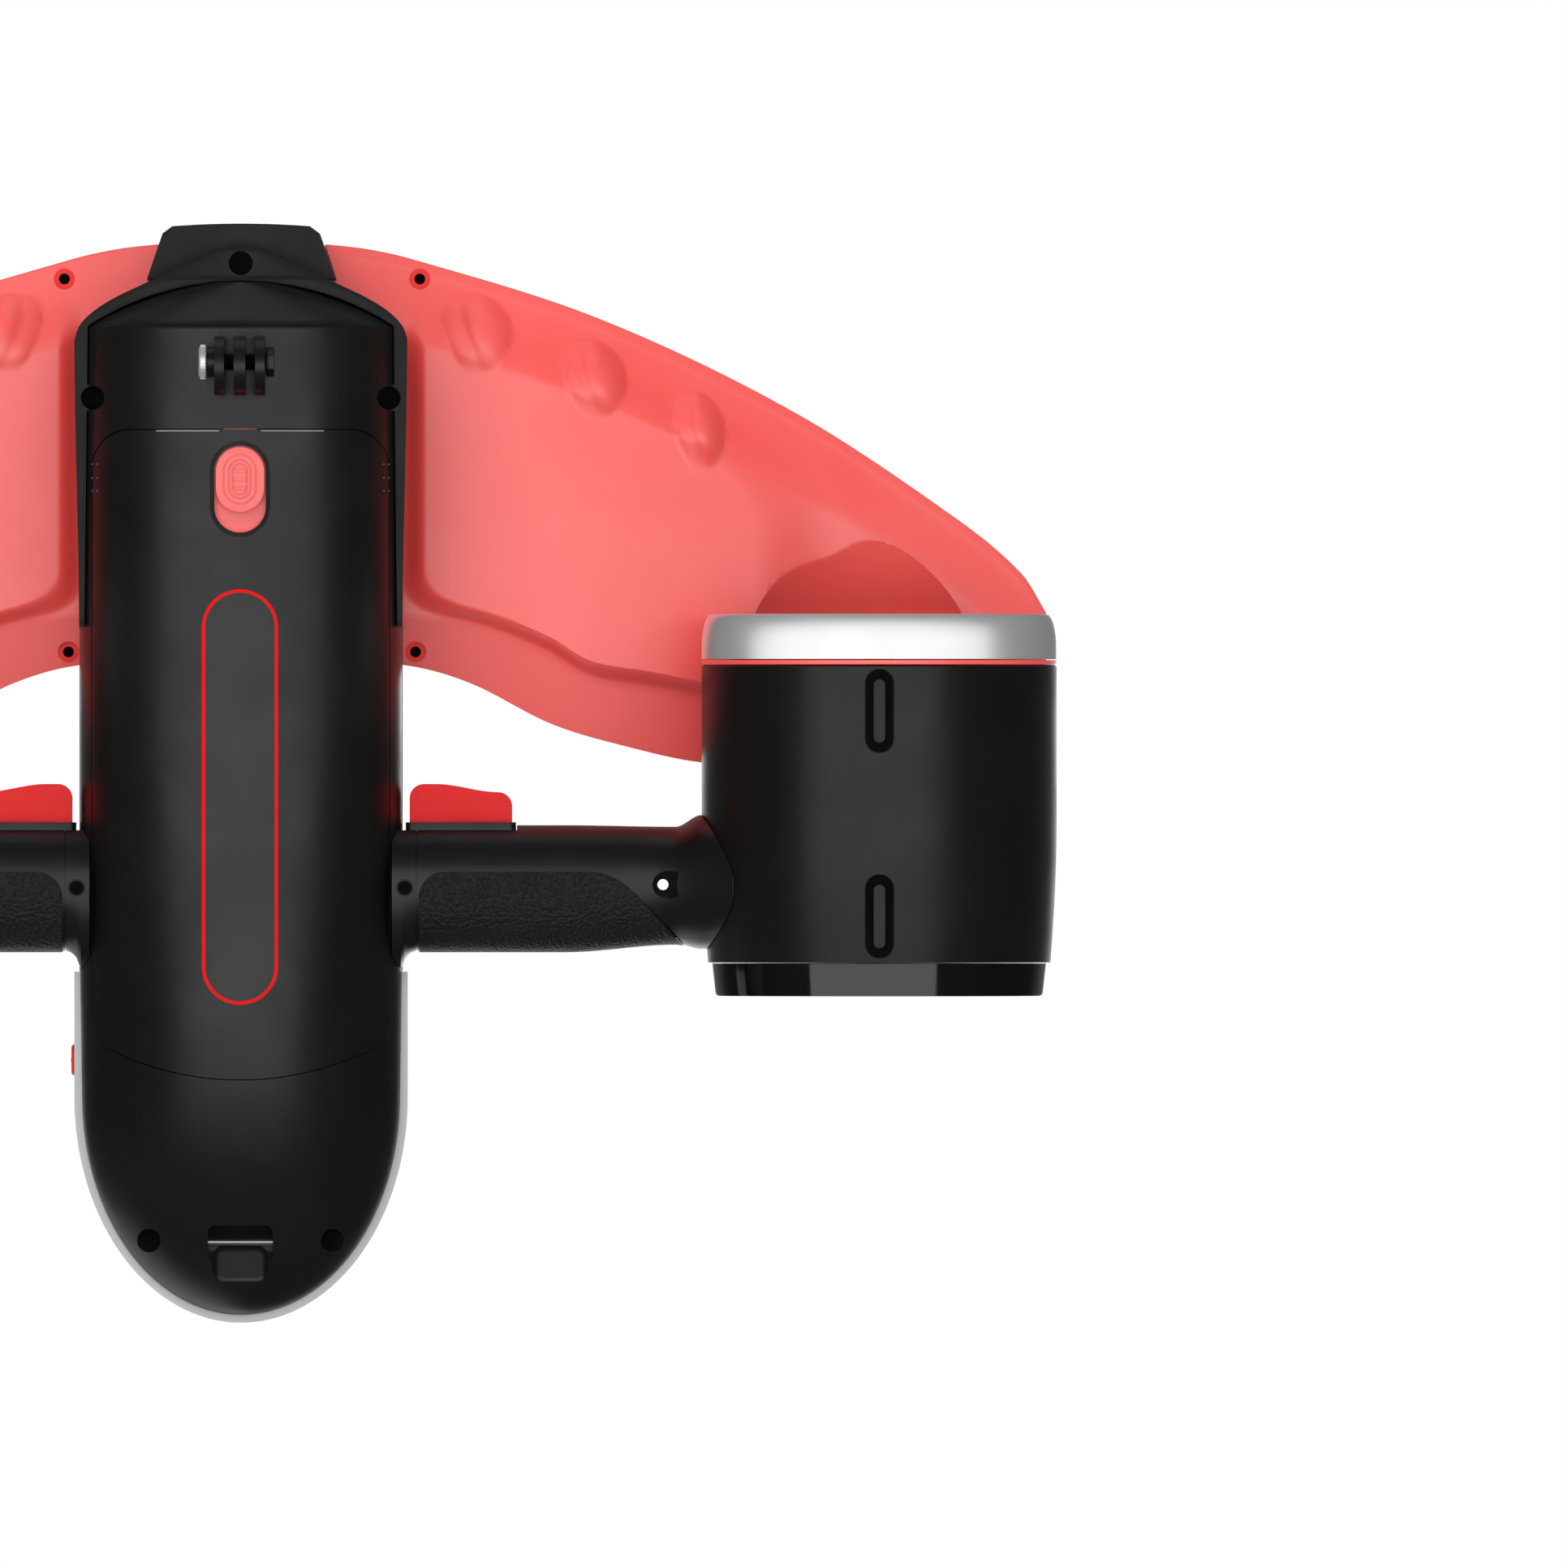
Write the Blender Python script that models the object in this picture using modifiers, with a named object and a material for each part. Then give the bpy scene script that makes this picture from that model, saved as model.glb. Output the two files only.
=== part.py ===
"""Twin-duct underwater scooter: a hull under a wing, ducted thrusters, two handles and a drop-out battery.

Metres, +Z up. The nose points along -Y, the rider's left is +X, and z = 0 is the floor under the feet.
"""

import math

import bmesh
import bpy
from mathutils import Matrix, Vector

# Fits
GAP = 0.0003
TIP_CLEARANCE = 0.0016

# Thruster ducts
THRUSTER_X = 0.19675
DUCT_RADIUS = 0.05475
DUCT_TAPER = 0.00195
DUCT_WALL = 0.0032
DUCT_STRAIGHT = 0.0455
DUCT_LENGTH = 0.0917
INTAKE_Y = -0.0489
INTAKE_LENGTH = 0.0138
INTAKE_LIP_INSET = 0.00375
INTAKE_THROAT_INSET = 0.00625
ACCENT_LENGTH = 0.0012
NOZZLE_LENGTH = 0.010
NOZZLE_STEP = 0.0006
NOZZLE_TAPER = 0.0011
NOZZLE_WALL = 0.0034

# Feet
FOOT_PROUD = 0.00175
FOOT_WIDTH = 0.0085
FOOT_LENGTH = 0.0255
FOOT_RIB_WIDTH = 0.0035
FOOT_RIB_LENGTH = 0.0195
FOOT_SEAT = 0.0012
FOOT_INSET = 0.0015

# Grille, propeller and motor
GRILLE_SETBACK = 0.004
GRILLE_DEPTH = 0.004
GRILLE_RIM = 0.0025
GRILLE_RING_RADIUS = 0.027
GRILLE_HUB_RADIUS = 0.009
GRILLE_SPOKE = 0.0024
GRILLE_SPOKES = 6
SPINNER_LENGTH = 0.0125
HUB_RADIUS = 0.013
HUB_LENGTH = 0.018
HUB_SETBACK = 0.0103
BLADES = 3
BLADE_ROOT_CHORD = 0.020
BLADE_TIP_CHORD = 0.024
BLADE_ROOT_PITCH = math.radians(58.0)
BLADE_TIP_PITCH = math.radians(28.0)
BLADE_THICKNESS = 0.0030
BLADE_TIP_THINNING = 0.6
BLADE_ROOT_SINK = 0.00325
BLADE_BULGE_END = 0.8
SHAFT_RADIUS = 0.003
POD_RADIUS = 0.017
POD_WALL = 0.0022
POD_END_WALL = 0.005
POD_CONE = 0.016
POD_STANDOFF = 0.003
SHAFT_TAIL = 0.003
SHAFT_SETBACK = 0.002
SEAL_LENGTH = 0.0034
BEARING_LENGTH = 0.006
STATOR_LENGTH = 0.026
STATOR_THICKNESS = 0.0029
VANES = 5
VANE_LENGTH = 0.020
VANE_THICKNESS = 0.0026
SLEEVE_LENGTH = 0.010
SLEEVE_WALL = 0.0016

# Hull
BELLY_DEPTH = 0.038
DECK_HEIGHT = 0.0312
BODY_HALF_WIDTH = 0.0498
LOWER_SIDE_STEP = 0.0002
RIM_HALF_WIDTH = 0.0513
RIM_END_Y = -0.0400
RIM_STOP_Y = -0.0550
RIM_DEPTH = 0.0115
NOSE_Y = -0.1624
NOSE_HALF_WIDTH = 0.006
NOSE_SLOPE = 2.1
NOSE_ROUNDING = 0.006
GUTTER_SETBACK = 0.011
GUTTER_RADIUS = 0.091
GUTTER_DEPTH = 0.0050
GUTTER_END_Y = -0.1470
BELLY_SWELL = 0.0160
FRONT_HALF_WIDTH = 0.0460
TAIL_SEAM_Y = 0.0610
TAIL_HALF_WIDTH = 0.0514
TAIL_CENTRE_Y = 0.100
TAIL_Y = 0.1695
TAIL_TRIM = 0.0024
TAIL_RISE_Y = 0.080
HULL_WALL = 0.006
CAVITY_FRONT_Y = -0.100
CAVITY_REAR_Y = 0.045

# Nose cap
CAP_FRONT_Y = -0.1694
CAP_BACK_Y = -0.1524
CAP_FRONT_HALF_WIDTH = 0.0212
CAP_BACK_HALF_WIDTH = 0.0290
CAP_HEIGHT = 0.0430
CAP_BEVEL = 0.0030

# Battery bay and battery
BATTERY_FRONT_Y = -0.1059
BATTERY_REAR_Y = 0.0946
BATTERY_HALF_WIDTH = 0.0460
BATTERY_CORNER = 0.012
BATTERY_REAR_RADIUS = 0.093
BAY_WEB = 0.0065
LID_HALF_WIDTH = 0.0330
LID_THICKNESS = 0.0020
LID_FRONT_Y = -0.0690
LID_REAR_Y = 0.0730
LID_CORNER = 0.0030
CELL_RADIUS = 0.00925
CELL_WELD = 0.0002
CELL_COLUMNS = 3
CELL_LENGTH = 0.065
CELL_ROWS = 2
GASKET_HALF_WIDTH = 0.0390
GASKET_FRONT_Y = -0.0960
GASKET_REAR_Y = 0.0800
GASKET_WIDTH = 0.0026
GASKET_HEIGHT = 0.0016
GASKET_CORNER = 0.010
CONTACT_WIDTH = 0.030
CONTACT_LENGTH = 0.009
CONTACT_HEIGHT = 0.004
CONTACT_Y = 0.065
BOARD_WIDTH = 0.060
BOARD_LENGTH = 0.110
BOARD_THICKNESS = 0.0016
BOARD_POST_RADIUS = 0.003
BOARD_POST_HEIGHT = 0.006
BOARD_Y = -0.028

# Battery latch
LATCH_FRONT_Y = -0.1016
LATCH_WIDTH = 0.0175
LATCH_LENGTH = 0.0285
LATCH_DEPTH = 0.0080
LATCH_FLOOR = 0.0016
LATCH_WALL = 0.0007
PAD_LENGTH = 0.0200
PAD_SINK = 0.0009
TONGUE_WIDTH = 0.0105
TONGUE_THICKNESS = 0.0020
TONGUE_SINK = 0.0018
TONGUE_REACH = 0.0014

# Camera mount
MOUNT_SETBACK = 0.0205
FINGER_RADIUS = 0.0090
FINGER_WIDTH = 0.0030
MIDDLE_FINGER_WIDTH = 0.0036
FINGER_SLOT = 0.0030
FINGER_LENGTH = 0.0182
MOUNT_BASE_HALF_WIDTH = 0.0095
MOUNT_BASE_LENGTH = 0.0210
MOUNT_BASE_HEIGHT = 0.0120
MOUNT_BASE_SINK = 0.0015
COLLAR_RADIUS = 0.0046
COLLAR_LENGTH = 0.0022
SCREW_RADIUS = 0.0024
KNOB_RADIUS = 0.0053
KNOB_LENGTH = 0.0023
NUT_RADIUS = 0.0046
NUT_LENGTH = 0.0025

# Tail details
WINDOW_Y = 0.0820
WINDOW_WIDTH = 0.0400
WINDOW_LENGTH = 0.0200
WINDOW_THICKNESS = 0.0015
WINDOW_SINK = 0.0008
BUTTON_Y = 0.0885
BUTTON_RISE = 0.0095
BUTTON_RADIUS = 0.00475
BUTTON_LENGTH = 0.0080
BUTTON_PROUD = 0.0012
BUTTON_TRAVEL = 0.0015
PIN_Y = 0.1445
PIN_RADIUS = 0.0010
PIN_SEAT = 0.0020
PIN_SINK = 0.0035
SCOOP_HALF_WIDTH = 0.0100
SCOOP_RADIUS = 0.0090
SCOOP_SETBACK = 0.0025

# Handles
HANDLE_Y = 0.0355
HANDLE_HALF_THICKNESS = 0.0194
HANDLE_HALF_HEIGHT = 0.0170
HANDLE_SQUARENESS = 2.5
FLANGE_HALF_THICKNESS = 0.0218
FLANGE_HALF_HEIGHT = 0.0310
FLARE_REACH = 0.0080
LOOP_HOLE_X = 0.1301
LOOP_HOLE_RADIUS = 0.0017
GRIP_THICKNESS = 0.0018
GRIP_PROUD = 0.0004
GRIP_INNER_X = 0.0550
GRIP_OUTER_X = 0.1356
GRIP_FRONT_Y = 0.0306
GRIP_CORNER = 0.0080
GRIP_RAKE = 0.0205
GRIP_RAKE_GROWTH = 1.5

# Triggers
TRIGGER_FRONT_Y = 0.0034
TRIGGER_BACK_Y = 0.0210
TRIGGER_INNER_X = 0.0520
TRIGGER_OUTER_X = 0.0836
TRIGGER_HALF_HEIGHT = 0.0055
TRIGGER_DIP = 0.0025
TRIGGER_NOSE = 0.0044
TRIGGER_DIP_SHARES = (0.3, 0.6)
TRIGGER_DIP_END = 0.83
TRIGGER_STEM = 0.0050
TRIGGER_STEM_INSET = 0.0060
TRIGGER_TRAVEL = 0.0045
BEZEL_FRONT_Y = 0.0152
BEZEL_DEPTH = 0.0052
BEZEL_SIDE = 0.0009
BEZEL_LIP = 0.0022
SPRING_RADIUS = 0.0030
SPRING_WIRE = 0.0004
SPRING_LENGTH = 0.0114
SPRING_TURNS = 5

# Wing
WING_TIP_OVERHANG = 0.05165
WING_EDGE = 0.0025
WING_EDGE_REACH = 0.2
WING_CROWN = 0.0330
WING_CROWN_FADE = 0.45
WING_CROWN_FORWARD = 0.6
WING_CROWN_FULLNESS = 0.8
WING_DUCT_COVER = 0.0085
WING_NOSE_RISE = 0.0065
WING_NOSE_LENGTH = 0.0260
LEADING_EDGE = ((0.0, -0.1648), (0.135, -0.1626), (0.214, -0.1586), (0.447, -0.1401), (0.688, -0.1114),
                (0.889, -0.0786), (0.970, -0.0616), (1.0, -0.0496))
TRAILING_EDGE = ((0.0, -0.0380), (0.207, -0.0331), (0.285, -0.0276), (0.386, -0.0150),
                 (0.487, -0.0076), (0.567, -0.0034), (0.792, 0.0020), (0.930, -0.0060), (1.0, -0.0330))
PILLOW_DEPTH = 0.0105
PILLOW_FRONT_DEPTH = 0.0035
PILLOW_SWELL = 0.0550
PILLOW_SETBACK = 0.0120
PILLOW_SHOULDER = 0.0150
PILLOW_OUTER_MARGIN = 0.0215
PILLOW_OUTER_CORNER = 0.0300
PILLOW_INNER_X = 0.0525
PILLOW_EDGE = 0.0050
PILLOW_CORNER = 0.0100
PILLOW_REAR = ((0.214, -0.0540), (0.260, -0.0526), (0.322, -0.0484), (0.384, -0.0420), (0.433, -0.0349),
               (0.508, -0.0315), (0.580, -0.0280))
KNUCKLES = ((0.300, 0.0092, 0.0048), (0.445, 0.0084, 0.0070), (0.574, 0.0067, 0.0089))
KNUCKLE_HEIGHT = 0.0062
KNUCKLE_LENGTH = 0.0248
KNUCKLE_CREST = 0.36
KNUCKLE_BLUNTNESS = 0.7
SIDE_LOBE_OFFSET = 1.45
SIDE_LOBE_WIDTH = 0.5
SIDE_LOBE_HEIGHT = 0.4
SCOOP_TIP_INSET = 0.01085
SCOOP_REACH = 0.0237

# Places that follow from the sizes above
DUCT_TAIL_RADIUS = DUCT_RADIUS - DUCT_TAPER
INTAKE_LIP_RADIUS = DUCT_RADIUS - INTAKE_LIP_INSET
INTAKE_THROAT = DUCT_RADIUS - INTAKE_THROAT_INSET
NOZZLE_RADIUS = DUCT_TAIL_RADIUS - NOZZLE_STEP
NOZZLE_TAIL_RADIUS = NOZZLE_RADIUS - NOZZLE_TAPER
SCOOP_TIP_RADIUS = DUCT_RADIUS - SCOOP_TIP_INSET
MOUNT_Y = BATTERY_FRONT_Y - MOUNT_SETBACK
BELLY_FULL_Y = GUTTER_END_Y + BELLY_SWELL
AXIS_Z = DUCT_RADIUS + FOOT_PROUD
PART_Z = AXIS_Z
DECK_Z = PART_Z + GAP
WING_Z = DECK_Z + DECK_HEIGHT + GAP
BELLY_Z = PART_Z - BELLY_DEPTH
BAY_Z = PART_Z - BAY_WEB
BATTERY_Z = BAY_Z - GAP
CELL_PITCH = 2 * CELL_RADIUS - CELL_WELD
WING_HALF_SPAN = THRUSTER_X + WING_TIP_OVERHANG
KNUCKLE_REACH = KNUCKLE_LENGTH + max(setback for _, _, setback in KNUCKLES)
INTAKE_END = INTAKE_Y + INTAKE_LENGTH
ACCENT_Y = INTAKE_END + GAP
DUCT_Y = ACCENT_Y + ACCENT_LENGTH + GAP
DUCT_END = DUCT_Y + DUCT_LENGTH
NOZZLE_Y = DUCT_END + GAP
DUCT_BORE = DUCT_RADIUS - DUCT_WALL
HUB_Y = DUCT_Y + HUB_SETBACK
POD_Y = HUB_Y + HUB_LENGTH + POD_STANDOFF
SHAFT_BORE = SHAFT_RADIUS + GAP
POD_BORE = POD_RADIUS - POD_WALL
GUTTER_Y = NOSE_Y + GUTTER_SETBACK
ARC_END_Y = GUTTER_Y + GUTTER_RADIUS - math.sqrt(GUTTER_RADIUS ** 2 - FRONT_HALF_WIDTH ** 2)
SLEEVE_Y = DUCT_Y + DUCT_STRAIGHT - SLEEVE_LENGTH
BEARING_Y = POD_Y + SEAL_LENGTH + GAP
STATOR_Y = BEARING_Y + BEARING_LENGTH + GAP
POD_FLOOR_Y = STATOR_Y + STATOR_LENGTH + GAP
LATCH_TOP_Z = BELLY_Z + LATCH_DEPTH - GAP
TONGUE_Z = BELLY_Z + TONGUE_SINK
MOUNT_BASE_Z = BELLY_Z + MOUNT_BASE_SINK
SCREW_Z = MOUNT_BASE_Z - FINGER_LENGTH + FINGER_RADIUS
FINGERS_HALF_WIDTH = MIDDLE_FINGER_WIDTH / 2 + FINGER_SLOT + FINGER_WIDTH

# Facets and section shapes
RING_STEPS = 32
SMALL_STEPS = 16
BELLY_POINTS = 17
BELLY_POWER = 2.1
DECK_POINTS = 13
DECK_POWER = 3.6
LAST_STATION = math.radians(87.0)
HANDLE_POINTS = 20
SPRING_POINTS = 8
WING_TOP_POINTS = 9
WING_FRONT_POINTS = 9
WING_PANEL_POINTS = 5
WING_NOSE_CROWDING = 1.6
FIRST_ARC_SHARE = 0.2
FIRST_PROW_SHARE = 0.08
PIN_STEPS = 10
SHADE_ANGLE = math.radians(35.0)
ROUND_ANGLE = math.radians(40.0)
MERGE_DISTANCE = 1e-6

OBJECT_COLLECTION = "underwater_scooter"
CUTTER_COLLECTION = "cutters"
ALONG_Y = (-math.pi / 2, 0.0, 0.0)
ALONG_X = (0.0, math.pi / 2, 0.0)

# Finishes: colour, roughness, metallic
FINISHES = {
    "coral_plastic": ((0.83, 0.10, 0.085), 0.42, 0.0),
    "red_plastic": ((0.45, 0.013, 0.014), 0.40, 0.0),
    "bright_red": ((0.80, 0.012, 0.016), 0.35, 0.0),
    "black_satin": ((0.022, 0.022, 0.023), 0.42, 0.0),
    "black_gloss": ((0.008, 0.008, 0.009), 0.12, 0.0),
    "black_rubber": ((0.030, 0.030, 0.031), 0.80, 0.0),
    "grey_plastic": ((0.30, 0.30, 0.31), 0.45, 0.0),
    "chrome": ((0.72, 0.73, 0.75), 0.08, 1.0),
    "steel": ((0.52, 0.53, 0.54), 0.28, 1.0),
    "dark_glass": ((0.010, 0.011, 0.013), 0.06, 0.0),
    "copper": ((0.70, 0.30, 0.16), 0.35, 1.0),
    "board_green": ((0.02, 0.16, 0.07), 0.50, 0.0),
    "cell_blue": ((0.05, 0.16, 0.36), 0.45, 0.0),
}


def clear_scene():
    """Remove what the scene holds."""
    for thing in list(bpy.data.objects):
        bpy.data.objects.remove(thing, do_unlink=True)


def collection(name):
    """The collection of this name, made when first asked for."""
    found = bpy.data.collections.get(name)
    if found is None:
        found = bpy.data.collections.new(name)
        bpy.context.scene.collection.children.link(found)
    return found


def finish(name):
    """The material of one finish."""
    material = bpy.data.materials.get(name)
    if material is None:
        colour, roughness, metallic = FINISHES[name]
        material = bpy.data.materials.new(name)
        material.use_nodes = True
        shader = material.node_tree.nodes["Principled BSDF"]
        shader.inputs["Base Color"].default_value = (*colour, 1.0)
        shader.inputs["Roughness"].default_value = roughness
        shader.inputs["Metallic"].default_value = metallic
    return material


def piece(name, mesh, finish_name, location=(0.0, 0.0, 0.0), rotation=(0.0, 0.0, 0.0)):
    """An object of the scooter from a mesh."""
    mesh.materials.append(finish(finish_name))
    made = bpy.data.objects.new(name, mesh)
    made.location = location
    made.rotation_euler = rotation
    collection(OBJECT_COLLECTION).objects.link(made)
    return made


def cutter(name, mesh, location=(0.0, 0.0, 0.0), rotation=(0.0, 0.0, 0.0)):
    """A hidden object that other pieces are cut or limited by."""
    made = bpy.data.objects.new(name, mesh)
    made.location = location
    made.rotation_euler = rotation
    made.hide_render = True
    made.display_type = "WIRE"
    collection(CUTTER_COLLECTION).objects.link(made)
    return made


def combine(target, operation, *others):
    """Add one Boolean for each of the other objects."""
    for other in others:
        step = target.modifiers.new(f"{operation.lower()} {other.name}", "BOOLEAN")
        step.operation = operation
        step.solver = "EXACT"
        step.object = other


def baked(thing):
    """The object's mesh with its modifiers applied, in its own space."""
    bpy.context.view_layer.update()
    graph = bpy.context.evaluated_depsgraph_get()
    return bpy.data.meshes.new_from_object(thing.evaluated_get(graph))


def smooth(thing):
    """Shade the object's mesh smooth up to an angle."""
    thing.data.shade_smooth()
    thing.data.set_sharp_from_angle(angle=SHADE_ANGLE)


def mirrored(left, name):
    """The same piece on the rider's right, as a mesh turned over in X."""
    mesh = baked(left)
    mesh.transform(Matrix.Scale(-1.0, 4, (1.0, 0.0, 0.0)))
    mesh.flip_normals()
    made = bpy.data.objects.new(name, mesh)
    made.location = (-left.location.x, left.location.y, left.location.z)
    made.rotation_euler = left.rotation_euler
    collection(OBJECT_COLLECTION).objects.link(made)
    return made


def both_sides(makers):
    """Build each piece on the left, then its twin on the right."""
    for make in makers:
        left = make()
        mirrored(left, left.name.replace("_left", "_right"))


def box_mesh(low, high):
    """A box between two corners."""
    low, high = Vector(low), Vector(high)
    bm = bmesh.new()
    bmesh.ops.create_cube(bm, size=1.0)
    place = Matrix.Translation((low + high) / 2) @ Matrix.Diagonal((*(high - low), 1.0))
    bmesh.ops.transform(bm, matrix=place, verts=bm.verts)
    return mesh_from(bm)


def cylinder_mesh(radius, low, high, steps=SMALL_STEPS):
    """A cylinder about local Z between two heights."""
    bm = bmesh.new()
    bmesh.ops.create_cone(bm, cap_ends=True, segments=steps, radius1=radius, radius2=radius, depth=high - low)
    bmesh.ops.translate(bm, vec=(0.0, 0.0, (low + high) / 2), verts=bm.verts)
    return mesh_from(bm)


def mesh_from(bm):
    """Close a bmesh into a mesh whose faces point outwards."""
    bmesh.ops.recalc_face_normals(bm, faces=bm.faces)
    mesh = bpy.data.meshes.new("mesh")
    bm.to_mesh(mesh)
    bm.free()
    return mesh


def plate_mesh(outlines, low, high):
    """A flat outline, with any holes as further outlines, from one height to another."""
    curve = bpy.data.curves.new("outline", "CURVE")
    curve.dimensions = "2D"
    curve.fill_mode = "BOTH"
    curve.extrude = (high - low) / 2
    for outline in outlines:
        spline = curve.splines.new("POLY")
        spline.points.add(len(outline) - 1)
        for point, (x, y) in zip(spline.points, outline):
            point.co = (x, y, 0.0, 1.0)
        spline.use_cyclic_u = True
    holder = bpy.data.objects.new("outline", curve)
    collection(CUTTER_COLLECTION).objects.link(holder)
    flat = baked(holder)
    bpy.data.objects.remove(holder)
    bm = bmesh.new()
    bm.from_mesh(flat)
    bmesh.ops.remove_doubles(bm, verts=bm.verts, dist=MERGE_DISTANCE)
    bmesh.ops.translate(bm, vec=(0.0, 0.0, (low + high) / 2), verts=bm.verts)
    return mesh_from(bm)


def loft_mesh(rings):
    """A solid through closed rings of equally many points, with both ends capped."""
    bm = bmesh.new()
    rows = [[bm.verts.new(point) for point in ring] for ring in rings]
    count = len(rows[0])
    for near, far in zip(rows, rows[1:]):
        for i in range(count):
            j = (i + 1) % count
            bm.faces.new((near[i], near[j], far[j], far[i]))
    bm.faces.new(rows[0])
    bm.faces.new(rows[-1])
    return mesh_from(bm)


def turned(name, profile, finish_name, steps=RING_STEPS, closed=True):
    """A piece turned about the left thruster's axis from (radius, y) points; an open one ends on the axis."""
    made = piece(name, profile_mesh(profile, closed), finish_name, (THRUSTER_X, 0.0, AXIS_Z), ALONG_Y)
    add_screw(made, steps)
    return made


def turned_cutter(name, profile, x, steps=RING_STEPS):
    """A cutter turned about a thruster's axis, solid to the axis."""
    made = cutter(name, profile_mesh(profile, False), (x, 0.0, AXIS_Z), ALONG_Y)
    add_screw(made, steps)
    return made


def profile_mesh(profile, closed):
    """A profile's edges, ordered so that the turned faces point outwards."""
    area = 0.0
    for (r0, y0), (r1, y1) in zip(profile, profile[1:] + profile[:1]):
        area += r0 * y1 - r1 * y0
    ordered = list(reversed(profile)) if area > 0 else list(profile)
    mesh = bpy.data.meshes.new("profile")
    edges = [(i, i + 1) for i in range(len(ordered) - 1)]
    if closed:
        edges.append((len(ordered) - 1, 0))
    mesh.from_pydata([(r, 0.0, y) for r, y in ordered], edges, [])
    return mesh


def add_screw(thing, steps):
    """Turn the profile once round local Z."""
    screw = thing.modifiers.new("turn", "SCREW")
    screw.axis = "Z"
    screw.angle = 2 * math.pi
    screw.steps = steps
    screw.render_steps = steps
    screw.use_merge_vertices = True
    screw.merge_threshold = 1e-5
    screw.use_smooth_shade = True


def bevelled(thing, width, segments=2):
    """Round the object's sharp edges."""
    step = thing.modifiers.new("rounding", "BEVEL")
    step.width = width
    step.segments = segments
    step.limit_method = "ANGLE"
    step.angle_limit = ROUND_ANGLE


def stadium(x, y, width, length, steps=6):
    """An outline of two half circles joined along Y."""
    radius = width / 2
    reach = length / 2 - radius
    points = []
    for end in (1, -1):
        for i in range(steps + 1):
            angle = math.pi * i / steps + (0.0 if end > 0 else math.pi)
            points.append((x + radius * math.cos(angle), y + end * reach + radius * math.sin(angle)))
    return points


def rounded_box(low, high, radius, steps=4):
    """A rectangle's outline with round corners."""
    points = []
    for corner in range(4):
        cx = high[0] - radius if corner in (0, 3) else low[0] + radius
        cy = high[1] - radius if corner in (0, 1) else low[1] + radius
        for i in range(steps + 1):
            angle = (corner + i / steps) * math.pi / 2
            points.append((cx + radius * math.cos(angle), cy + radius * math.sin(angle)))
    return points


def along(table, place):
    """A smooth curve through (place, value) points, read at one place."""
    for i in range(len(table) - 1):
        (p0, v0), (p1, v1) = table[i], table[i + 1]
        if place <= p1 or i == len(table) - 2:
            break
    span = p1 - p0
    chord = (v1 - v0) / span
    before, after = chord, chord
    if i > 0:
        before = (v1 - table[i - 1][1]) / (p1 - table[i - 1][0])
    if i + 2 < len(table):
        after = (table[i + 2][1] - v0) / (table[i + 2][0] - p0)
    t = min(1.0, max(0.0, (place - p0) / span))
    rise = v0 * (1 + 2 * t) * (1 - t) ** 2 + v1 * t * t * (3 - 2 * t)
    return rise + span * (before * t * (1 - t) ** 2 - after * t * t * (1 - t))


def ease(value):
    """A smooth step from 0 to 1."""
    value = min(1.0, max(0.0, value))
    return value * value * (3 - 2 * value)


def soft_min(a, b, width):
    """The smaller of two values, rounded over a width where they meet."""
    mix = max(0.0, width - abs(a - b)) / width
    return min(a, b) - mix * mix * width / 4


def spread(first, last, count):
    """Evenly spaced values from first to last."""
    return [first + (last - first) * i / (count - 1) for i in range(count)]


def side_share(y, first, last):
    """How far along the body y lies between two stations, from 0 to 1."""
    return min(1.0, max(0.0, (y - first) / (last - first)))


def upper_half_width(y):
    """Half the width of the deck: a prow with a round tip, then sides that draw in slightly."""
    spread_out = NOSE_SLOPE * max(0.0, y - NOSE_Y)
    prow = math.sqrt(spread_out ** 2 + 2 * spread_out * NOSE_HALF_WIDTH)
    side = RIM_HALF_WIDTH + (BODY_HALF_WIDTH - RIM_HALF_WIDTH) * ease(side_share(y, ARC_END_Y, RIM_END_Y))
    return soft_min(prow, side, NOSE_ROUNDING)


def ellipse_end(y, centre, end):
    """The share of full size left as an elliptical end closes."""
    share = side_share(y, centre, end)
    return math.sqrt(max(0.0, 1.0 - share * share))


def lower_half_width(y):
    """Half the width of the belly shell, inside the rim at the front and inside the grey trim at the tail."""
    depth = y - GUTTER_Y
    arc = math.sqrt(max(0.0, GUTTER_RADIUS ** 2 - (GUTTER_RADIUS - min(depth, GUTTER_RADIUS)) ** 2))
    middle = BODY_HALF_WIDTH - LOWER_SIDE_STEP
    side = FRONT_HALF_WIDTH + (middle - FRONT_HALF_WIDTH) * side_share(y, ARC_END_Y, RIM_END_Y)
    tail = TAIL_HALF_WIDTH - TAIL_TRIM
    side += (tail - middle) * side_share(y, TAIL_SEAM_Y, TAIL_CENTRE_Y)
    return min(arc, side) * ellipse_end(y, TAIL_CENTRE_Y, TAIL_Y - TAIL_TRIM)


def lower_depth(y):
    """Depth of the belly below the parting plane: a gutter, the full belly, then a tail that rises."""
    swell = ease(side_share(y, GUTTER_END_Y, BELLY_FULL_Y))
    depth = GUTTER_DEPTH + (BELLY_DEPTH - GUTTER_DEPTH) * swell
    return depth * ellipse_end(y, TAIL_RISE_Y, TAIL_Y - TAIL_TRIM)


def half_section(half_width, rise, power, count):
    """Points (x, z) of half a superellipse, from +X over to -X."""
    points = []
    for angle in spread(0.0, math.pi, count):
        c, s = math.cos(angle), max(0.0, math.sin(angle))
        x = math.copysign(abs(c) ** (2 / power), c) * half_width
        points.append((x, rise * s ** (2 / power)))
    return points


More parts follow.
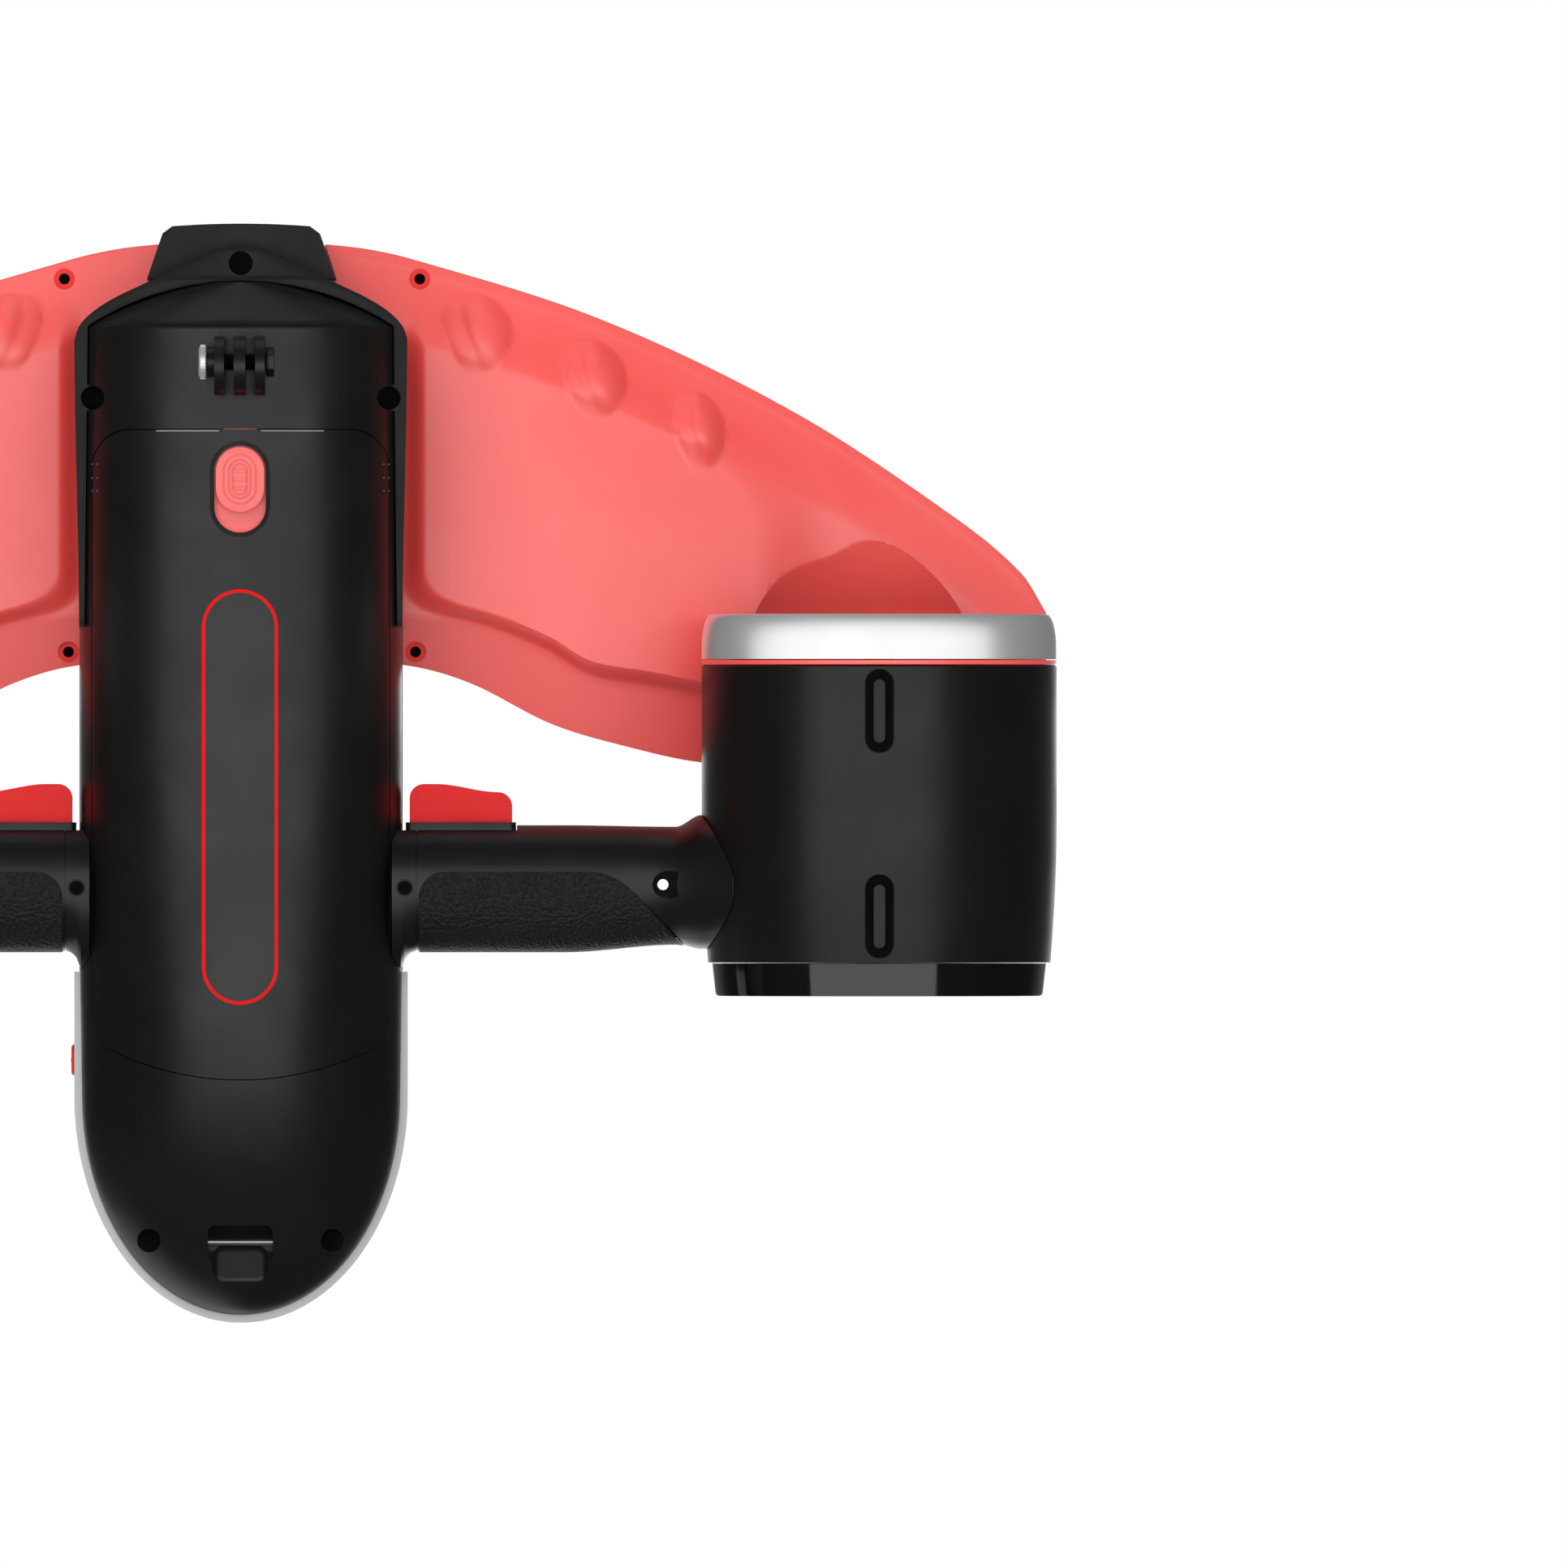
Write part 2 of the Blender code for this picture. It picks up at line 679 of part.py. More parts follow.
def lower_form():
    """The belly's whole form, before the battery is parted from it."""
    rear = TAIL_Y - TAIL_TRIM
    stations = [GUTTER_Y + share ** 2 * (ARC_END_Y - GUTTER_Y) for share in spread(FIRST_ARC_SHARE, 1.0, 8)]
    stations += spread(ARC_END_Y, BELLY_FULL_Y, 5)[1:]
    stations += spread(BELLY_FULL_Y, TAIL_RISE_Y, 7)[1:]
    stations += [TAIL_RISE_Y + (rear - TAIL_RISE_Y) * math.sin(a) for a in spread(0.0, LAST_STATION, 10)[1:]]
    rings = []
    for y in stations:
        section = half_section(lower_half_width(y), -lower_depth(y), BELLY_POWER, BELLY_POINTS)
        rings.append([(x, y, PART_Z + z) for x, z in section])
    return loft_mesh(rings)


def body_clearance():
    """The closed hull at the handles, grown by the gap, for what butts against it."""
    rings = []
    for y in spread(HANDLE_Y - 2 * FLANGE_HALF_THICKNESS, HANDLE_Y + 2 * FLANGE_HALF_THICKNESS, 8):
        under = half_section(lower_half_width(y) + GAP, -lower_depth(y) - GAP, BELLY_POWER, BELLY_POINTS)
        over = half_section(upper_half_width(y) + GAP, DECK_HEIGHT + GAP, DECK_POWER, DECK_POINTS)
        ring = [(x, y, PART_Z + z) for x, z in under]
        ring += [(x, y, DECK_Z + z) for x, z in reversed(over)]
        rings.append(ring)
    return cutter("body_clearance", loft_mesh(rings))


def upper_hull(cap_clearance):
    """The deck shell, hollow over the battery bay and open below."""
    length = RIM_HALF_WIDTH / NOSE_SLOPE + NOSE_ROUNDING
    prow = [NOSE_Y + length * share ** 2 for share in spread(FIRST_PROW_SHARE, 1.0, 9)]
    stations = prow + spread(prow[-1], TAIL_SEAM_Y, 6)[1:]
    rings = []
    for y in stations:
        section = half_section(upper_half_width(y), DECK_HEIGHT, DECK_POWER, DECK_POINTS)
        rings.append([(x, y, DECK_Z + z) for x, z in section])
    made = piece("upper_hull", loft_mesh(rings), "black_satin")
    smooth(made)
    half = BODY_HALF_WIDTH - HULL_WALL
    room = box_mesh((-half, CAVITY_FRONT_Y, PART_Z - HULL_WALL),
                    (half, CAVITY_REAR_Y, DECK_Z + DECK_HEIGHT - HULL_WALL))
    combine(made, "DIFFERENCE", cutter("deck_room", room), cap_clearance)
    return made


def tail_cover():
    """The grey tail shell, with a window seat on top and a button hole in its right side."""
    first = TAIL_SEAM_Y + GAP
    stations = spread(first, TAIL_CENTRE_Y, 4)
    reach = TAIL_Y - TAIL_CENTRE_Y
    stations += [TAIL_CENTRE_Y + reach * math.sin(a) for a in spread(0.0, LAST_STATION, 10)[1:]]
    rings = []
    for y in stations:
        share = ellipse_end(y, TAIL_CENTRE_Y, TAIL_Y)
        section = half_section(TAIL_HALF_WIDTH * share, DECK_HEIGHT * share, DECK_POWER, DECK_POINTS)
        rings.append([(x, y, DECK_Z + z) for x, z in section])
    made = piece("tail_cover", loft_mesh(rings), "grey_plastic")
    smooth(made)
    top = DECK_Z + DECK_HEIGHT
    seat = plate_mesh([window_outline(GAP)], top - WINDOW_SINK - WINDOW_THICKNESS - GAP, top + HULL_WALL)
    hole = cylinder_mesh(BUTTON_RADIUS + GAP, -BUTTON_LENGTH, BUTTON_LENGTH + BUTTON_TRAVEL + GAP)
    combine(made, "DIFFERENCE", cutter("window_seat", seat),
            cutter("button_hole", hole, button_place(), ALONG_X))
    return made


def window_outline(grow):
    """The display window's outline: a stadium across the tail."""
    lying = stadium(0.0, 0.0, WINDOW_LENGTH + 2 * grow, WINDOW_WIDTH + 2 * grow)
    return [(y, WINDOW_Y - x) for x, y in lying]


def display_window():
    """A dark window let into the top of the tail."""
    top = DECK_Z + DECK_HEIGHT - WINDOW_SINK
    mesh = plate_mesh([window_outline(0.0)], top - WINDOW_THICKNESS, top)
    return piece("display_window", mesh, "dark_glass")


def button_place():
    """Where the power button's outer face would be flush with the right side of the tail."""
    return (-TAIL_HALF_WIDTH, BUTTON_Y, DECK_Z + BUTTON_RISE)


def power_button():
    """A red push button that slides across the body."""
    mesh = cylinder_mesh(BUTTON_RADIUS, -BUTTON_PROUD, BUTTON_LENGTH)
    made = piece("power_button", mesh, "bright_red", button_place(), ALONG_X)
    bevelled(made, BUTTON_PROUD / 3)
    return made


def cap_outline(grow):
    """Plan of the nose cap: a blunt front, bevelled corners and sides that splay."""
    corner = CAP_BEVEL + CAP_FRONT_HALF_WIDTH
    half = [(CAP_FRONT_HALF_WIDTH + grow, CAP_FRONT_Y - grow),
            (corner + grow, CAP_FRONT_Y + CAP_BEVEL - grow),
            (CAP_BACK_HALF_WIDTH + grow, CAP_BACK_Y + grow)]
    return half + [(-x, y) for x, y in reversed(half)]


def nose_cap():
    """The cap on the nose, and its clearance for the pieces round it."""
    made = piece("nose_cap", plate_mesh([cap_outline(0.0)], DECK_Z, DECK_Z + CAP_HEIGHT), "black_satin")
    bevelled(made, CAP_BEVEL / 2)
    room = plate_mesh([cap_outline(GAP)], DECK_Z - HULL_WALL, DECK_Z + CAP_HEIGHT + GAP)
    return cutter("cap_clearance", room)


def front_bezel():
    """The horseshoe rim round the front of the belly."""
    outer = [(upper_half_width(y), y) for y in spread(RIM_STOP_Y, ARC_END_Y, 6)]
    prow = [NOSE_Y + (ARC_END_Y - NOSE_Y) * share ** 2 for share in spread(1.0, FIRST_PROW_SHARE, 10)]
    outer += [(upper_half_width(y), y) for y in prow[1:]]
    inner = [GUTTER_Y + share ** 2 * (ARC_END_Y - GUTTER_Y) for share in spread(0.0, 1.0, 8)]
    inner += spread(ARC_END_Y, RIM_STOP_Y, 6)[1:]
    hollow = [(lower_half_width(y) + GAP, y - GAP) for y in inner]
    outline = outer + [(-x, y) for x, y in reversed(outer)]
    outline += [(-x, y) for x, y in reversed(hollow)] + hollow
    return piece("front_bezel", plate_mesh([outline], PART_Z - RIM_DEPTH, PART_Z), "black_satin")


def duct_radius(y):
    """The duct's outer radius: straight, then drawn in towards the nozzle."""
    share = side_share(y, DUCT_Y + DUCT_STRAIGHT, DUCT_END)
    return DUCT_RADIUS + (DUCT_TAIL_RADIUS - DUCT_RADIUS) * share ** 2


def duct_stations():
    """Stations along the duct, closer together where it tapers."""
    return [DUCT_Y] + spread(DUCT_Y + DUCT_STRAIGHT, DUCT_END, 4)


def thruster_clearance(x):
    """What the wing and a handle leave free for a thruster: the duct, and a bell ahead of its intake."""
    bell_y = INTAKE_Y - SCOOP_REACH
    profile = [(0.0, bell_y), (SCOOP_TIP_RADIUS, bell_y)]
    for share in spread(0.0, 1.0, 3)[1:]:
        radius = SCOOP_TIP_RADIUS + (INTAKE_LIP_RADIUS - SCOOP_TIP_RADIUS) * share
        profile.append((radius, bell_y + (SCOOP_REACH - GAP) * share))
    profile.append((DUCT_RADIUS + GAP, INTAKE_Y - GAP))
    profile += [(duct_radius(y) + GAP, y) for y in duct_stations()]
    profile.append((0.0, DUCT_END))
    return turned_cutter("thruster_clearance", profile, x)


def foot_places():
    """Middle of each foot along the duct, and the height of its seat in the wall."""
    reach = FOOT_INSET + FOOT_LENGTH / 2
    front, rear = DUCT_Y + reach, DUCT_END - reach
    return {"front": (front, AXIS_Z - duct_radius(front) + FOOT_SEAT),
            "rear": (rear, AXIS_Z - duct_radius(rear + FOOT_LENGTH / 2) + FOOT_SEAT)}


def foot(end):
    """A rubber foot let into the underside of the duct, standing on a rib."""
    y, seat = foot_places()[end]
    top = seat - GAP
    base = plate_mesh([stadium(THRUSTER_X, y, FOOT_WIDTH, FOOT_LENGTH)], top - FOOT_SEAT, top)
    rib = plate_mesh([stadium(THRUSTER_X, y, FOOT_RIB_WIDTH, FOOT_RIB_LENGTH)], 0.0, top - FOOT_SEAT / 2)
    made = piece(f"foot_{end}_left", base, "black_rubber")
    combine(made, "UNION", cutter(f"foot_{end}_rib", rib))
    return made


def duct_shell():
    """The thruster's tube, with a seat for each foot."""
    profile = [(duct_radius(y), y) for y in duct_stations()]
    profile += [(duct_radius(y) - DUCT_WALL, y) for y in reversed(duct_stations())]
    made = turned("duct_shell_left", profile, "black_satin")
    for end, (y, seat) in foot_places().items():
        outline = stadium(THRUSTER_X, y, FOOT_WIDTH + 2 * GAP, FOOT_LENGTH + 2 * GAP)
        combine(made, "DIFFERENCE", cutter(f"foot_{end}_seat", plate_mesh([outline], -FOOT_SEAT, seat)))
    return made


def intake_ring():
    """The bright lip of the intake: a quarter round outside and a bell mouth inside."""
    outer = DUCT_RADIUS - INTAKE_LIP_RADIUS
    inner = INTAKE_LIP_RADIUS - INTAKE_THROAT
    profile = []
    for angle in spread(0.0, math.pi / 2, 5):
        radius = INTAKE_LIP_RADIUS + outer * math.sin(angle)
        profile.append((radius, INTAKE_Y + outer * (1 - math.cos(angle))))
    profile += [(DUCT_RADIUS, INTAKE_END), (DUCT_BORE, INTAKE_END)]
    profile.append((INTAKE_THROAT, INTAKE_Y + GRILLE_SETBACK + GRILLE_DEPTH + GAP))
    profile += [(INTAKE_THROAT, INTAKE_Y + inner), (INTAKE_LIP_RADIUS - inner / 2, INTAKE_Y + inner / 6)]
    return turned("intake_ring_left", profile, "chrome")


def accent_ring():
    """The thin red ring between the lip and the tube."""
    end = ACCENT_Y + ACCENT_LENGTH
    profile = [(DUCT_RADIUS, ACCENT_Y), (DUCT_RADIUS, end), (DUCT_BORE, end), (DUCT_BORE, ACCENT_Y)]
    return turned("accent_ring_left", profile, "bright_red")


def nozzle_ring():
    """The gloss black outlet ring."""
    end = NOZZLE_Y + NOZZLE_LENGTH
    profile = [(NOZZLE_RADIUS, NOZZLE_Y), (NOZZLE_TAIL_RADIUS, end), (NOZZLE_TAIL_RADIUS - NOZZLE_WALL, end),
               (NOZZLE_RADIUS - NOZZLE_WALL, NOZZLE_Y)]
    return turned("nozzle_ring_left", profile, "black_gloss")


def ring_profile(outer, inner, first, last):
    """A square ring's profile."""
    return [(outer, first), (outer, last), (inner, last), (inner, first)]


def at_thruster(name, mesh, turn=0.0):
    """A cutter in the left thruster's own frame, turned about its axis."""
    return cutter(name, mesh, (THRUSTER_X, 0.0, AXIS_Z), (0.0, turn, 0.0))


def intake_grille():
    """The guard in the intake: a rim, a middle ring, a hub and spokes."""
    first = INTAKE_Y + GRILLE_SETBACK
    last = first + GRILLE_DEPTH
    rim = INTAKE_THROAT - GAP
    made = turned("intake_grille_left", ring_profile(rim, rim - GRILLE_RIM, first, last), "black_satin")
    hub_profile = [(0.0, first), (GRILLE_HUB_RADIUS, first), (GRILLE_HUB_RADIUS, last), (0.0, last)]
    hub = turned_cutter("grille_hub", hub_profile, THRUSTER_X, SMALL_STEPS)
    ring = cutter("grille_ring", profile_mesh(
        ring_profile(GRILLE_RING_RADIUS, GRILLE_RING_RADIUS - GRILLE_RIM, first, last), True),
        (THRUSTER_X, 0.0, AXIS_Z), ALONG_Y)
    add_screw(ring, SMALL_STEPS)
    combine(made, "UNION", hub, ring)
    reach = rim - GRILLE_RIM / 2
    inset = GRILLE_DEPTH / 8
    for i in range(GRILLE_SPOKES // 2):
        bar = box_mesh((-reach, first + inset, -GRILLE_SPOKE / 2), (reach, last - inset, GRILLE_SPOKE / 2))
        combine(made, "UNION", at_thruster(f"grille_spoke_{i}", bar, 2 * math.pi * i / GRILLE_SPOKES))
    return made


def blade_mesh():
    """One propeller blade, lofted from its root in the hub to a tip that follows the duct."""
    tip = DUCT_BORE - TIP_CLEARANCE
    middle = HUB_Y + HUB_LENGTH / 2
    back = [(-0.5, 0.0), (-0.25, 0.42), (0.05, 0.5), (0.3, 0.3), (0.5, 0.0)]
    lens = back + [(u, -v) for u, v in reversed(back[1:-1])]
    root = HUB_RADIUS - BLADE_ROOT_SINK
    rings = []
    for share in spread(0.0, 1.0, 6):
        radius = root + (tip - root) * share
        bulge = math.sin(share * math.pi * BLADE_BULGE_END)
        chord = BLADE_ROOT_CHORD + (BLADE_TIP_CHORD - BLADE_ROOT_CHORD) * bulge
        pitch = BLADE_ROOT_PITCH + (BLADE_TIP_PITCH - BLADE_ROOT_PITCH) * share
        thickness = BLADE_THICKNESS * (1 - BLADE_TIP_THINNING * share)
        ring = []
        for u, v in lens:
            across = u * chord * math.cos(pitch) - v * thickness * math.sin(pitch)
            axial = u * chord * math.sin(pitch) + v * thickness * math.cos(pitch)
            ring.append((math.sqrt(radius ** 2 - across ** 2), middle + axial, across))
        rings.append(ring)
    return loft_mesh(rings)


def propeller():
    """The propeller: a bored hub with pitched blades."""
    hub = ring_profile(HUB_RADIUS, SHAFT_BORE, HUB_Y, HUB_Y + HUB_LENGTH)
    made = turned("propeller_left", hub, "black_satin", SMALL_STEPS)
    for i in range(BLADES):
        combine(made, "UNION", at_thruster(f"blade_{i}", blade_mesh(), 2 * math.pi * i / BLADES))
    return made


def spinner():
    """The dome ahead of the propeller."""
    base = HUB_Y - GAP
    angles = spread(0.0, math.pi / 2, 6)
    dome = [(HUB_RADIUS * math.cos(a), base - SPINNER_LENGTH * math.sin(a)) for a in angles]
    profile = [(0.0, base)] + dome[:-1] + [(0.0, base - SPINNER_LENGTH)]
    return turned("spinner_left", profile, "black_satin", SMALL_STEPS, closed=False)


def prop_shaft():
    """The shaft from the hub through the motor."""
    first, last = HUB_Y + SHAFT_SETBACK, POD_FLOOR_Y + SHAFT_TAIL - GAP
    profile = [(0.0, first), (SHAFT_RADIUS, first), (SHAFT_RADIUS, last), (0.0, last)]
    return turned("prop_shaft_left", profile, "steel", SMALL_STEPS, closed=False)


def motor_pod():
    """The motor housing, held in the duct by vanes and a sleeve."""
    end = POD_FLOOR_Y + POD_END_WALL
    tip = POD_RADIUS / 3
    pocket = POD_FLOOR_Y + SHAFT_TAIL
    profile = [(0.0, pocket), (SHAFT_BORE, pocket), (SHAFT_BORE, POD_FLOOR_Y), (POD_BORE, POD_FLOOR_Y)]
    profile += [(POD_BORE, POD_Y), (POD_RADIUS, POD_Y), (POD_RADIUS, end)]
    profile += [(tip + (POD_RADIUS - tip) * math.cos(a), end + POD_CONE * math.sin(a))
                for a in spread(0.0, math.pi / 2, 5)[1:]]
    profile.append((0.0, end + POD_CONE))
    made = turned("motor_pod_left", profile, "black_satin", SMALL_STEPS, closed=False)
    sleeve = DUCT_BORE - GAP
    ring = cutter("pod_sleeve", profile_mesh(
        ring_profile(sleeve, sleeve - SLEEVE_WALL, SLEEVE_Y, SLEEVE_Y + SLEEVE_LENGTH), True),
        (THRUSTER_X, 0.0, AXIS_Z), ALONG_Y)
    add_screw(ring, RING_STEPS)
    low = (POD_RADIUS - POD_WALL / 2, SLEEVE_Y + SLEEVE_LENGTH / 20, -VANE_THICKNESS / 2)
    high = (sleeve - SLEEVE_WALL / 2, SLEEVE_Y + VANE_LENGTH, VANE_THICKNESS / 2)
    for i in range(VANES):
        combine(made, "UNION", at_thruster(f"vane_{i}", box_mesh(low, high), 2 * math.pi * i / VANES))
    combine(made, "UNION", ring)
    return made


def motor_ring(name, outer, inner, first, length, finish_name):
    """A plain ring inside the motor housing."""
    return turned(name, ring_profile(outer, inner, first, first + length), finish_name, SMALL_STEPS)


def shaft_seal():
    """The lip seal at the mouth of the housing."""
    return motor_ring("shaft_seal_left", POD_BORE - GAP, SHAFT_BORE, POD_Y, SEAL_LENGTH, "black_rubber")


def front_bearing():
    """The shaft's front bearing."""
    return motor_ring("front_bearing_left", POD_BORE - GAP, SHAFT_BORE, BEARING_Y, BEARING_LENGTH, "steel")


def motor_stator():
    """The motor's fixed windings."""
    inner = POD_BORE - GAP - STATOR_THICKNESS
    return motor_ring("motor_stator_left", POD_BORE - GAP, inner, STATOR_Y, STATOR_LENGTH, "copper")


def motor_rotor():
    """The motor's turning magnets, on the shaft."""
    outer = POD_BORE - 2 * GAP - STATOR_THICKNESS
    return motor_ring("motor_rotor_left", outer, SHAFT_BORE, STATOR_Y, STATOR_LENGTH, "steel")


def handle_form(grow):
    """The handle's bar, oval in section and flared where it meets the duct."""
    wall = THRUSTER_X - DUCT_RADIUS
    flare = wall - FLARE_REACH
    reach = THRUSTER_X - math.sqrt(DUCT_RADIUS ** 2 - FLANGE_HALF_HEIGHT ** 2)
    root = BATTERY_HALF_WIDTH + 2 * GAP
    stations = [root, BODY_HALF_WIDTH] + spread(BODY_HALF_WIDTH, flare, 5)[1:]
    stations += spread(flare, reach, 6)[1:] + [reach + FLARE_REACH]
    rings = []
    for x in stations:
        widening = ease((x - flare) / FLARE_REACH)
        thick = HANDLE_HALF_THICKNESS + (FLANGE_HALF_THICKNESS - HANDLE_HALF_THICKNESS) * widening
        share = side_share(x, flare, reach)
        tall = HANDLE_HALF_HEIGHT + (FLANGE_HALF_HEIGHT - HANDLE_HALF_HEIGHT) * share ** 2
        ring = []
        for angle in spread(0.0, 2 * math.pi, HANDLE_POINTS + 1)[:-1]:
            c, s = math.cos(angle), math.sin(angle)
            y = math.copysign(abs(c) ** (2 / HANDLE_SQUARENESS), c) * (thick + grow)
            z = math.copysign(abs(s) ** (2 / HANDLE_SQUARENESS), s) * (tall + grow)
            ring.append((x, HANDLE_Y + y, AXIS_Z + z))
        rings.append(ring)
    return loft_mesh(rings)


def grip_zone(grow):
    """Plan of the rubber grip: round at the front inner corner, raked at the outer end, open to the rear."""
    rear = HANDLE_Y + 2 * HANDLE_HALF_THICKNESS
    inner, front = GRIP_INNER_X - grow, GRIP_FRONT_Y - grow
    outline = [(GRIP_OUTER_X + GRIP_RAKE_GROWTH * grow, rear), (inner, rear)]
    for angle in spread(0.0, math.pi / 2, 5):
        x = inner + GRIP_CORNER * (1 - math.cos(angle))
        outline.append((x, front + GRIP_CORNER * (1 - math.sin(angle))))
    outline.append((GRIP_OUTER_X - GRIP_RAKE, front))
    outline.append((GRIP_OUTER_X + GRIP_RAKE_GROWTH * grow, HANDLE_Y + HANDLE_HALF_THICKNESS))
    reach = 2 * FLANGE_HALF_HEIGHT
    return plate_mesh([outline], AXIS_Z - reach, AXIS_Z + reach)


def grip_pad():
    """The rubber that wraps the rear of the handle."""
    made = piece("grip_pad_left", handle_form(GRIP_PROUD), "black_rubber")
    combine(made, "INTERSECT", cutter("grip_limit", grip_zone(0.0)))
    combine(made, "DIFFERENCE", cutter("grip_core", handle_form(GAP - GRIP_THICKNESS)))
    return made


def trigger_span():
    """Inner and outer side of the trigger's opening."""
    return TRIGGER_INNER_X - GAP, TRIGGER_OUTER_X + GAP


def handle(body_room, thruster_room):
    """A handle from the hull to the duct, with seats for the grip and the trigger."""
    made = piece("handle_left", handle_form(0.0), "black_satin")
    seat = cutter("grip_seat", grip_zone(GAP))
    combine(seat, "DIFFERENCE", cutter("grip_seat_core", handle_form(-GRIP_THICKNESS)))
    inner, outer = trigger_span()
    front = TRIGGER_FRONT_Y - HANDLE_HALF_THICKNESS
    tall = TRIGGER_HALF_HEIGHT + GAP
    bezel_half = tall + BEZEL_LIP + GAP
    frame = box_mesh((BODY_HALF_WIDTH - HULL_WALL, front, AXIS_Z - bezel_half),
                     (outer + BEZEL_SIDE + GAP, BEZEL_FRONT_Y + BEZEL_DEPTH + GAP, AXIS_Z + bezel_half))
    pocket_end = TRIGGER_BACK_Y + TRIGGER_TRAVEL + GAP
    paddle = box_mesh((inner, front, AXIS_Z - tall), (outer, pocket_end, AXIS_Z + tall))
    stem_end = TRIGGER_BACK_Y + TRIGGER_STEM + SPRING_LENGTH + 2 * GAP
    stem = box_mesh((inner + TRIGGER_STEM_INSET, front, AXIS_Z - tall),
                    (outer - TRIGGER_STEM_INSET, stem_end, AXIS_Z + tall))
    loop = cylinder_mesh(LOOP_HOLE_RADIUS, -2 * HANDLE_HALF_HEIGHT, 2 * HANDLE_HALF_HEIGHT)
    combine(made, "DIFFERENCE", body_room, thruster_room, seat, cutter("bezel_seat", frame),
            cutter("trigger_pocket", paddle), cutter("stem_pocket", stem),
            cutter("loop_hole", loop, (LOOP_HOLE_X, HANDLE_Y, AXIS_Z)))
    return made


def trigger_outline():
    """Plan of the trigger: a round-nosed paddle that dips outwards, and a stem behind it."""
    x0, x1, y0, y1 = TRIGGER_INNER_X, TRIGGER_OUTER_X, TRIGGER_FRONT_Y, TRIGGER_BACK_Y
    nose = TRIGGER_NOSE
    quarter = spread(0.0, math.pi / 2, 4)
    low = y0 + TRIGGER_DIP
    points = [(x1, y1)]
    points += [(x1 - nose * (1 - math.cos(a)), low + nose * (1 - math.sin(a))) for a in quarter]
    for share in TRIGGER_DIP_SHARES:
        dip = TRIGGER_DIP * ease(share / TRIGGER_DIP_END)
        points.append((x1 - nose - (x1 - x0 - 2 * nose) * share, low - dip))
    points += [(x0 + nose * (1 - math.sin(a)), y0 + nose * (1 - math.cos(a))) for a in quarter]
    stem0, stem1, end = x0 + TRIGGER_STEM_INSET, x1 - TRIGGER_STEM_INSET, y1 + TRIGGER_STEM
    points += [(x0, y1), (stem0, y1), (stem0, end), (stem1, end), (stem1, y1)]
    return points


def trigger():
    """The red speed trigger, which slides into the handle."""
    mesh = plate_mesh([trigger_outline()], AXIS_Z - TRIGGER_HALF_HEIGHT, AXIS_Z + TRIGGER_HALF_HEIGHT)
    return piece("trigger_left", mesh, "red_plastic")


def trigger_bezel():
    """The black frame that the trigger runs through."""
    inner, outer = trigger_span()
    tall = TRIGGER_HALF_HEIGHT + GAP
    low, high = AXIS_Z - tall, AXIS_Z + tall
    corners = (inner - BEZEL_SIDE, low - BEZEL_LIP), (outer + BEZEL_SIDE, high + BEZEL_LIP)
    rim = rounded_box(*corners, BEZEL_LIP, 3)
    hole = [(inner, low), (outer, low), (outer, high), (inner, high)]
    mesh = plate_mesh([rim, hole], -BEZEL_FRONT_Y - BEZEL_DEPTH, -BEZEL_FRONT_Y)
    mesh.transform(Matrix.Rotation(math.pi / 2, 4, "X"))
    return piece("trigger_bezel_left", mesh, "black_satin")


def trigger_spring():
    """The coil behind the trigger's stem."""
    curve = bpy.data.curves.new("spring", "CURVE")
    curve.dimensions = "3D"
    curve.bevel_depth = SPRING_WIRE
    curve.bevel_resolution = 0
    curve.use_fill_caps = True
    first = TRIGGER_BACK_Y + TRIGGER_STEM + GAP + SPRING_WIRE
    rise = SPRING_LENGTH - 2 * SPRING_WIRE
    count = SPRING_TURNS * SPRING_POINTS + 1
    spline = curve.splines.new("POLY")
    spline.points.add(count - 1)
    middle = (TRIGGER_INNER_X + TRIGGER_OUTER_X) / 2
    for i, point in enumerate(spline.points):
        angle = 2 * math.pi * i / SPRING_POINTS
        point.co = (middle + SPRING_RADIUS * math.cos(angle), first + rise * i / (count - 1),
                    AXIS_Z + SPRING_RADIUS * math.sin(angle), 1.0)
    holder = bpy.data.objects.new("spring", curve)
    collection(CUTTER_COLLECTION).objects.link(holder)
    bm = bmesh.new()
    bm.from_mesh(baked(holder))
    bpy.data.objects.remove(holder)
    bmesh.ops.remove_doubles(bm, verts=bm.verts, dist=MERGE_DISTANCE)
    return piece("trigger_spring_left", mesh_from(bm), "steel")


def battery_outline(grow):
    """Plan of the battery: round front corners, straight sides and a bowed rear."""
    half = BATTERY_HALF_WIDTH + grow
    front = BATTERY_FRONT_Y - grow
    bow = BATTERY_REAR_RADIUS + grow
    centre = BATTERY_REAR_Y - BATTERY_REAR_RADIUS
    corner = []
    for angle in spread(0.0, math.pi / 2, 5):
        x = half - BATTERY_CORNER * (1 - math.sin(angle))
        corner.append((x, front + BATTERY_CORNER * (1 - math.cos(angle))))
    rear = [(x, centre + math.sqrt(bow ** 2 - x ** 2)) for x in spread(half, -half, 9)]
    return corner + rear + [(-x, y) for x, y in reversed(corner)]


def box_outline(half_width, front, rear, corner, grow):
    """A rounded rectangle about the centre line."""
    return rounded_box((-half_width - grow, front - grow), (half_width + grow, rear + grow), corner)


def tongue_box(grow, first, last, low, high):
    """A block of the latch tongue's width, grown for its slots."""
    half = TONGUE_WIDTH / 2 + grow
    return box_mesh((-half, first, low), (half, last, high))


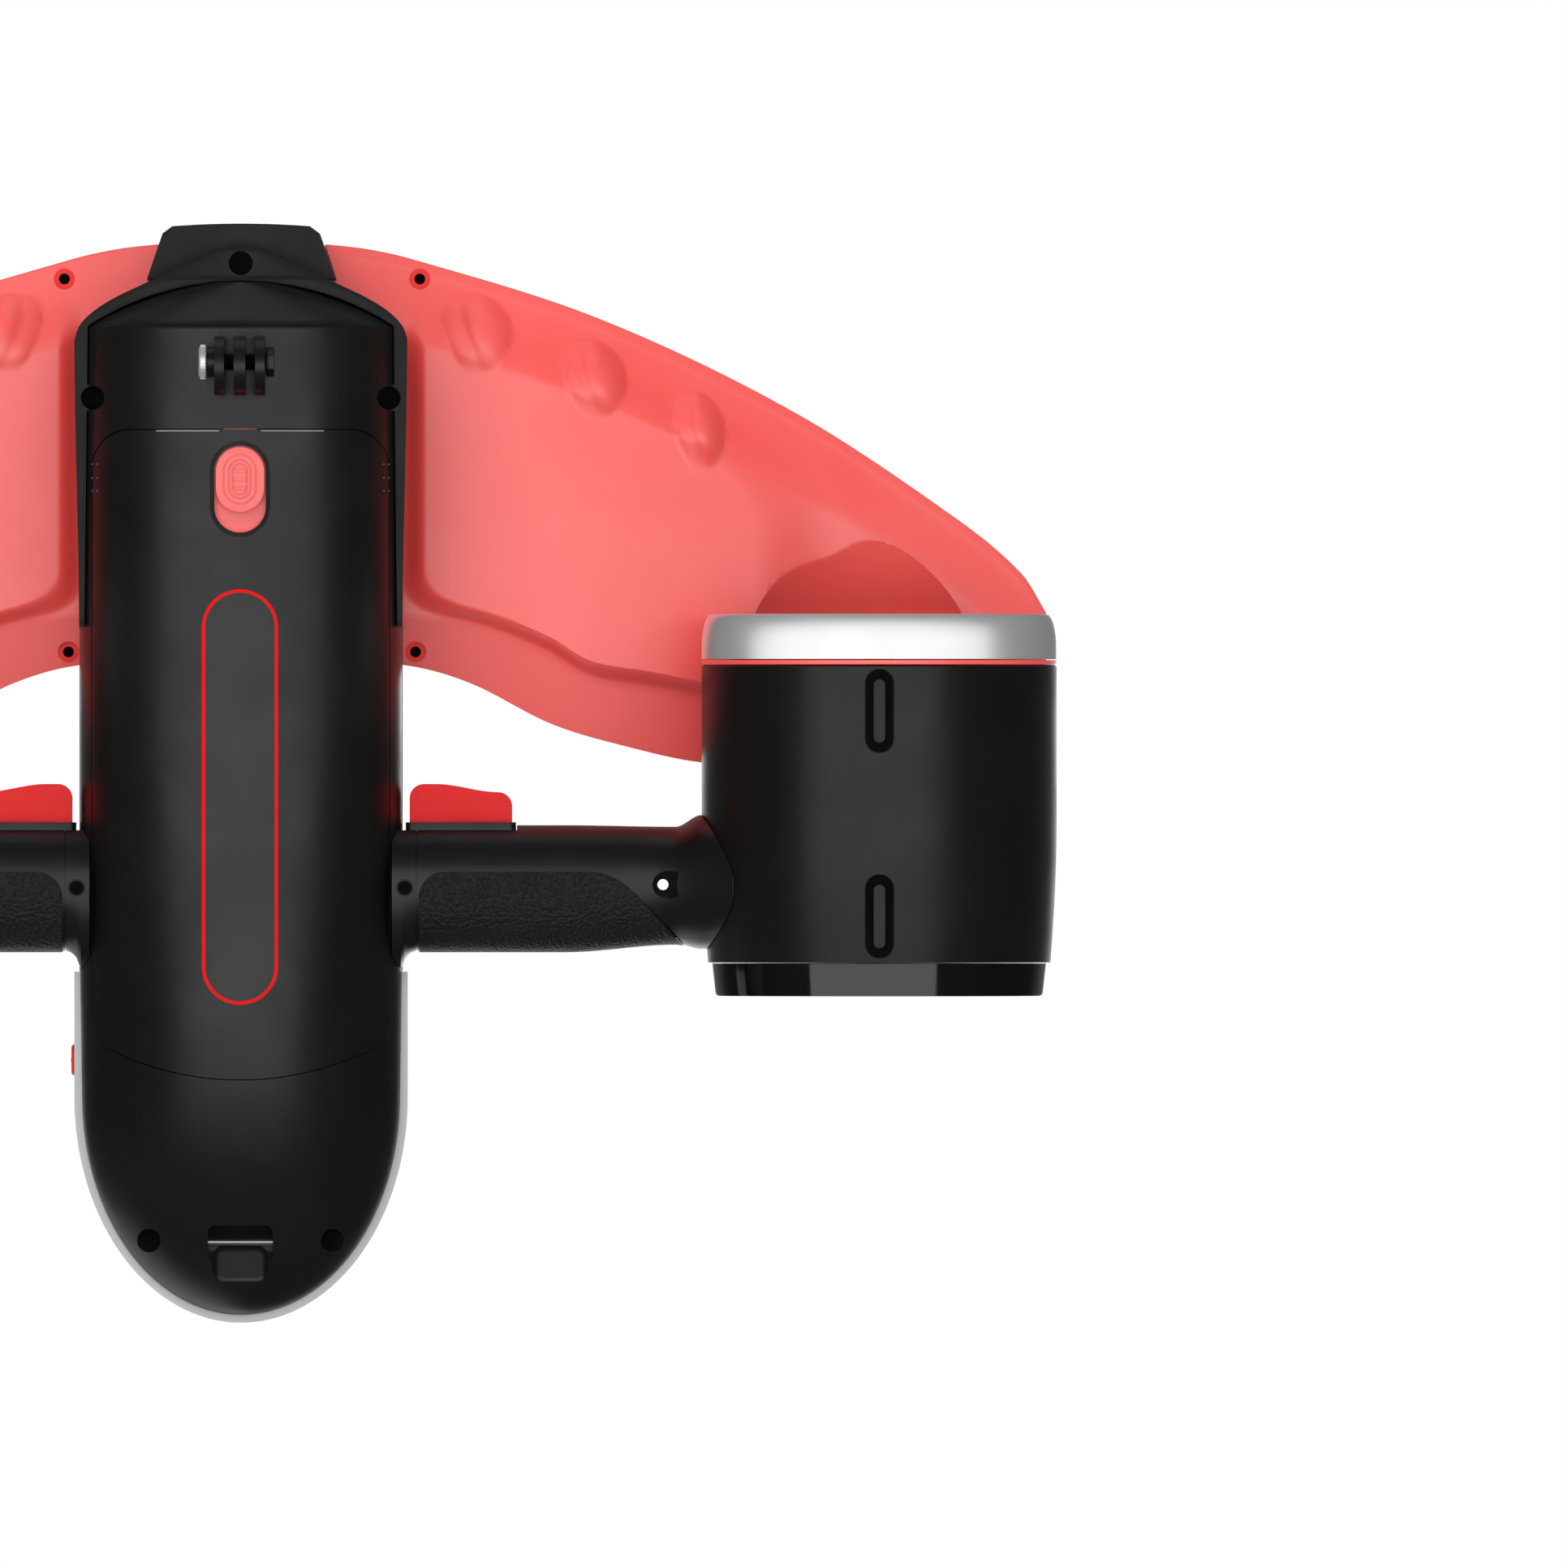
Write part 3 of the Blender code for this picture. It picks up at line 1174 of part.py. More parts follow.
def mount_box(grow, low):
    """The camera mount's base block."""
    half = MOUNT_BASE_LENGTH / 2 + grow
    return box_mesh((-MOUNT_BASE_HALF_WIDTH - grow, MOUNT_Y - half, low),
                    (MOUNT_BASE_HALF_WIDTH + grow, MOUNT_Y + half, MOUNT_BASE_Z + MOUNT_BASE_HEIGHT + grow))


def pin_z():
    """Height of the lanyard pin, a little inside the tail's skin."""
    return PART_Z - lower_depth(PIN_Y) + PIN_SINK


def lower_hull():
    """The belly shell, with the battery bay and the seats let into it."""
    made = piece("lower_hull", lower_form(), "black_satin")
    smooth(made)
    bay = plate_mesh([battery_outline(0.0)], -BELLY_DEPTH, BAY_Z)
    gasket = plate_mesh(gasket_outlines(GAP), BAY_Z - GASKET_HEIGHT, BAY_Z + GASKET_HEIGHT + GAP)
    contact = contact_box(GAP, BAY_Z - CONTACT_HEIGHT)
    notch = tongue_box(GAP, BATTERY_FRONT_Y - TONGUE_REACH - GAP, BATTERY_FRONT_Y + TONGUE_REACH,
                       -BELLY_DEPTH, TONGUE_Z + TONGUE_THICKNESS + GAP)
    scoop = cylinder_mesh(SCOOP_RADIUS, -SCOOP_HALF_WIDTH, SCOOP_HALF_WIDTH)
    reach = SCOOP_HALF_WIDTH + PIN_SEAT
    bore = cylinder_mesh(PIN_RADIUS + GAP, -reach, reach, PIN_STEPS)
    combine(made, "DIFFERENCE", cutter("bay", bay), cutter("gasket_groove", gasket),
            cutter("contact_seat", contact), cutter("tongue_notch", notch),
            cutter("mount_seat", mount_box(GAP, -BELLY_DEPTH)),
            cutter("lanyard_scoop", scoop, (0.0, PIN_Y + SCOOP_SETBACK, pin_z() - PIN_SINK), ALONG_X),
            cutter("pin_bore", bore, (0.0, PIN_Y, pin_z()), ALONG_X))
    return made


def lanyard_pin():
    """The steel pin across the tail recess."""
    reach = SCOOP_HALF_WIDTH + PIN_SEAT - GAP
    mesh = cylinder_mesh(PIN_RADIUS, -reach, reach, PIN_STEPS)
    return piece("lanyard_pin", mesh, "steel", (0.0, PIN_Y, pin_z()), ALONG_X)


def gasket_outlines(grow):
    """The gasket's outer and inner outline."""
    width = GASKET_WIDTH
    front, rear, corner = GASKET_FRONT_Y, GASKET_REAR_Y, GASKET_CORNER
    return [box_outline(GASKET_HALF_WIDTH, front, rear, corner + grow, grow),
            box_outline(GASKET_HALF_WIDTH - width, front + width, rear - width, corner - width - grow, -grow)]


def battery_gasket():
    """The seal in the ceiling of the bay."""
    mesh = plate_mesh(gasket_outlines(0.0), BAY_Z, BAY_Z + GASKET_HEIGHT)
    return piece("battery_gasket", mesh, "black_rubber")


def contact_box(grow, low):
    """The contact block's shape, standing up into the ceiling of the bay."""
    w, h = CONTACT_WIDTH / 2 + grow, CONTACT_LENGTH / 2 + grow
    return box_mesh((-w, CONTACT_Y - h, low), (w, CONTACT_Y + h, BAY_Z + CONTACT_HEIGHT + grow))


def contact_block():
    """The block of spring contacts above the battery."""
    return piece("contact_block", contact_box(0.0, BAY_Z), "steel")


def latch_stadium(grow):
    """The latch recess seen from below."""
    return stadium(0.0, LATCH_FRONT_Y + LATCH_LENGTH / 2, LATCH_WIDTH + 2 * grow, LATCH_LENGTH + 2 * grow)


def tongue_slot():
    """The passage for the latch tongue through the battery's front wall."""
    return tongue_box(GAP, BATTERY_FRONT_Y - LATCH_WIDTH, LATCH_FRONT_Y + LATCH_WIDTH / 2,
                      TONGUE_Z - GAP, TONGUE_Z + TONGUE_THICKNESS + GAP)


def battery_room():
    """Half width, front, rear and floor of the battery's cell room."""
    half = CELL_PITCH * (CELL_COLUMNS - 1) / 2 + CELL_RADIUS + GAP
    middle = (LID_FRONT_Y + LID_REAR_Y) / 2
    reach = CELL_LENGTH * CELL_ROWS / 2 + GAP
    floor = BATTERY_Z - LID_THICKNESS - 3 * GAP - 2 * CELL_RADIUS
    return half, middle - reach, middle + reach, floor


def battery_case():
    """The battery's shell: its belly is flush with the hull, and its top is open for the cells and lid."""
    made = piece("battery_case", lower_form(), "black_satin")
    smooth(made)
    limit = plate_mesh([battery_outline(-GAP)], -BELLY_DEPTH, BATTERY_Z)
    combine(made, "INTERSECT", cutter("battery_limit", limit))
    half, front, rear, floor = battery_room()
    room = box_mesh((-half, front, floor), (half, rear, PART_Z))
    lid = plate_mesh([box_outline(LID_HALF_WIDTH, LID_FRONT_Y, LID_REAR_Y, LID_CORNER, GAP)],
                     BATTERY_Z - LID_THICKNESS - GAP, PART_Z)
    recess = plate_mesh([latch_stadium(0.0)], -BELLY_DEPTH, BELLY_Z + LATCH_DEPTH)
    combine(made, "DIFFERENCE", cutter("cell_room", room), cutter("lid_seat", lid),
            cutter("latch_recess", recess), cutter("tongue_slot", tongue_slot()))
    return made


def battery_lid():
    """The plate that closes the battery."""
    outline = box_outline(LID_HALF_WIDTH, LID_FRONT_Y, LID_REAR_Y, LID_CORNER, 0.0)
    return piece("battery_lid", plate_mesh([outline], BATTERY_Z - LID_THICKNESS, BATTERY_Z), "black_satin")


def cell_outline(centre_z):
    """Round cells side by side, seen along the battery."""
    dip = math.acos(CELL_PITCH / 2 / CELL_RADIUS)
    last = CELL_COLUMNS - 1
    points = []
    for top in (True, False):
        for k in range(CELL_COLUMNS) if top else range(last, -1, -1):
            x = CELL_PITCH * (last / 2 - k)
            start, stop = (0.0 if k == 0 else dip), (math.pi if k == last else math.pi - dip)
            arc = spread(start, stop, 7)
            if not top:
                arc = [2 * math.pi - a for a in reversed(arc)]
            for a in arc[:-1]:
                points.append((x + CELL_RADIUS * math.cos(a), centre_z + CELL_RADIUS * math.sin(a)))
    return points


def battery_cells():
    """The cells, welded into one pack."""
    half, front, rear, floor = battery_room()
    mesh = plate_mesh([cell_outline(floor + GAP + CELL_RADIUS)], GAP - rear, -front - GAP)
    mesh.transform(Matrix.Rotation(math.pi / 2, 4, "X"))
    return piece("battery_cells", mesh, "cell_blue")


def latch_tray():
    """The red tray that lines the latch recess."""
    low = BELLY_Z + PAD_SINK
    made = piece("latch_tray", plate_mesh([latch_stadium(-GAP)], low, LATCH_TOP_Z), "bright_red")
    hollow = plate_mesh([latch_stadium(-GAP - LATCH_WALL)], low - LATCH_DEPTH, LATCH_TOP_Z - LATCH_FLOOR)
    combine(made, "DIFFERENCE", cutter("tray_hollow", hollow), cutter("tray_slot", tongue_slot()))
    return made


def latch_slider():
    """The red slider, with the tongue that holds the battery in."""
    side = 2 * GAP + LATCH_WALL
    front = LATCH_FRONT_Y + side
    outline = stadium(0.0, front + PAD_LENGTH / 2, LATCH_WIDTH - 2 * side, PAD_LENGTH)
    mesh = plate_mesh([outline], BELLY_Z + PAD_SINK, LATCH_TOP_Z - LATCH_FLOOR - GAP)
    made = piece("latch_slider", mesh, "bright_red")
    tongue = tongue_box(0.0, BATTERY_FRONT_Y - TONGUE_REACH, front + PAD_LENGTH / 3,
                        TONGUE_Z, TONGUE_Z + TONGUE_THICKNESS)
    combine(made, "UNION", cutter("tongue", tongue))
    return made


def control_board():
    """The electronics, on posts above the battery bay."""
    low = DECK_Z + BOARD_POST_HEIGHT
    w, h = BOARD_WIDTH / 2, BOARD_LENGTH / 2
    mesh = box_mesh((-w, BOARD_Y - h, low), (w, BOARD_Y + h, low + BOARD_THICKNESS))
    made = piece("control_board", mesh, "board_green")
    inset = 2 * BOARD_POST_RADIUS
    for i, (sx, sy) in enumerate(((1, 1), (1, -1), (-1, 1), (-1, -1))):
        post = cylinder_mesh(BOARD_POST_RADIUS, DECK_Z, low + BOARD_THICKNESS / 2, PIN_STEPS)
        place = (sx * (w - inset), BOARD_Y + sy * (h - inset), 0.0)
        combine(made, "UNION", cutter(f"board_post_{i}", post, place))
    return made


def finger_mesh(first, last):
    """One finger of the camera mount, round at its lower end, between two places across the body."""
    outline = [(MOUNT_Y + FINGER_RADIUS, MOUNT_BASE_Z + MOUNT_BASE_HEIGHT / 4),
               (MOUNT_Y - FINGER_RADIUS, MOUNT_BASE_Z + MOUNT_BASE_HEIGHT / 4)]
    for angle in spread(math.pi, 2 * math.pi, 9):
        outline.append((MOUNT_Y + FINGER_RADIUS * math.cos(angle), SCREW_Z + FINGER_RADIUS * math.sin(angle)))
    mesh = plate_mesh([outline], first, last)
    mesh.transform(Matrix(((0, 0, 1, 0), (1, 0, 0, 0), (0, 1, 0, 0), (0, 0, 0, 1))))
    return mesh


def camera_mount():
    """The three-finger camera mount on its base block."""
    made = piece("camera_mount", mount_box(0.0, MOUNT_BASE_Z), "black_satin")
    edge = FINGERS_HALF_WIDTH - FINGER_WIDTH
    middle = MIDDLE_FINGER_WIDTH / 2
    spans = ((-FINGERS_HALF_WIDTH, -edge), (-middle, middle), (edge, FINGERS_HALF_WIDTH))
    for i, (first, last) in enumerate(spans):
        combine(made, "UNION", cutter(f"finger_{i}", finger_mesh(first, last)))
    place = (0.0, MOUNT_Y, SCREW_Z)
    outer = -FINGERS_HALF_WIDTH
    collar = cylinder_mesh(COLLAR_RADIUS, outer - COLLAR_LENGTH, outer + FINGER_WIDTH / 2)
    hole = cylinder_mesh(SCREW_RADIUS + GAP, -2 * FINGERS_HALF_WIDTH, 2 * FINGERS_HALF_WIDTH)
    combine(made, "UNION", cutter("screw_collar", collar, place, ALONG_X))
    combine(made, "DIFFERENCE", cutter("screw_hole", hole, place, ALONG_X))
    return made


def mount_screw():
    """The thumb screw across the camera mount."""
    head = -FINGERS_HALF_WIDTH - COLLAR_LENGTH - GAP
    tip = FINGERS_HALF_WIDTH + NUT_LENGTH
    end = head - KNOB_LENGTH
    profile = [(0.0, end), (KNOB_RADIUS, end), (KNOB_RADIUS, head), (SCREW_RADIUS, head), (SCREW_RADIUS, tip),
               (0.0, tip)]
    made = piece("mount_screw", profile_mesh(profile, False), "steel", (0.0, MOUNT_Y, SCREW_Z), ALONG_X)
    add_screw(made, SMALL_STEPS)
    return made


def mount_nut():
    """The hexagon nut at the other end of the screw."""
    first = FINGERS_HALF_WIDTH + GAP
    mesh = cylinder_mesh(NUT_RADIUS, first, first + NUT_LENGTH, 6)
    made = piece("mount_nut", mesh, "steel", (0.0, MOUNT_Y, SCREW_Z), ALONG_X)
    bore = cylinder_mesh(SCREW_RADIUS + GAP, -NUT_LENGTH, first + 2 * NUT_LENGTH)
    combine(made, "DIFFERENCE", cutter("nut_bore", bore, (0.0, MOUNT_Y, SCREW_Z), ALONG_X))
    return made


def wing_lift(x):
    """Height of the wing's flange level, which climbs from the body to the ducts."""
    over_duct = AXIS_Z + SCOOP_TIP_RADIUS
    return WING_Z + (over_duct - WING_Z) * ease(side_share(x, THRUSTER_X - 2 * DUCT_RADIUS, THRUSTER_X))


def bump(across, share):
    """A knuckle's height, from 0 to 1: an egg, blunt and steep in front and drawn out behind."""
    if not 0.0 < share < 1.0:
        return 0.0
    width = math.sin(math.pi * share ** KNUCKLE_BLUNTNESS) ** KNUCKLE_BLUNTNESS
    if share < KNUCKLE_CREST:
        profile = math.sin(share / KNUCKLE_CREST * math.pi / 2)
    else:
        profile = 1 - ease((share - KNUCKLE_CREST) / (1 - KNUCKLE_CREST))
    return profile * max(0.0, 1 - (across / width) ** 2)


def knuckles(x, y, front):
    """Height of the three knuckles behind the leading edge, each with a slim lobe on its inner side."""
    height = 0.0
    for place, half_width, setback in KNUCKLES:
        share = (y - front - setback) / KNUCKLE_LENGTH
        across = (x - place * WING_HALF_SPAN) / half_width
        lobe = SIDE_LOBE_HEIGHT * bump((across + SIDE_LOBE_OFFSET) / SIDE_LOBE_WIDTH, share)
        height = max(height, bump(across, share), lobe)
    return height * KNUCKLE_HEIGHT


def pillow(x, y, front):
    """How far the raised panel and its knuckles stand below the flange level."""
    rear = along(PILLOW_REAR, x / WING_HALF_SPAN) + PILLOW_EDGE
    behind = y - front - PILLOW_SETBACK
    outer = THRUSTER_X - PILLOW_OUTER_MARGIN
    crisp = ease(soft_min(x - PILLOW_INNER_X, rear - y, PILLOW_CORNER) / PILLOW_EDGE)
    soft = ease(soft_min(behind, outer - x, PILLOW_OUTER_CORNER) / PILLOW_SHOULDER)
    panel = PILLOW_FRONT_DEPTH + (PILLOW_DEPTH - PILLOW_FRONT_DEPTH) * ease(behind / PILLOW_SWELL)
    return crisp * (panel * soft + knuckles(x, y, front))


def wing_under(x, y, front):
    """Height of the wing's underside."""
    nose = WING_NOSE_RISE * (1 - ease((y - front) / WING_NOSE_LENGTH))
    return wing_lift(x) + nose - pillow(x, y, front)


def wing_over(x, y, front, rear):
    """Height of the wing's upper side: a crown that fades outwards, and a canopy over each duct."""
    share = side_share(y, front, rear)
    edge = wing_lift(x) + WING_NOSE_RISE * (1 - share) + WING_EDGE * share
    fade = (1 - WING_CROWN_FADE * ease(x / THRUSTER_X)) * ellipse_end(x, THRUSTER_X, WING_HALF_SPAN)
    crown = WING_CROWN * fade
    arch = max(0.0, math.sin(math.pi * share ** WING_CROWN_FORWARD))
    plain = edge + crown * arch ** WING_CROWN_FULLNESS
    room = (DUCT_RADIUS + WING_DUCT_COVER) ** 2 - (x - THRUSTER_X) ** 2
    canopy = AXIS_Z + math.sqrt(max(0.0, room))
    canopy = edge + (canopy - edge) * ease(side_share(y, front, INTAKE_Y))
    least = wing_under(x, y, front) + WING_EDGE * ease(share / WING_EDGE_REACH)
    return max(least, -soft_min(-plain, -canopy, WING_DUCT_COVER))


def wing_ring(x):
    """The wing's section at one station: over the top from the rear, then back along the underside."""
    side = abs(x)
    place = side / WING_HALF_SPAN
    front, rear = along(LEADING_EDGE, place), along(TRAILING_EDGE, place)
    step = min(along(PILLOW_REAR, place), rear - 2 * PILLOW_EDGE)
    knuckle_end = front + min(KNUCKLE_REACH, (step - front) / 2)
    ring = []
    for share in reversed(spread(0.0, 1.0, WING_TOP_POINTS)):
        y = front + (rear - front) * share ** WING_NOSE_CROWDING
        ring.append((x, y, wing_over(side, y, front, rear)))
    under = spread(front, knuckle_end, WING_FRONT_POINTS)[1:]
    under += spread(knuckle_end, step, WING_PANEL_POINTS)[1:] + spread(step, step + PILLOW_EDGE, 3)[1:]
    under += spread(step + PILLOW_EDGE, rear, 3)[1:]
    ring += [(x, y, wing_under(side, y, front)) for y in under]
    return ring


def wing_stations():
    """Stations from the middle to the tip, close together at the panel's step, the knuckles and the tip."""
    half = spread(0.0, PILLOW_INNER_X, 4)[1:] + spread(PILLOW_INNER_X, PILLOW_INNER_X + PILLOW_EDGE, 3)[1:]
    for place, half_width, _ in KNUCKLES:
        centre = place * WING_HALF_SPAN
        half.append(centre - SIDE_LOBE_OFFSET * half_width)
        half += spread(centre - half_width, centre + half_width, 5)
    half += spread(half[-1], THRUSTER_X - PILLOW_OUTER_MARGIN, 6)[1:]
    half += spread(half[-1], THRUSTER_X + DUCT_RADIUS / 2, 6)[1:]
    half += [half[-1] + (WING_HALF_SPAN - half[-1]) * math.sin(a) for a in spread(0.0, math.pi / 2, 6)[1:]]
    return [-x for x in reversed(half)] + [0.0] + half


def wing(cap_clearance, thruster_rooms):
    """The moulded wing across the body and over both ducts."""
    made = piece("wing", loft_mesh([wing_ring(x) for x in wing_stations()]), "coral_plastic")
    smooth(made)
    combine(made, "DIFFERENCE", cap_clearance, *thruster_rooms)
    return made


def main():
    """Build the scooter."""
    clear_scene()
    rooms = {side: thruster_clearance(side * THRUSTER_X) for side in (1, -1)}
    body_room = body_clearance()
    cap_room = nose_cap()
    lower_hull()
    upper_hull(cap_room)
    tail_cover()
    front_bezel()
    wing(cap_room, list(rooms.values()))
    display_window()
    power_button()
    lanyard_pin()
    camera_mount()
    mount_screw()
    mount_nut()
    battery_case()
    battery_lid()
    battery_cells()
    battery_gasket()
    contact_block()
    latch_tray()
    latch_slider()
    control_board()
    both_sides([duct_shell, intake_ring, accent_ring, nozzle_ring, intake_grille, propeller, spinner,
                prop_shaft, motor_pod, shaft_seal, front_bearing, motor_stator, motor_rotor])
    both_sides([lambda: foot("front"), lambda: foot("rear"), lambda: handle(body_room, rooms[1]),
                grip_pad, trigger, trigger_bezel, trigger_spring])


main()
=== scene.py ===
"""Looks of a twin-duct underwater scooter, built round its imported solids.

Metres, +Z up. The nose points along -Y and the rider's left is +X.
The camera looks straight up at the underside.
"""

import logging
from collections.abc import Callable, Iterable, Sequence
from dataclasses import dataclass, replace
from enum import Enum, StrEnum
from functools import cache
from math import copysign, cos, pi, radians, sin, sqrt

import bmesh
import bpy
from bpy.types import Material, Mesh, Node, NodeSocket, NodeTree, Object
from mathutils import Matrix, Vector


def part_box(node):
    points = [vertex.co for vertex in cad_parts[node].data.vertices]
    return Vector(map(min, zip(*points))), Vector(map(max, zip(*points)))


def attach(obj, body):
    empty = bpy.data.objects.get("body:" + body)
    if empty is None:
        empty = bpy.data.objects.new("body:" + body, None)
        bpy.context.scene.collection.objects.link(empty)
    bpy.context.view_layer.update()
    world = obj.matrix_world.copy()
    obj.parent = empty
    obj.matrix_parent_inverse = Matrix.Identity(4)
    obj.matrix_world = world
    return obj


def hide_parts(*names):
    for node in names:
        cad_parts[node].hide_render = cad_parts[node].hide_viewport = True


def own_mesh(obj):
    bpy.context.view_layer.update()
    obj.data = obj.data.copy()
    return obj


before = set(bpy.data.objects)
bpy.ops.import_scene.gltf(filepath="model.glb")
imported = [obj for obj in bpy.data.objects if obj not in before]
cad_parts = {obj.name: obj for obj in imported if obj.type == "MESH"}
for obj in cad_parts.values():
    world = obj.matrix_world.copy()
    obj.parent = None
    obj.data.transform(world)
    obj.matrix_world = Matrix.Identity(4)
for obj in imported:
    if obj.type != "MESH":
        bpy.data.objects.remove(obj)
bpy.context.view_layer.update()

LOG = logging.getLogger("scooter")
QUARTER = pi / 2
ROUND = 2 * pi
SHARP_EDGE = 32.0
CRISP_EDGE = 30.0
FINE_ROUNDING = 0.0003
CLEAR = 0.01

Point = tuple[float, float, float]
Flat = tuple[float, float]
Outline = list[Flat]
Colour = tuple[float, float, float]
Sockets = dict[str, NodeSocket]


class Side(Enum):
    """The two sides of the scooter, by the sign of X."""

    LEFT = 1
    RIGHT = -1

    @property
    def tag(self) -> str:
        """The ending of this side's node and body names."""
        return self.name.lower()


class Body(StrEnum):
    """The moving bodies that pieces ride on."""

    FRAME = "frame"
    BATTERY = "battery"
    LATCH = "latch"
    BUTTON = "power_button"
    SCREW = "mount_screw"
    ROTOR = "rotor"
    TRIGGER = "trigger"

    def of(self, side: Side) -> str:
        """The name of this body on one side; the frame is one body."""
        return str(self) if self is Body.FRAME else f"{self}_{side.tag}"


class Skin(Enum):
    """How a finish looks close up."""

    MOULDED = "moulded_skin"
    PEBBLED = "pebble_skin"
    TURNED = "turned_skin"


class Join(Enum):
    """The ways in which one form changes another."""

    CUT = "DIFFERENCE"
    ADD = "UNION"
    LIMIT = "INTERSECT"


def spread(first: float, last: float, count: int) -> list[float]:
    """Evenly spaced values, with both ends."""
    return [first + (last - first) * i / (count - 1) for i in range(count)]


def ease(value: float) -> float:
    """A smooth step from 0 to 1."""
    value = min(1.0, max(0.0, value))
    return value * value * (3 - 2 * value)


def part_way(value: float, first: float, last: float) -> float:
    """How far a value lies between two others, from 0 to 1."""
    return min(1.0, max(0.0, (value - first) / (last - first)))


def between(first: float, last: float, share: float) -> float:
    """The value at a share of the way between two others."""
    return first + (last - first) * share


def soft_min(a: float, b: float, width: float) -> float:
    """The smaller of two values, rounded over a width where they meet."""
    mix = max(0.0, width - abs(a - b)) / width
    return min(a, b) - mix * mix * width / 4


def ellipse_end(value: float, centre: float, end: float) -> float:
    """The share of full size left where an elliptical end closes."""
    return sqrt(max(0.0, 1.0 - part_way(value, centre, end) ** 2))


def along(table: Sequence[Flat], place: float) -> float:
    """A smooth curve through points, read at one place.

    Args:
        table: (place, value) points in order.
        place: Where the curve is read.

    Returns:
        The curve's value there.
    """
    index = next((i for i in range(len(table) - 2) if place <= table[i + 1][0]), len(table) - 2)
    (p0, v0), (p1, v1) = table[index], table[index + 1]
    run = p1 - p0
    before = after = (v1 - v0) / run
    if index > 0:
        before = (v1 - table[index - 1][1]) / (p1 - table[index - 1][0])
    if index + 2 < len(table):
        after = (table[index + 2][1] - v0) / (table[index + 2][0] - p0)
    t = part_way(place, p0, p1)
    level = v0 * (1 + 2 * t) * (1 - t) ** 2 + v1 * t * t * (3 - 2 * t)
    return level + run * (before * t * (1 - t) ** 2 - after * t * t * (1 - t))


def arc(centre: Flat, radii: Flat, first: float, last: float, count: int) -> Outline:
    """Points of an elliptical arc.

    Args:
        centre: The ellipse's centre.
        radii: Its two half widths; a negative one mirrors it.
        first: The first angle.
        last: The last angle.
        count: How many points.

    Returns:
        The points in order.
    """
    return [(centre[0] + radii[0] * cos(a), centre[1] + radii[1] * sin(a))
            for a in spread(first, last, count)]


def stadium(x: float, y: float, width: float, length: float, steps: int = 20) -> Outline:
    """An outline of two half circles joined along Y.

    Args:
        x: Middle of the outline across.
        y: Middle of the outline along Y.
        width: Its width.
        length: Its whole length.
        steps: Facets of each half circle.

    Returns:
        The outline's points.
    """
    radii = (width / 2, width / 2)
    reach = (length - width) / 2
    return arc((x, y + reach), radii, 0.0, pi, steps + 1) + arc((x, y - reach), radii, pi, ROUND, steps + 1)


def rounded_box(low: Flat, high: Flat, radius: float, steps: int = 10) -> Outline:
    """A rectangle's outline with round corners.

    Args:
        low: Its lowest corner.
        high: Its highest corner.
        radius: The corners' radius.
        steps: Facets of each corner.

    Returns:
        The outline's points.
    """
    points = []
    for corner in range(4):
        x = high[0] - radius if corner in (0, 3) else low[0] + radius
        y = high[1] - radius if corner in (0, 1) else low[1] + radius
        points += arc((x, y), (radius, radius), corner * QUARTER, (corner + 1) * QUARTER, steps + 1)
    return points


def mirrored(half: Outline) -> Outline:
    """An outline's half on +X with its mirror image, which runs back on -X."""
    return half + [(-x, y) for x, y in reversed(half)]


def half_section(half_width: float, rise: float, power: float, count: int, peak: float = 0.0) -> Outline:
    """Half a superellipse, from +X over to -X.

    Args:
        half_width: Its half width.
        rise: Its height, negative for one that hangs down.
        power: 2 for an ellipse, more for a squarer one.
        count: How many points.
        peak: How far it is drawn towards a parabola, up to 1.

    Returns:
        Points (x, z).
    """
    points = []
    for angle in spread(0.0, pi, count):
        c, s = cos(angle), max(0.0, sin(angle))
        across, tall = abs(c) ** (2 / power), s ** (2 / power)
        points.append((copysign(across, c) * half_width, rise * (tall + peak * (1 - across ** 2 - tall))))
    return points


def station(section: Outline, y: float, z: float) -> list[Point]:
    """A section of (x, z) points put at one place along the body."""
    return [(x, y, z + rise) for x, rise in section]


def linked(name: str, data: bpy.types.ID) -> Object:
    """A new object in the scene.

    Args:
        name: Its name.
        data: What it shows.

    Returns:
        The object.
    """
    made = bpy.data.objects.new(name, data)
    bpy.context.scene.collection.objects.link(made)
    return made


def evaluated_mesh(data: bpy.types.ID, set_up: Callable[[Object], None] | None = None) -> Mesh:
    """A plain mesh of some data with modifiers applied.

    Args:
        data: A mesh or a curve.
        set_up: Adds the modifiers to the object that holds the data.

    Returns:
        A new mesh.
    """
    holder = linked("holder", data)
    if set_up is not None:
        set_up(holder)
    bpy.context.view_layer.update()
    graph = bpy.context.evaluated_depsgraph_get()
    mesh = bpy.data.meshes.new_from_object(holder.evaluated_get(graph))
    bpy.data.objects.remove(holder)
    return mesh


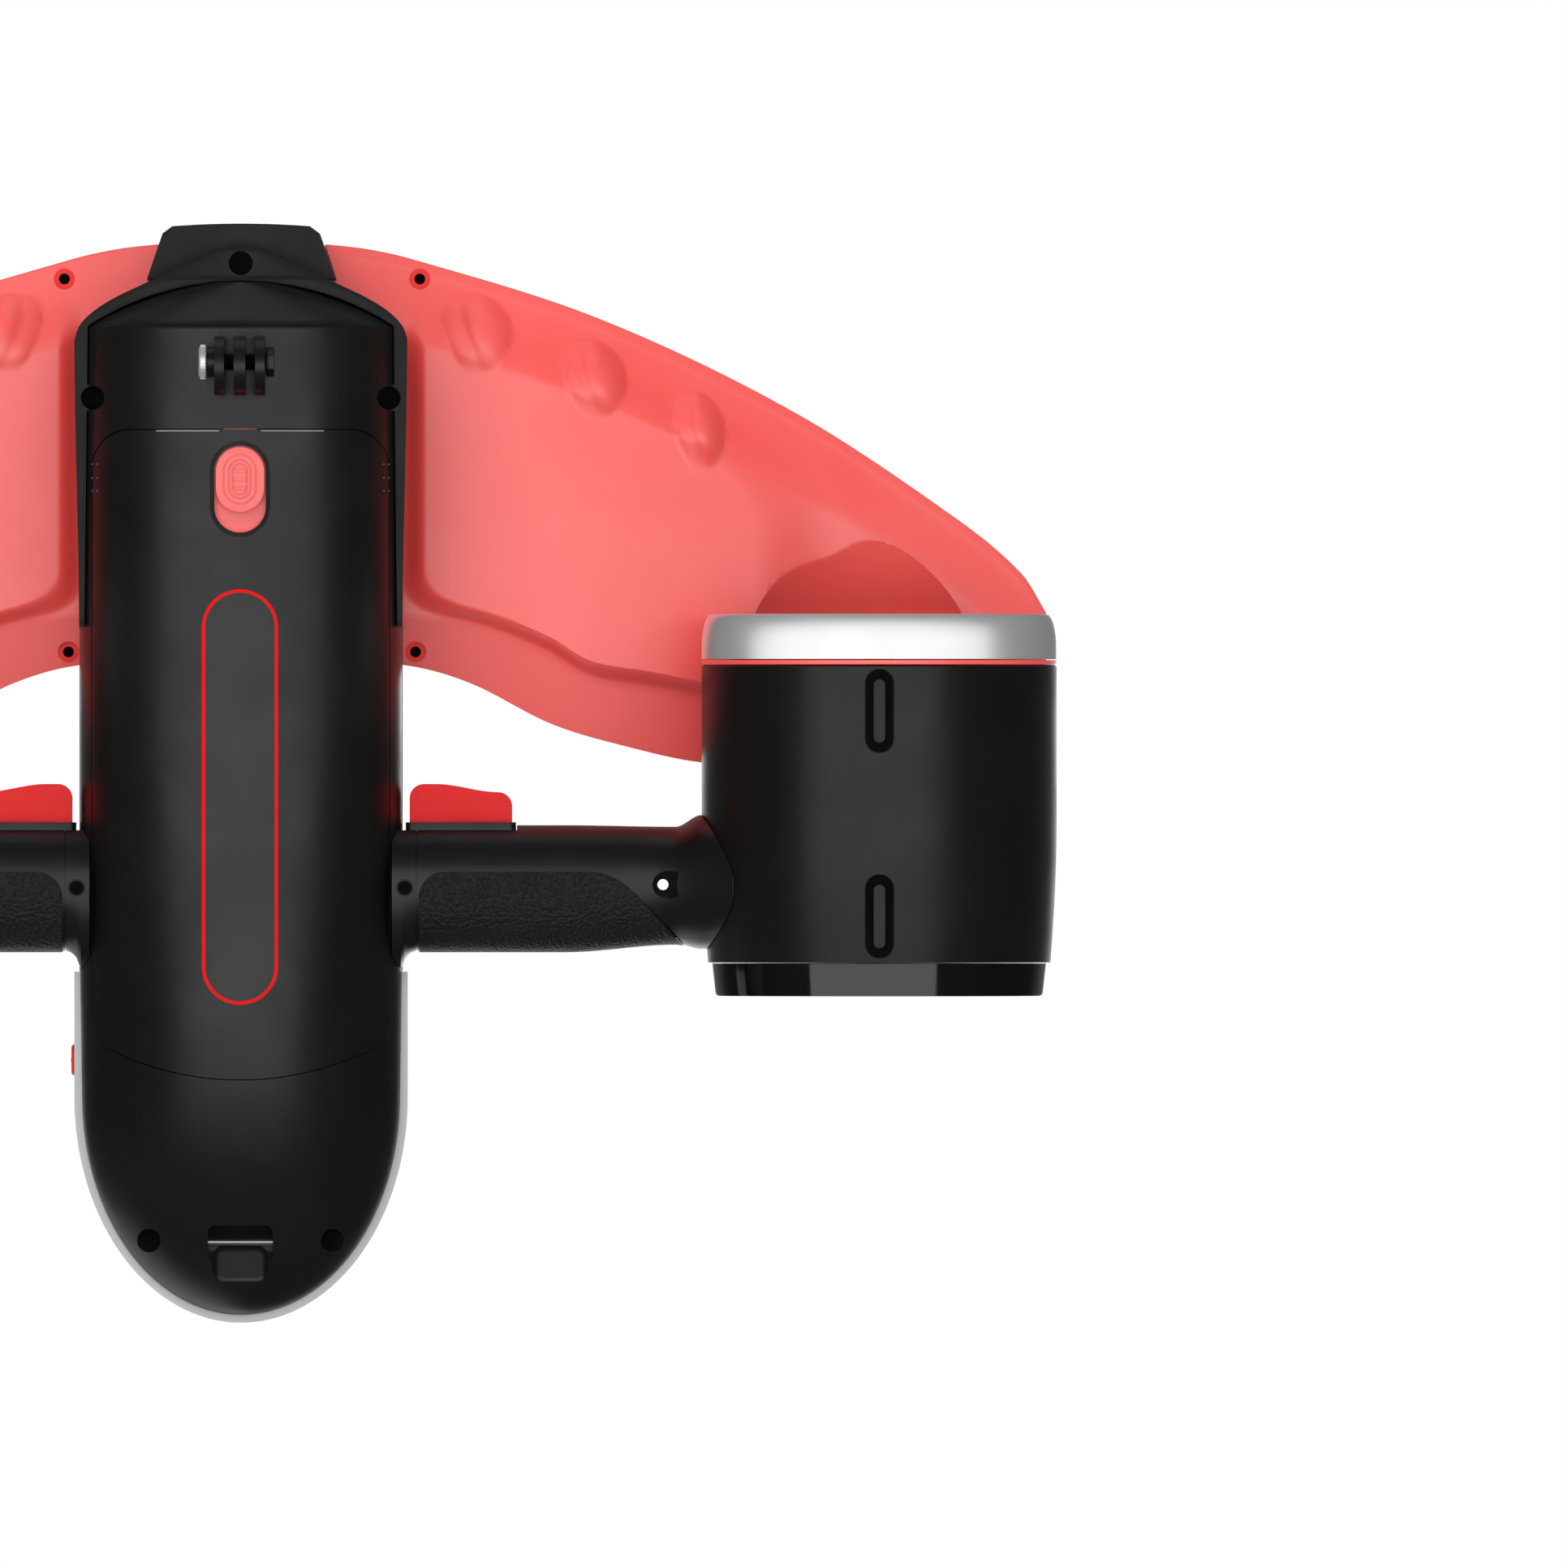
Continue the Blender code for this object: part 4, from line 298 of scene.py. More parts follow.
class Form:
    """A closed shape in the scooter's own frame, reshaped step by step."""

    def __init__(self, mesh: Mesh) -> None:
        """Hold a mesh whose place is in its vertices."""
        self.mesh = mesh

    @classmethod
    def from_bmesh(cls, bm: bmesh.types.BMesh, merge: float = 1e-7) -> "Form":
        """Close a bmesh into a form whose faces point outwards.

        Args:
            bm: The shape, which is freed.
            merge: Distance within which points become one.

        Returns:
            The form.
        """
        bmesh.ops.remove_doubles(bm, verts=bm.verts, dist=merge)
        bmesh.ops.recalc_face_normals(bm, faces=bm.faces)
        mesh = bpy.data.meshes.new("form")
        bm.to_mesh(mesh)
        bm.free()
        return cls(mesh)

    @classmethod
    def loft(cls, rings: Sequence[Sequence[Point]]) -> "Form":
        """A solid through closed rings of equally many points, with both ends capped.

        Args:
            rings: The rings in order.

        Returns:
            The solid.
        """
        bm = bmesh.new()
        rows = [[bm.verts.new(point) for point in ring] for ring in rings]
        count = len(rows[0])
        for near, far in zip(rows, rows[1:]):
            for i in range(count):
                j = (i + 1) % count
                bm.faces.new((near[i], near[j], far[j], far[i]))
        bm.faces.new(rows[0])
        bm.faces.new(rows[-1])
        return cls.from_bmesh(bm)

    @classmethod
    def turned(cls, profile: Outline, steps: int = 144) -> "Form":
        """A shape turned about the Y axis.

        Args:
            profile: (radius, y) points, closed to a ring unless the first is on the axis.
            steps: Facets round the axis.

        Returns:
            The form.
        """
        bm = bmesh.new()
        verts = [bm.verts.new((radius, y, 0.0)) for radius, y in profile]
        edges = [bm.edges.new(pair) for pair in zip(verts, verts[1:])]
        if profile[0][0] > 0.0:
            edges.append(bm.edges.new((verts[-1], verts[0])))
        bmesh.ops.spin(bm, geom=verts + edges, cent=(0, 0, 0), axis=(0, 1, 0), angle=ROUND, steps=steps)
        return cls.from_bmesh(bm, 1e-6)

    @classmethod
    def drum(cls, radius: float, first: float, last: float, steps: int = 48) -> "Form":
        """A cylinder about the Y axis, from one place to another."""
        return cls.turned([(0.0, first), (radius, first), (radius, last), (0.0, last)], steps)

    @classmethod
    def plate(cls, outline: Outline, low: float, high: float, hole: Outline | None = None) -> "Form":
        """A flat outline from one height to another.

        Args:
            outline: Its points.
            low: Height of the underside.
            high: Height of the top.
            hole: The points of a hole through it.

        Returns:
            The form.
        """
        curve = bpy.data.curves.new("outline", "CURVE")
        curve.dimensions = "2D"
        curve.fill_mode = "BOTH"
        curve.extrude = (high - low) / 2
        for points in (outline, hole) if hole else (outline,):
            spline = curve.splines.new("POLY")
            spline.points.add(len(points) - 1)
            for point, (x, y) in zip(spline.points, points):
                point.co = (x, y, 0.0, 1.0)
            spline.use_cyclic_u = True
        bm = bmesh.new()
        bm.from_mesh(evaluated_mesh(curve))
        bmesh.ops.translate(bm, vec=(0.0, 0.0, (low + high) / 2), verts=bm.verts)
        return cls.from_bmesh(bm, 1e-6)

    @classmethod
    def box(cls, low: Point, high: Point) -> "Form":
        """A box between two corners.

        Args:
            low: The lowest corner.
            high: The highest corner.

        Returns:
            The box.
        """
        bm = bmesh.new()
        bmesh.ops.create_cube(bm, size=1.0)
        span = Vector(high) - Vector(low)
        place = Matrix.Translation((Vector(low) + Vector(high)) / 2) @ Matrix.Diagonal((*span, 1.0))
        bmesh.ops.transform(bm, matrix=place, verts=bm.verts)
        return cls.from_bmesh(bm)

    @classmethod
    def rod(cls, radius: float, low: float, high: float, steps: int = 48, tip: float | None = None) -> "Form":
        """A cylinder or cone about Z.

        Args:
            radius: Radius at the lower end.
            low: Height of the lower end.
            high: Height of the upper end.
            steps: Facets round it.
            tip: Radius at the upper end, if it differs.

        Returns:
            The form.
        """
        bm = bmesh.new()
        upper = radius if tip is None else tip
        bmesh.ops.create_cone(bm, cap_ends=True, segments=steps, radius1=radius, radius2=upper,
                              depth=high - low)
        bmesh.ops.translate(bm, vec=(0.0, 0.0, (low + high) / 2), verts=bm.verts)
        return cls.from_bmesh(bm)

    def moved(self, matrix: Matrix) -> "Form":
        """A copy under a matrix, turned the right way out if the matrix mirrors.

        Args:
            matrix: Where the copy goes.

        Returns:
            The copy.
        """
        mesh = self.mesh.copy()
        mesh.transform(matrix)
        if matrix.determinant() < 0:
            mesh.flip_normals()
        return Form(mesh)

    def at(self, x: float, y: float, z: float = 0.0) -> "Form":
        """A copy moved to a place."""
        return self.moved(Matrix.Translation((x, y, z)))

    def turned_by(self, angle: float, axis: str) -> "Form":
        """A copy turned about an axis through the origin."""
        return self.moved(Matrix.Rotation(angle, 4, axis))

    def on(self, side: Side) -> "Form":
        """The form on the left, or its mirror image on the right."""
        return self if side is Side.LEFT else self.moved(Matrix.Scale(-1.0, 4, (1.0, 0.0, 0.0)))

    def changed(self, join: Join, others: Iterable["Form"]) -> "Form":
        """Cut, join or limit the form by others.

        Args:
            join: What each other form does.
            others: The other forms, in order.

        Returns:
            The result.
        """
        tools = [linked("tool", other.mesh) for other in others]

        def add_steps(holder: Object) -> None:
            """One Boolean for each tool."""
            for tool in tools:
                step = holder.modifiers.new("join", "BOOLEAN")
                step.operation = join.value
                step.solver = "EXACT"
                step.object = tool

        mesh = evaluated_mesh(self.mesh, add_steps)
        for tool in tools:
            bpy.data.objects.remove(tool)
        return Form(mesh)

    def cut(self, *others: "Form") -> "Form":
        """The form less the others."""
        return self.changed(Join.CUT, others)

    def add(self, *others: "Form") -> "Form":
        """The form joined to the others."""
        return self.changed(Join.ADD, others)

    def limit(self, other: "Form") -> "Form":
        """What the form shares with another."""
        return self.changed(Join.LIMIT, [other])

    def rounded(self, width: float = FINE_ROUNDING, segments: int = 2, angle: float = 38.0) -> "Form":
        """Round the edges that are sharper than an angle.

        Args:
            width: The rounding's width.
            segments: Its facets.
            angle: Least angle of an edge, in degrees.

        Returns:
            The result.
        """
        def add_step(holder: Object) -> None:
            """A bevel by angle."""
            step = holder.modifiers.new("rounding", "BEVEL")
            step.width = width
            step.segments = segments
            step.limit_method = "ANGLE"
            step.angle_limit = radians(angle)
            step.miter_outer = "MITER_ARC"

        return Form(evaluated_mesh(self.mesh, add_step))

    def shaded(self, angle: float) -> Mesh:
        """The mesh, shaded smooth up to an angle in degrees.

        Args:
            angle: Edges sharper than this stay sharp.

        Returns:
            The mesh.
        """
        self.mesh.shade_smooth()
        self.mesh.set_sharp_from_angle(angle=radians(angle))
        return self.mesh


class Tree:
    """Builds one node tree, of a material, the world, a shader group or a geometry group."""

    SOCKETS = {int: "NodeSocketInt", float: "NodeSocketFloat", tuple: "NodeSocketVector"}

    def __init__(self, tree: NodeTree) -> None:
        """Hold the tree that is built."""
        self.tree = tree

    @classmethod
    def group(cls, name: str, kind: str, takes: dict[str, object],
              gives: dict[str, str]) -> tuple["Tree", Sockets]:
        """Begin a node group.

        Args:
            name: The group's name.
            kind: The kind of tree.
            takes: The usual values of its inputs, or the kind of an input that has none.
            gives: The kinds of its outputs.

        Returns:
            The group, and its inputs by name.
        """
        group = cls(bpy.data.node_groups.new(name, kind))
        for label, value in takes.items():
            if isinstance(value, str):
                group.tree.interface.new_socket(label, in_out="INPUT", socket_type=value)
                continue
            socket = group.tree.interface.new_socket(label, in_out="INPUT",
                                                     socket_type=cls.SOCKETS[type(value)])
            socket.default_value = value
        for label, value in gives.items():
            group.tree.interface.new_socket(label, in_out="OUTPUT", socket_type=value)
        return group, {socket.name: socket for socket in group.node("NodeGroupInput").outputs}

    def node(self, kind: str, fed: dict[str | int, object] | None = None, **settings: object) -> Node:
        """A new node.

        Args:
            kind: Its kind.
            fed: What its inputs get, by name or place: a socket or a plain value.
            settings: Its properties.

        Returns:
            The node.
        """
        made = self.tree.nodes.new(kind)
        for name, value in settings.items():
            setattr(made, name, value)
        self.feed(made, fed or {})
        return made

    def feed(self, node: Node, fed: dict[str | int, object]) -> None:
        """Join sockets to a node's inputs, or set the inputs to plain values.

        Args:
            node: The node.
            fed: A socket or a value for each input, by name or number.
        """
        for name, source in fed.items():
            if isinstance(source, NodeSocket):
                self.tree.links.new(source, node.inputs[name])
            else:
                node.inputs[name].default_value = source

    def result(self, kind: str, fed: dict[str | int, object] | None = None, **settings: object) -> NodeSocket:
        """The first output of a new node."""
        return self.node(kind, fed, **settings).outputs[0]

    def calc(self, operation: str, *values: object) -> NodeSocket:
        """The result of one arithmetic step on sockets or plain values."""
        return self.result("ShaderNodeMath", dict(enumerate(values)), operation=operation)

    def mixed(self, first: object, second: object, share: NodeSocket) -> NodeSocket:
        """One colour turning into another by a mask.

        Args:
            first: A colour, or the socket of one, where the mask is 0.
            second: The same where the mask is 1.
            share: The mask.

        Returns:
            The socket of the mixed colour.
        """
        ends = [value if isinstance(value, NodeSocket) else (*value, 1.0) for value in (first, second)]
        fed = {"Factor": share, 6: ends[0], 7: ends[1]}
        return self.node("ShaderNodeMix", fed, data_type="RGBA").outputs[2]


class SkinGroups:
    """The shader groups that the finishes share."""

    @staticmethod
    @cache
    def of(skin: Skin) -> NodeTree:
        """The group of one skin, made when first asked for.

        Args:
            skin: The skin.

        Returns:
            Its node group.
        """
        takes = {"Vector": (0.0, 0.0, 0.0), "Grain": 1500.0, "Drift": 14.0, "Lines": (0.0, 1.0, 0.0)}
        gives = dict.fromkeys(("Height", "Tone", "Gloss"), "NodeSocketFloat")
        tree, start = Tree.group(skin.value, "ShaderNodeTree", takes, gives)
        makers = {Skin.MOULDED: SkinGroups.moulded, Skin.PEBBLED: SkinGroups.pebbled,
                  Skin.TURNED: SkinGroups.turned}
        tree.node("NodeGroupOutput", dict(zip(gives, makers[skin](tree, start))))
        return tree.tree

    @staticmethod
    def drift(tree: Tree, start: Sockets, factor: float) -> NodeSocket:
        """A slow change over the surface, from 0 to 1, at a multiple of the group's drift scale.

        Args:
            tree: The group that is built.
            start: The group's inputs.
            factor: The multiple.

        Returns:
            The change.
        """
        scale = tree.calc("MULTIPLY", start["Drift"], factor)
        noise = tree.result("ShaderNodeTexNoise", {"Detail": 3.0, "Vector": start["Vector"], "Scale": scale})
        fed = {"From Min": 0.3, "From Max": 0.7, "Value": noise}
        return tree.result("ShaderNodeMapRange", fed, interpolation_type="SMOOTHSTEP")

    @classmethod
    def moulded(cls, tree: Tree, start: Sockets) -> tuple[NodeSocket, ...]:
        """Fine spark-eroded grain of a moulded plastic.

        Args:
            tree: The group that is built.
            start: The group's inputs.

        Returns:
            Height, tone and gloss.
        """
        fed = {"Detail": 2.0, "Vector": start["Vector"], "Scale": start["Grain"]}
        height = tree.result("ShaderNodeTexNoise", fed)
        return height, cls.drift(tree, start, 1.0), cls.drift(tree, start, 3.1)

    @classmethod
    def pebbled(cls, tree: Tree, start: Sockets) -> tuple[NodeSocket, ...]:
        """Small round pebbles of a rubber grip.

        Args:
            tree: The group that is built.
            start: The group's inputs.

        Returns:
            Height, tone and gloss.
        """
        fed = {"Smoothness": 0.25, "Vector": start["Vector"], "Scale": start["Grain"]}
        cells = tree.node("ShaderNodeTexVoronoi", fed, feature="SMOOTH_F1")
        height = tree.calc("SUBTRACT", 1.0, cells.outputs["Distance"])
        tone = tree.calc("MULTIPLY", cls.drift(tree, start, 1.0), height)
        return tree.calc("POWER", height, 1.6), tone, height

    @classmethod
    def turned(cls, tree: Tree, start: Sockets) -> tuple[NodeSocket, ...]:
        """Fine lines round a turned metal piece.

        Args:
            tree: The group that is built.
            start: The group's inputs.

        Returns:
            Height, tone and gloss.
        """
        dot = tree.node("ShaderNodeVectorMath", {0: start["Vector"], 1: start["Lines"]},
                        operation="DOT_PRODUCT")
        place = tree.calc("MULTIPLY", dot.outputs["Value"], start["Grain"])
        fed = {"Detail": 3.0, "W": place, "Scale": 1.0}
        lines = tree.result("ShaderNodeTexNoise", fed, noise_dimensions="1D")
        return lines, cls.drift(tree, start, 1.0), cls.drift(tree, start, 2.3)

    @staticmethod
    @cache
    def band() -> NodeTree:
        """Masks of a stadium outline printed on a belly, and of the field inside it.

        Returns:
            The node group.
        """
        takes = {"Vector": (0.0, 0.0, 0.0), "Middle": 0.0, "Reach": 0.05, "Radius": 0.01, "Line": 0.001,
                 "Top": 0.03}
        gives = dict.fromkeys(("Line", "Field"), "NodeSocketFloat")
        tree, start = Tree.group("stadium_band", "ShaderNodeTree", takes, gives)
        place = tree.node("ShaderNodeSeparateXYZ", {0: start["Vector"]}).outputs
        shifted = tree.calc("ABSOLUTE", tree.calc("SUBTRACT", place["Y"], start["Middle"]))
        beyond = tree.calc("MAXIMUM", tree.calc("SUBTRACT", shifted, start["Reach"]), 0.0)
        squares = tree.calc("ADD", tree.calc("POWER", beyond, 2.0),
                            tree.calc("MULTIPLY", place["X"], place["X"]))
        off = tree.calc("SUBTRACT", tree.calc("SQRT", squares), start["Radius"])
        below = tree.calc("LESS_THAN", place["Z"], start["Top"])
        on_line = tree.calc("LESS_THAN", tree.calc("ABSOLUTE", off),
                            tree.calc("MULTIPLY", start["Line"], 0.5))
        inside = tree.calc("LESS_THAN", off, 0.0)
        masks = {"Line": tree.calc("MULTIPLY", on_line, below), "Field": tree.calc("MULTIPLY", inside, below)}
        tree.node("NodeGroupOutput", masks)
        return tree.tree


@dataclass(frozen=True)
class Finish:
    """One finish: its colour in two close tones, its gloss, and its skin close up."""

    name: str
    slot: str
    colour: Colour
    shade: Colour
    roughness: Flat
    metallic: float = 0.0
    specular: float = 0.5
    coat: float = 0.0
    coat_roughness: float = 0.12
    skin: Skin = Skin.MOULDED
    grain: float = 1600.0
    drift: float = 14.0
    relief: float = 0.12
    depth: float = 0.0002
    lines: Point = (0.0, 1.0, 0.0)
    mirror: Point | None = None

    @cache
    def material(self) -> Material:
        """The finish's material, made when first asked for.

        Returns:
            The material.
        """
        made = bpy.data.materials.new(f"{self.name}_finish")
        made.use_nodes = True
        tree = Tree(made.node_tree)
        shader = made.node_tree.nodes["Principled BSDF"]
        coords = tree.node("ShaderNodeTexCoord").outputs["Object"]
        close_up = {"Vector": coords, "Grain": self.grain, "Drift": self.drift, "Lines": self.lines}
        skin = tree.node("ShaderNodeGroup", node_tree=SkinGroups.of(self.skin))
        tree.feed(skin, close_up)
        tone = tree.mixed(self.colour, self.shade, skin.outputs["Tone"])
        low, high = self.roughness
        gloss = tree.result("ShaderNodeMapRange",
                            {"To Min": low, "To Max": high, "Value": skin.outputs["Gloss"]})
        bump = {"Strength": self.relief, "Distance": self.depth, "Height": skin.outputs["Height"]}
        tree.feed(shader, {"Metallic": self.metallic, "Specular IOR Level": self.specular,
                           "Coat Weight": self.coat, "Coat Roughness": self.coat_roughness,
                           "Roughness": gloss,
                           "Normal": self.polished(tree, tree.result("ShaderNodeBump", bump)),
                           "Base Color": self.printed(tree, coords, tone)})
        return made

    def polished(self, tree: Tree, normal: NodeSocket) -> NodeSocket:
        """The normal, stretched where a polish widens what the surface mirrors.

        Args:
            tree: The material's tree.
            normal: The bumped normal.

        Returns:
            The normal to use.
        """
        if self.mirror is None:
            return normal
        stretch = tree.result("ShaderNodeVectorMath", {0: normal, 1: self.mirror}, operation="MULTIPLY")
        return tree.result("ShaderNodeVectorMath", {0: stretch}, operation="NORMALIZE")

    def printed(self, tree: Tree, coords: NodeSocket, tone: NodeSocket) -> NodeSocket:
        """The colour with any print on it; a plain finish has none."""
        return tone


@dataclass(frozen=True)
class BandFinish(Finish):
    """A finish that carries a stadium outline with a paler field."""

    middle: float = 0.0074
    reach: float = 0.0522
    radius: float = 0.0112
    line: float = 0.001
    top: float = 0.03
    line_colour: Colour = (0.57, 0.0075, 0.0085)
    field_colour: Colour = (0.0078, 0.0078, 0.0082)

    def printed(self, tree: Tree, coords: NodeSocket, tone: NodeSocket) -> NodeSocket:
        """The colour with the outline and its field printed on it; the outline's ink is matt.

        Args:
            tree: The material's tree.
            coords: Places on the object.
            tone: The plain colour.

        Returns:
            The printed colour.
        """
        band = tree.node("ShaderNodeGroup", node_tree=SkinGroups.band())
        tree.feed(band, {"Vector": coords, "Middle": self.middle, "Reach": self.reach, "Radius": self.radius,
                         "Line": self.line, "Top": self.top})
        line = band.outputs["Line"]
        matt = tree.calc("MULTIPLY_ADD", line, -self.specular, self.specular)
        tree.feed(tree.tree.nodes["Principled BSDF"], {"Specular IOR Level": matt})
        return tree.mixed(tree.mixed(tone, self.field_colour, band.outputs["Field"]), self.line_colour, line)


def grey(level: float, blue: float = 0.0) -> Colour:
    """A grey with a little more blue."""
    return (level, level, level + blue)


CORAL = Finish("coral_plastic", "coral_plastic", (0.795, 0.060, 0.051), (0.780, 0.056, 0.047), (0.40, 0.47),
               specular=1.0, coat=1.0, coat_roughness=0.36)
RED = Finish("trigger_red", "red_plastic", (0.53, 0.014, 0.014), (0.48, 0.012, 0.012), (0.40, 0.48),
             specular=0.15)
# Red of the power button; the wing's screw rings also use it as painted shade in their counterbores.
BRIGHT = Finish("bright_red", "bright_red", (0.66, 0.022, 0.020), (0.62, 0.019, 0.017), (0.40, 0.48),
                specular=0.25)
BLACK = Finish("black_satin", "black_satin", grey(0.0030, 0.0002), grey(0.0025, 0.0002), (0.32, 0.40),
               specular=0.6, relief=0.10)
PACK = BandFinish("black_satin_pack", BLACK.slot, BLACK.colour, BLACK.shade, BLACK.roughness,
                  specular=BLACK.specular, relief=BLACK.relief)
TRIM = Finish("black_trim", "black_satin", grey(0.0046, 0.0002), grey(0.0038, 0.0002), (0.40, 0.48),
              specular=0.36, relief=0.10)
DUCT = replace(BLACK, name="black_duct", roughness=(0.33, 0.40), specular=0.5, relief=0.06)
GLOSS = Finish("black_gloss", "black_gloss", grey(0.0022, 0.0002), grey(0.0018, 0.0002), (0.06, 0.10),
               specular=0.8, relief=0.02, mirror=(1.0, 0.0, 1.0))
# Near-black, near-matt finish, used as painted shade. It makes the screw heads read as dark holes in their
# wells (partly the screws' own black, partly painted shade), the mount's stem as the dark gaps between the
# fingers, and the feet's base pads as the dark slots round their ribs.
SHADE_BLACK = Finish("dark_recess", "black_satin", grey(0.0012, 0.0001), grey(0.0010, 0.0001), (0.6, 0.7),
              specular=0.1)
RUBBER = Finish("black_rubber", "black_rubber", grey(0.0050, 0.0002), grey(0.0040, 0.0002), (0.55, 0.65),
                specular=0.3)
GRIP = Finish("pebbled_rubber", "black_rubber", grey(0.0045, 0.0002), grey(0.0090, 0.0004), (0.62, 0.50),
              specular=0.45, skin=Skin.PEBBLED, grain=900.0, drift=30.0, relief=0.9, depth=0.0006)
GREY = Finish("grey_plastic", "grey_plastic", grey(0.42, 0.005), grey(0.39, 0.005), (0.42, 0.50),
              specular=0.4)
# Pale grey of the thin strips at the battery's front seam: a painted highlight on the seam's edge.
SEAM_HIGHLIGHT = Finish("pale_trim", "grey_plastic", grey(0.17, 0.005), grey(0.15, 0.005), (0.34, 0.42))
DIM = Finish("dim_dots", "grey_plastic", (0.085, 0.088, 0.088), (0.075, 0.078, 0.078), (0.34, 0.42),
             specular=0.3)
CHROME = Finish("chrome", "chrome", (0.86, 0.865, 0.87), (0.83, 0.835, 0.84), (0.28, 0.34), metallic=0.82,
                skin=Skin.TURNED, grain=9000.0, relief=0.03, mirror=(1.0, 1.0, 2.2))
STEEL = Finish("steel", "steel", (0.62, 0.63, 0.64), (0.56, 0.57, 0.58), (0.24, 0.34), metallic=1.0,
               skin=Skin.TURNED, grain=9000.0, relief=0.10, lines=(1.0, 0.0, 0.0))
GLASS = Finish("dark_glass", "dark_glass", (0.007, 0.008, 0.010), (0.006, 0.007, 0.009), (0.04, 0.07),
               coat=1.0, coat_roughness=0.04, relief=0.01)
COPPER = Finish("copper", "copper", (0.66, 0.27, 0.14), (0.55, 0.21, 0.10), (0.30, 0.42), metallic=1.0,
                skin=Skin.TURNED, grain=2500.0, relief=0.6)
BOARD = Finish("board_green", "board_green", (0.02, 0.15, 0.065), (0.015, 0.11, 0.05), (0.40, 0.50),
               drift=120.0)
CELL = Finish("cell_blue", "cell_blue", (0.05, 0.15, 0.34), (0.04, 0.12, 0.28), (0.30, 0.40), drift=40.0)


class Repeats:
    """The geometry trees that repeat a shape, and what they make."""

    @staticmethod
    def start(name: str, numbers: dict[str, float]) -> tuple[Tree, Sockets]:
        """Begin a tree with a geometry, its numbers and a material as inputs.

        Args:
            name: The tree's name.
            numbers: The usual values of its numbers.

        Returns:
            The tree, and its inputs by name.
        """
        takes = {"Geometry": "NodeSocketGeometry", **numbers, "Material": "NodeSocketMaterial"}
        tree, start = Tree.group(name, "GeometryNodeTree", takes, {"Geometry": "NodeSocketGeometry"})
        tree.tree.is_modifier = True
        return tree, start

    @staticmethod
    def finished(tree: Tree, start: Sockets, fed: dict[str, NodeSocket]) -> NodeTree:
        """End a tree: copy on points, realise the copies, set their material and put them out.

        Args:
            tree: The tree that ends.
            start: Its inputs.
            fed: What the copying takes.

        Returns:
            The node tree.
        """
        copies = tree.result("GeometryNodeInstanceOnPoints", fed)
        real = tree.result("GeometryNodeRealizeInstances", {"Geometry": copies})
        painted = tree.result("GeometryNodeSetMaterial", {"Geometry": real, "Material": start["Material"]})
        tree.node("NodeGroupOutput", {"Geometry": painted})
        return tree.tree

    @classmethod
    @cache
    def round_axis(cls) -> NodeTree:
        """Copies of the given shape, evenly turned about the Y axis.

        Returns:
            The node tree.
        """
        tree, start = cls.start("round_axis", {"Count": 6})
        points = tree.result("GeometryNodePoints", {"Count": start["Count"]})
        step = tree.calc("DIVIDE", ROUND, start["Count"])
        turn = tree.calc("MULTIPLY", tree.result("GeometryNodeInputIndex"), step)
        angle = tree.result("ShaderNodeCombineXYZ", {"Y": turn})
        return cls.finished(tree, start, {"Points": points, "Instance": start["Geometry"], "Rotation": angle})

    @classmethod
    @cache
    def screw_heads(cls) -> NodeTree:
        """A socket-head screw at each given point, facing down.

        Returns:
            The node tree.
        """
        tree, start = cls.start("screw_heads", {"Radius": 0.0016, "Depth": 0.001, "Socket Radius": 0.0008})
        head, socket = (tree.result("GeometryNodeMeshCylinder",
                                    {"Vertices": count, "Radius": start[radius], "Depth": start["Depth"]})
                        for count, radius in ((24, "Radius"), (6, "Socket Radius")))
        drop = tree.result("ShaderNodeCombineXYZ", {"Z": tree.calc("MULTIPLY", start["Depth"], -0.5)})
        lowered = tree.result("GeometryNodeTransform", {"Geometry": socket, "Translation": drop})
        bored = tree.result("GeometryNodeMeshBoolean", {"Mesh 1": head, "Mesh 2": lowered},
                            operation="DIFFERENCE", solver="EXACT")
        return cls.finished(tree, start, {"Points": start["Geometry"], "Instance": bored})

    @classmethod
    @cache
    def domes(cls) -> NodeTree:
        """A small dome at each given point.

        Returns:
            The node tree.
        """
        tree, start = cls.start("domes", {"Radius": 0.0006})
        ball = tree.result("GeometryNodeMeshIcoSphere", {"Subdivisions": 3, "Radius": start["Radius"]})
        smooth = tree.result("GeometryNodeSetShadeSmooth", {0: ball})
        return cls.finished(tree, start, {"Points": start["Geometry"], "Instance": smooth})

    @staticmethod
    def made(mesh: Mesh, tree: NodeTree, finish: Finish, **numbers: float) -> Form:
        """Run a tree over a mesh.

        Args:
            mesh: The shape or the points that the tree takes.
            tree: The geometry tree.
            finish: The finish that its copies get.
            numbers: Values of its inputs, by name with underscores for spaces.

        Returns:
            The realised copies.
        """
        names = {item.name: item.identifier for item in tree.interface.items_tree if item.in_out == "INPUT"}

        def add_tree(holder: Object) -> None:
            """The tree as a modifier with its inputs set."""
            step = holder.modifiers.new("repeat", "NODES")
            step.node_group = tree
            for name, value in numbers.items():
                step[names[name.replace("_", " ")]] = value
            step[names["Material"]] = finish.material()

        return Form(evaluated_mesh(mesh, add_tree))

    @classmethod
    def screws(cls, heads: Sequence[Point], radius: float, depth: float, socket: float) -> Form:
        """Socket-head screws.

        Args:
            heads: The middle of each head.
            radius: The heads' radius.
            depth: Their depth.
            socket: Their sockets' radius.

        Returns:
            All the heads.
        """
        # The heads get the near-black painted-shade finish, so that each well reads as a dark hole.
        return cls.made(cls.points(heads), cls.screw_heads(), SHADE_BLACK, Radius=radius, Depth=depth,
                        Socket_Radius=socket)

    @staticmethod
    def points(places: Sequence[Point]) -> Mesh:
        """A mesh of loose points.

        Args:
            places: Where the points are.

        Returns:
            The mesh.
        """
        mesh = bpy.data.meshes.new("points")
        mesh.from_pydata(list(places), [], [])
        return mesh


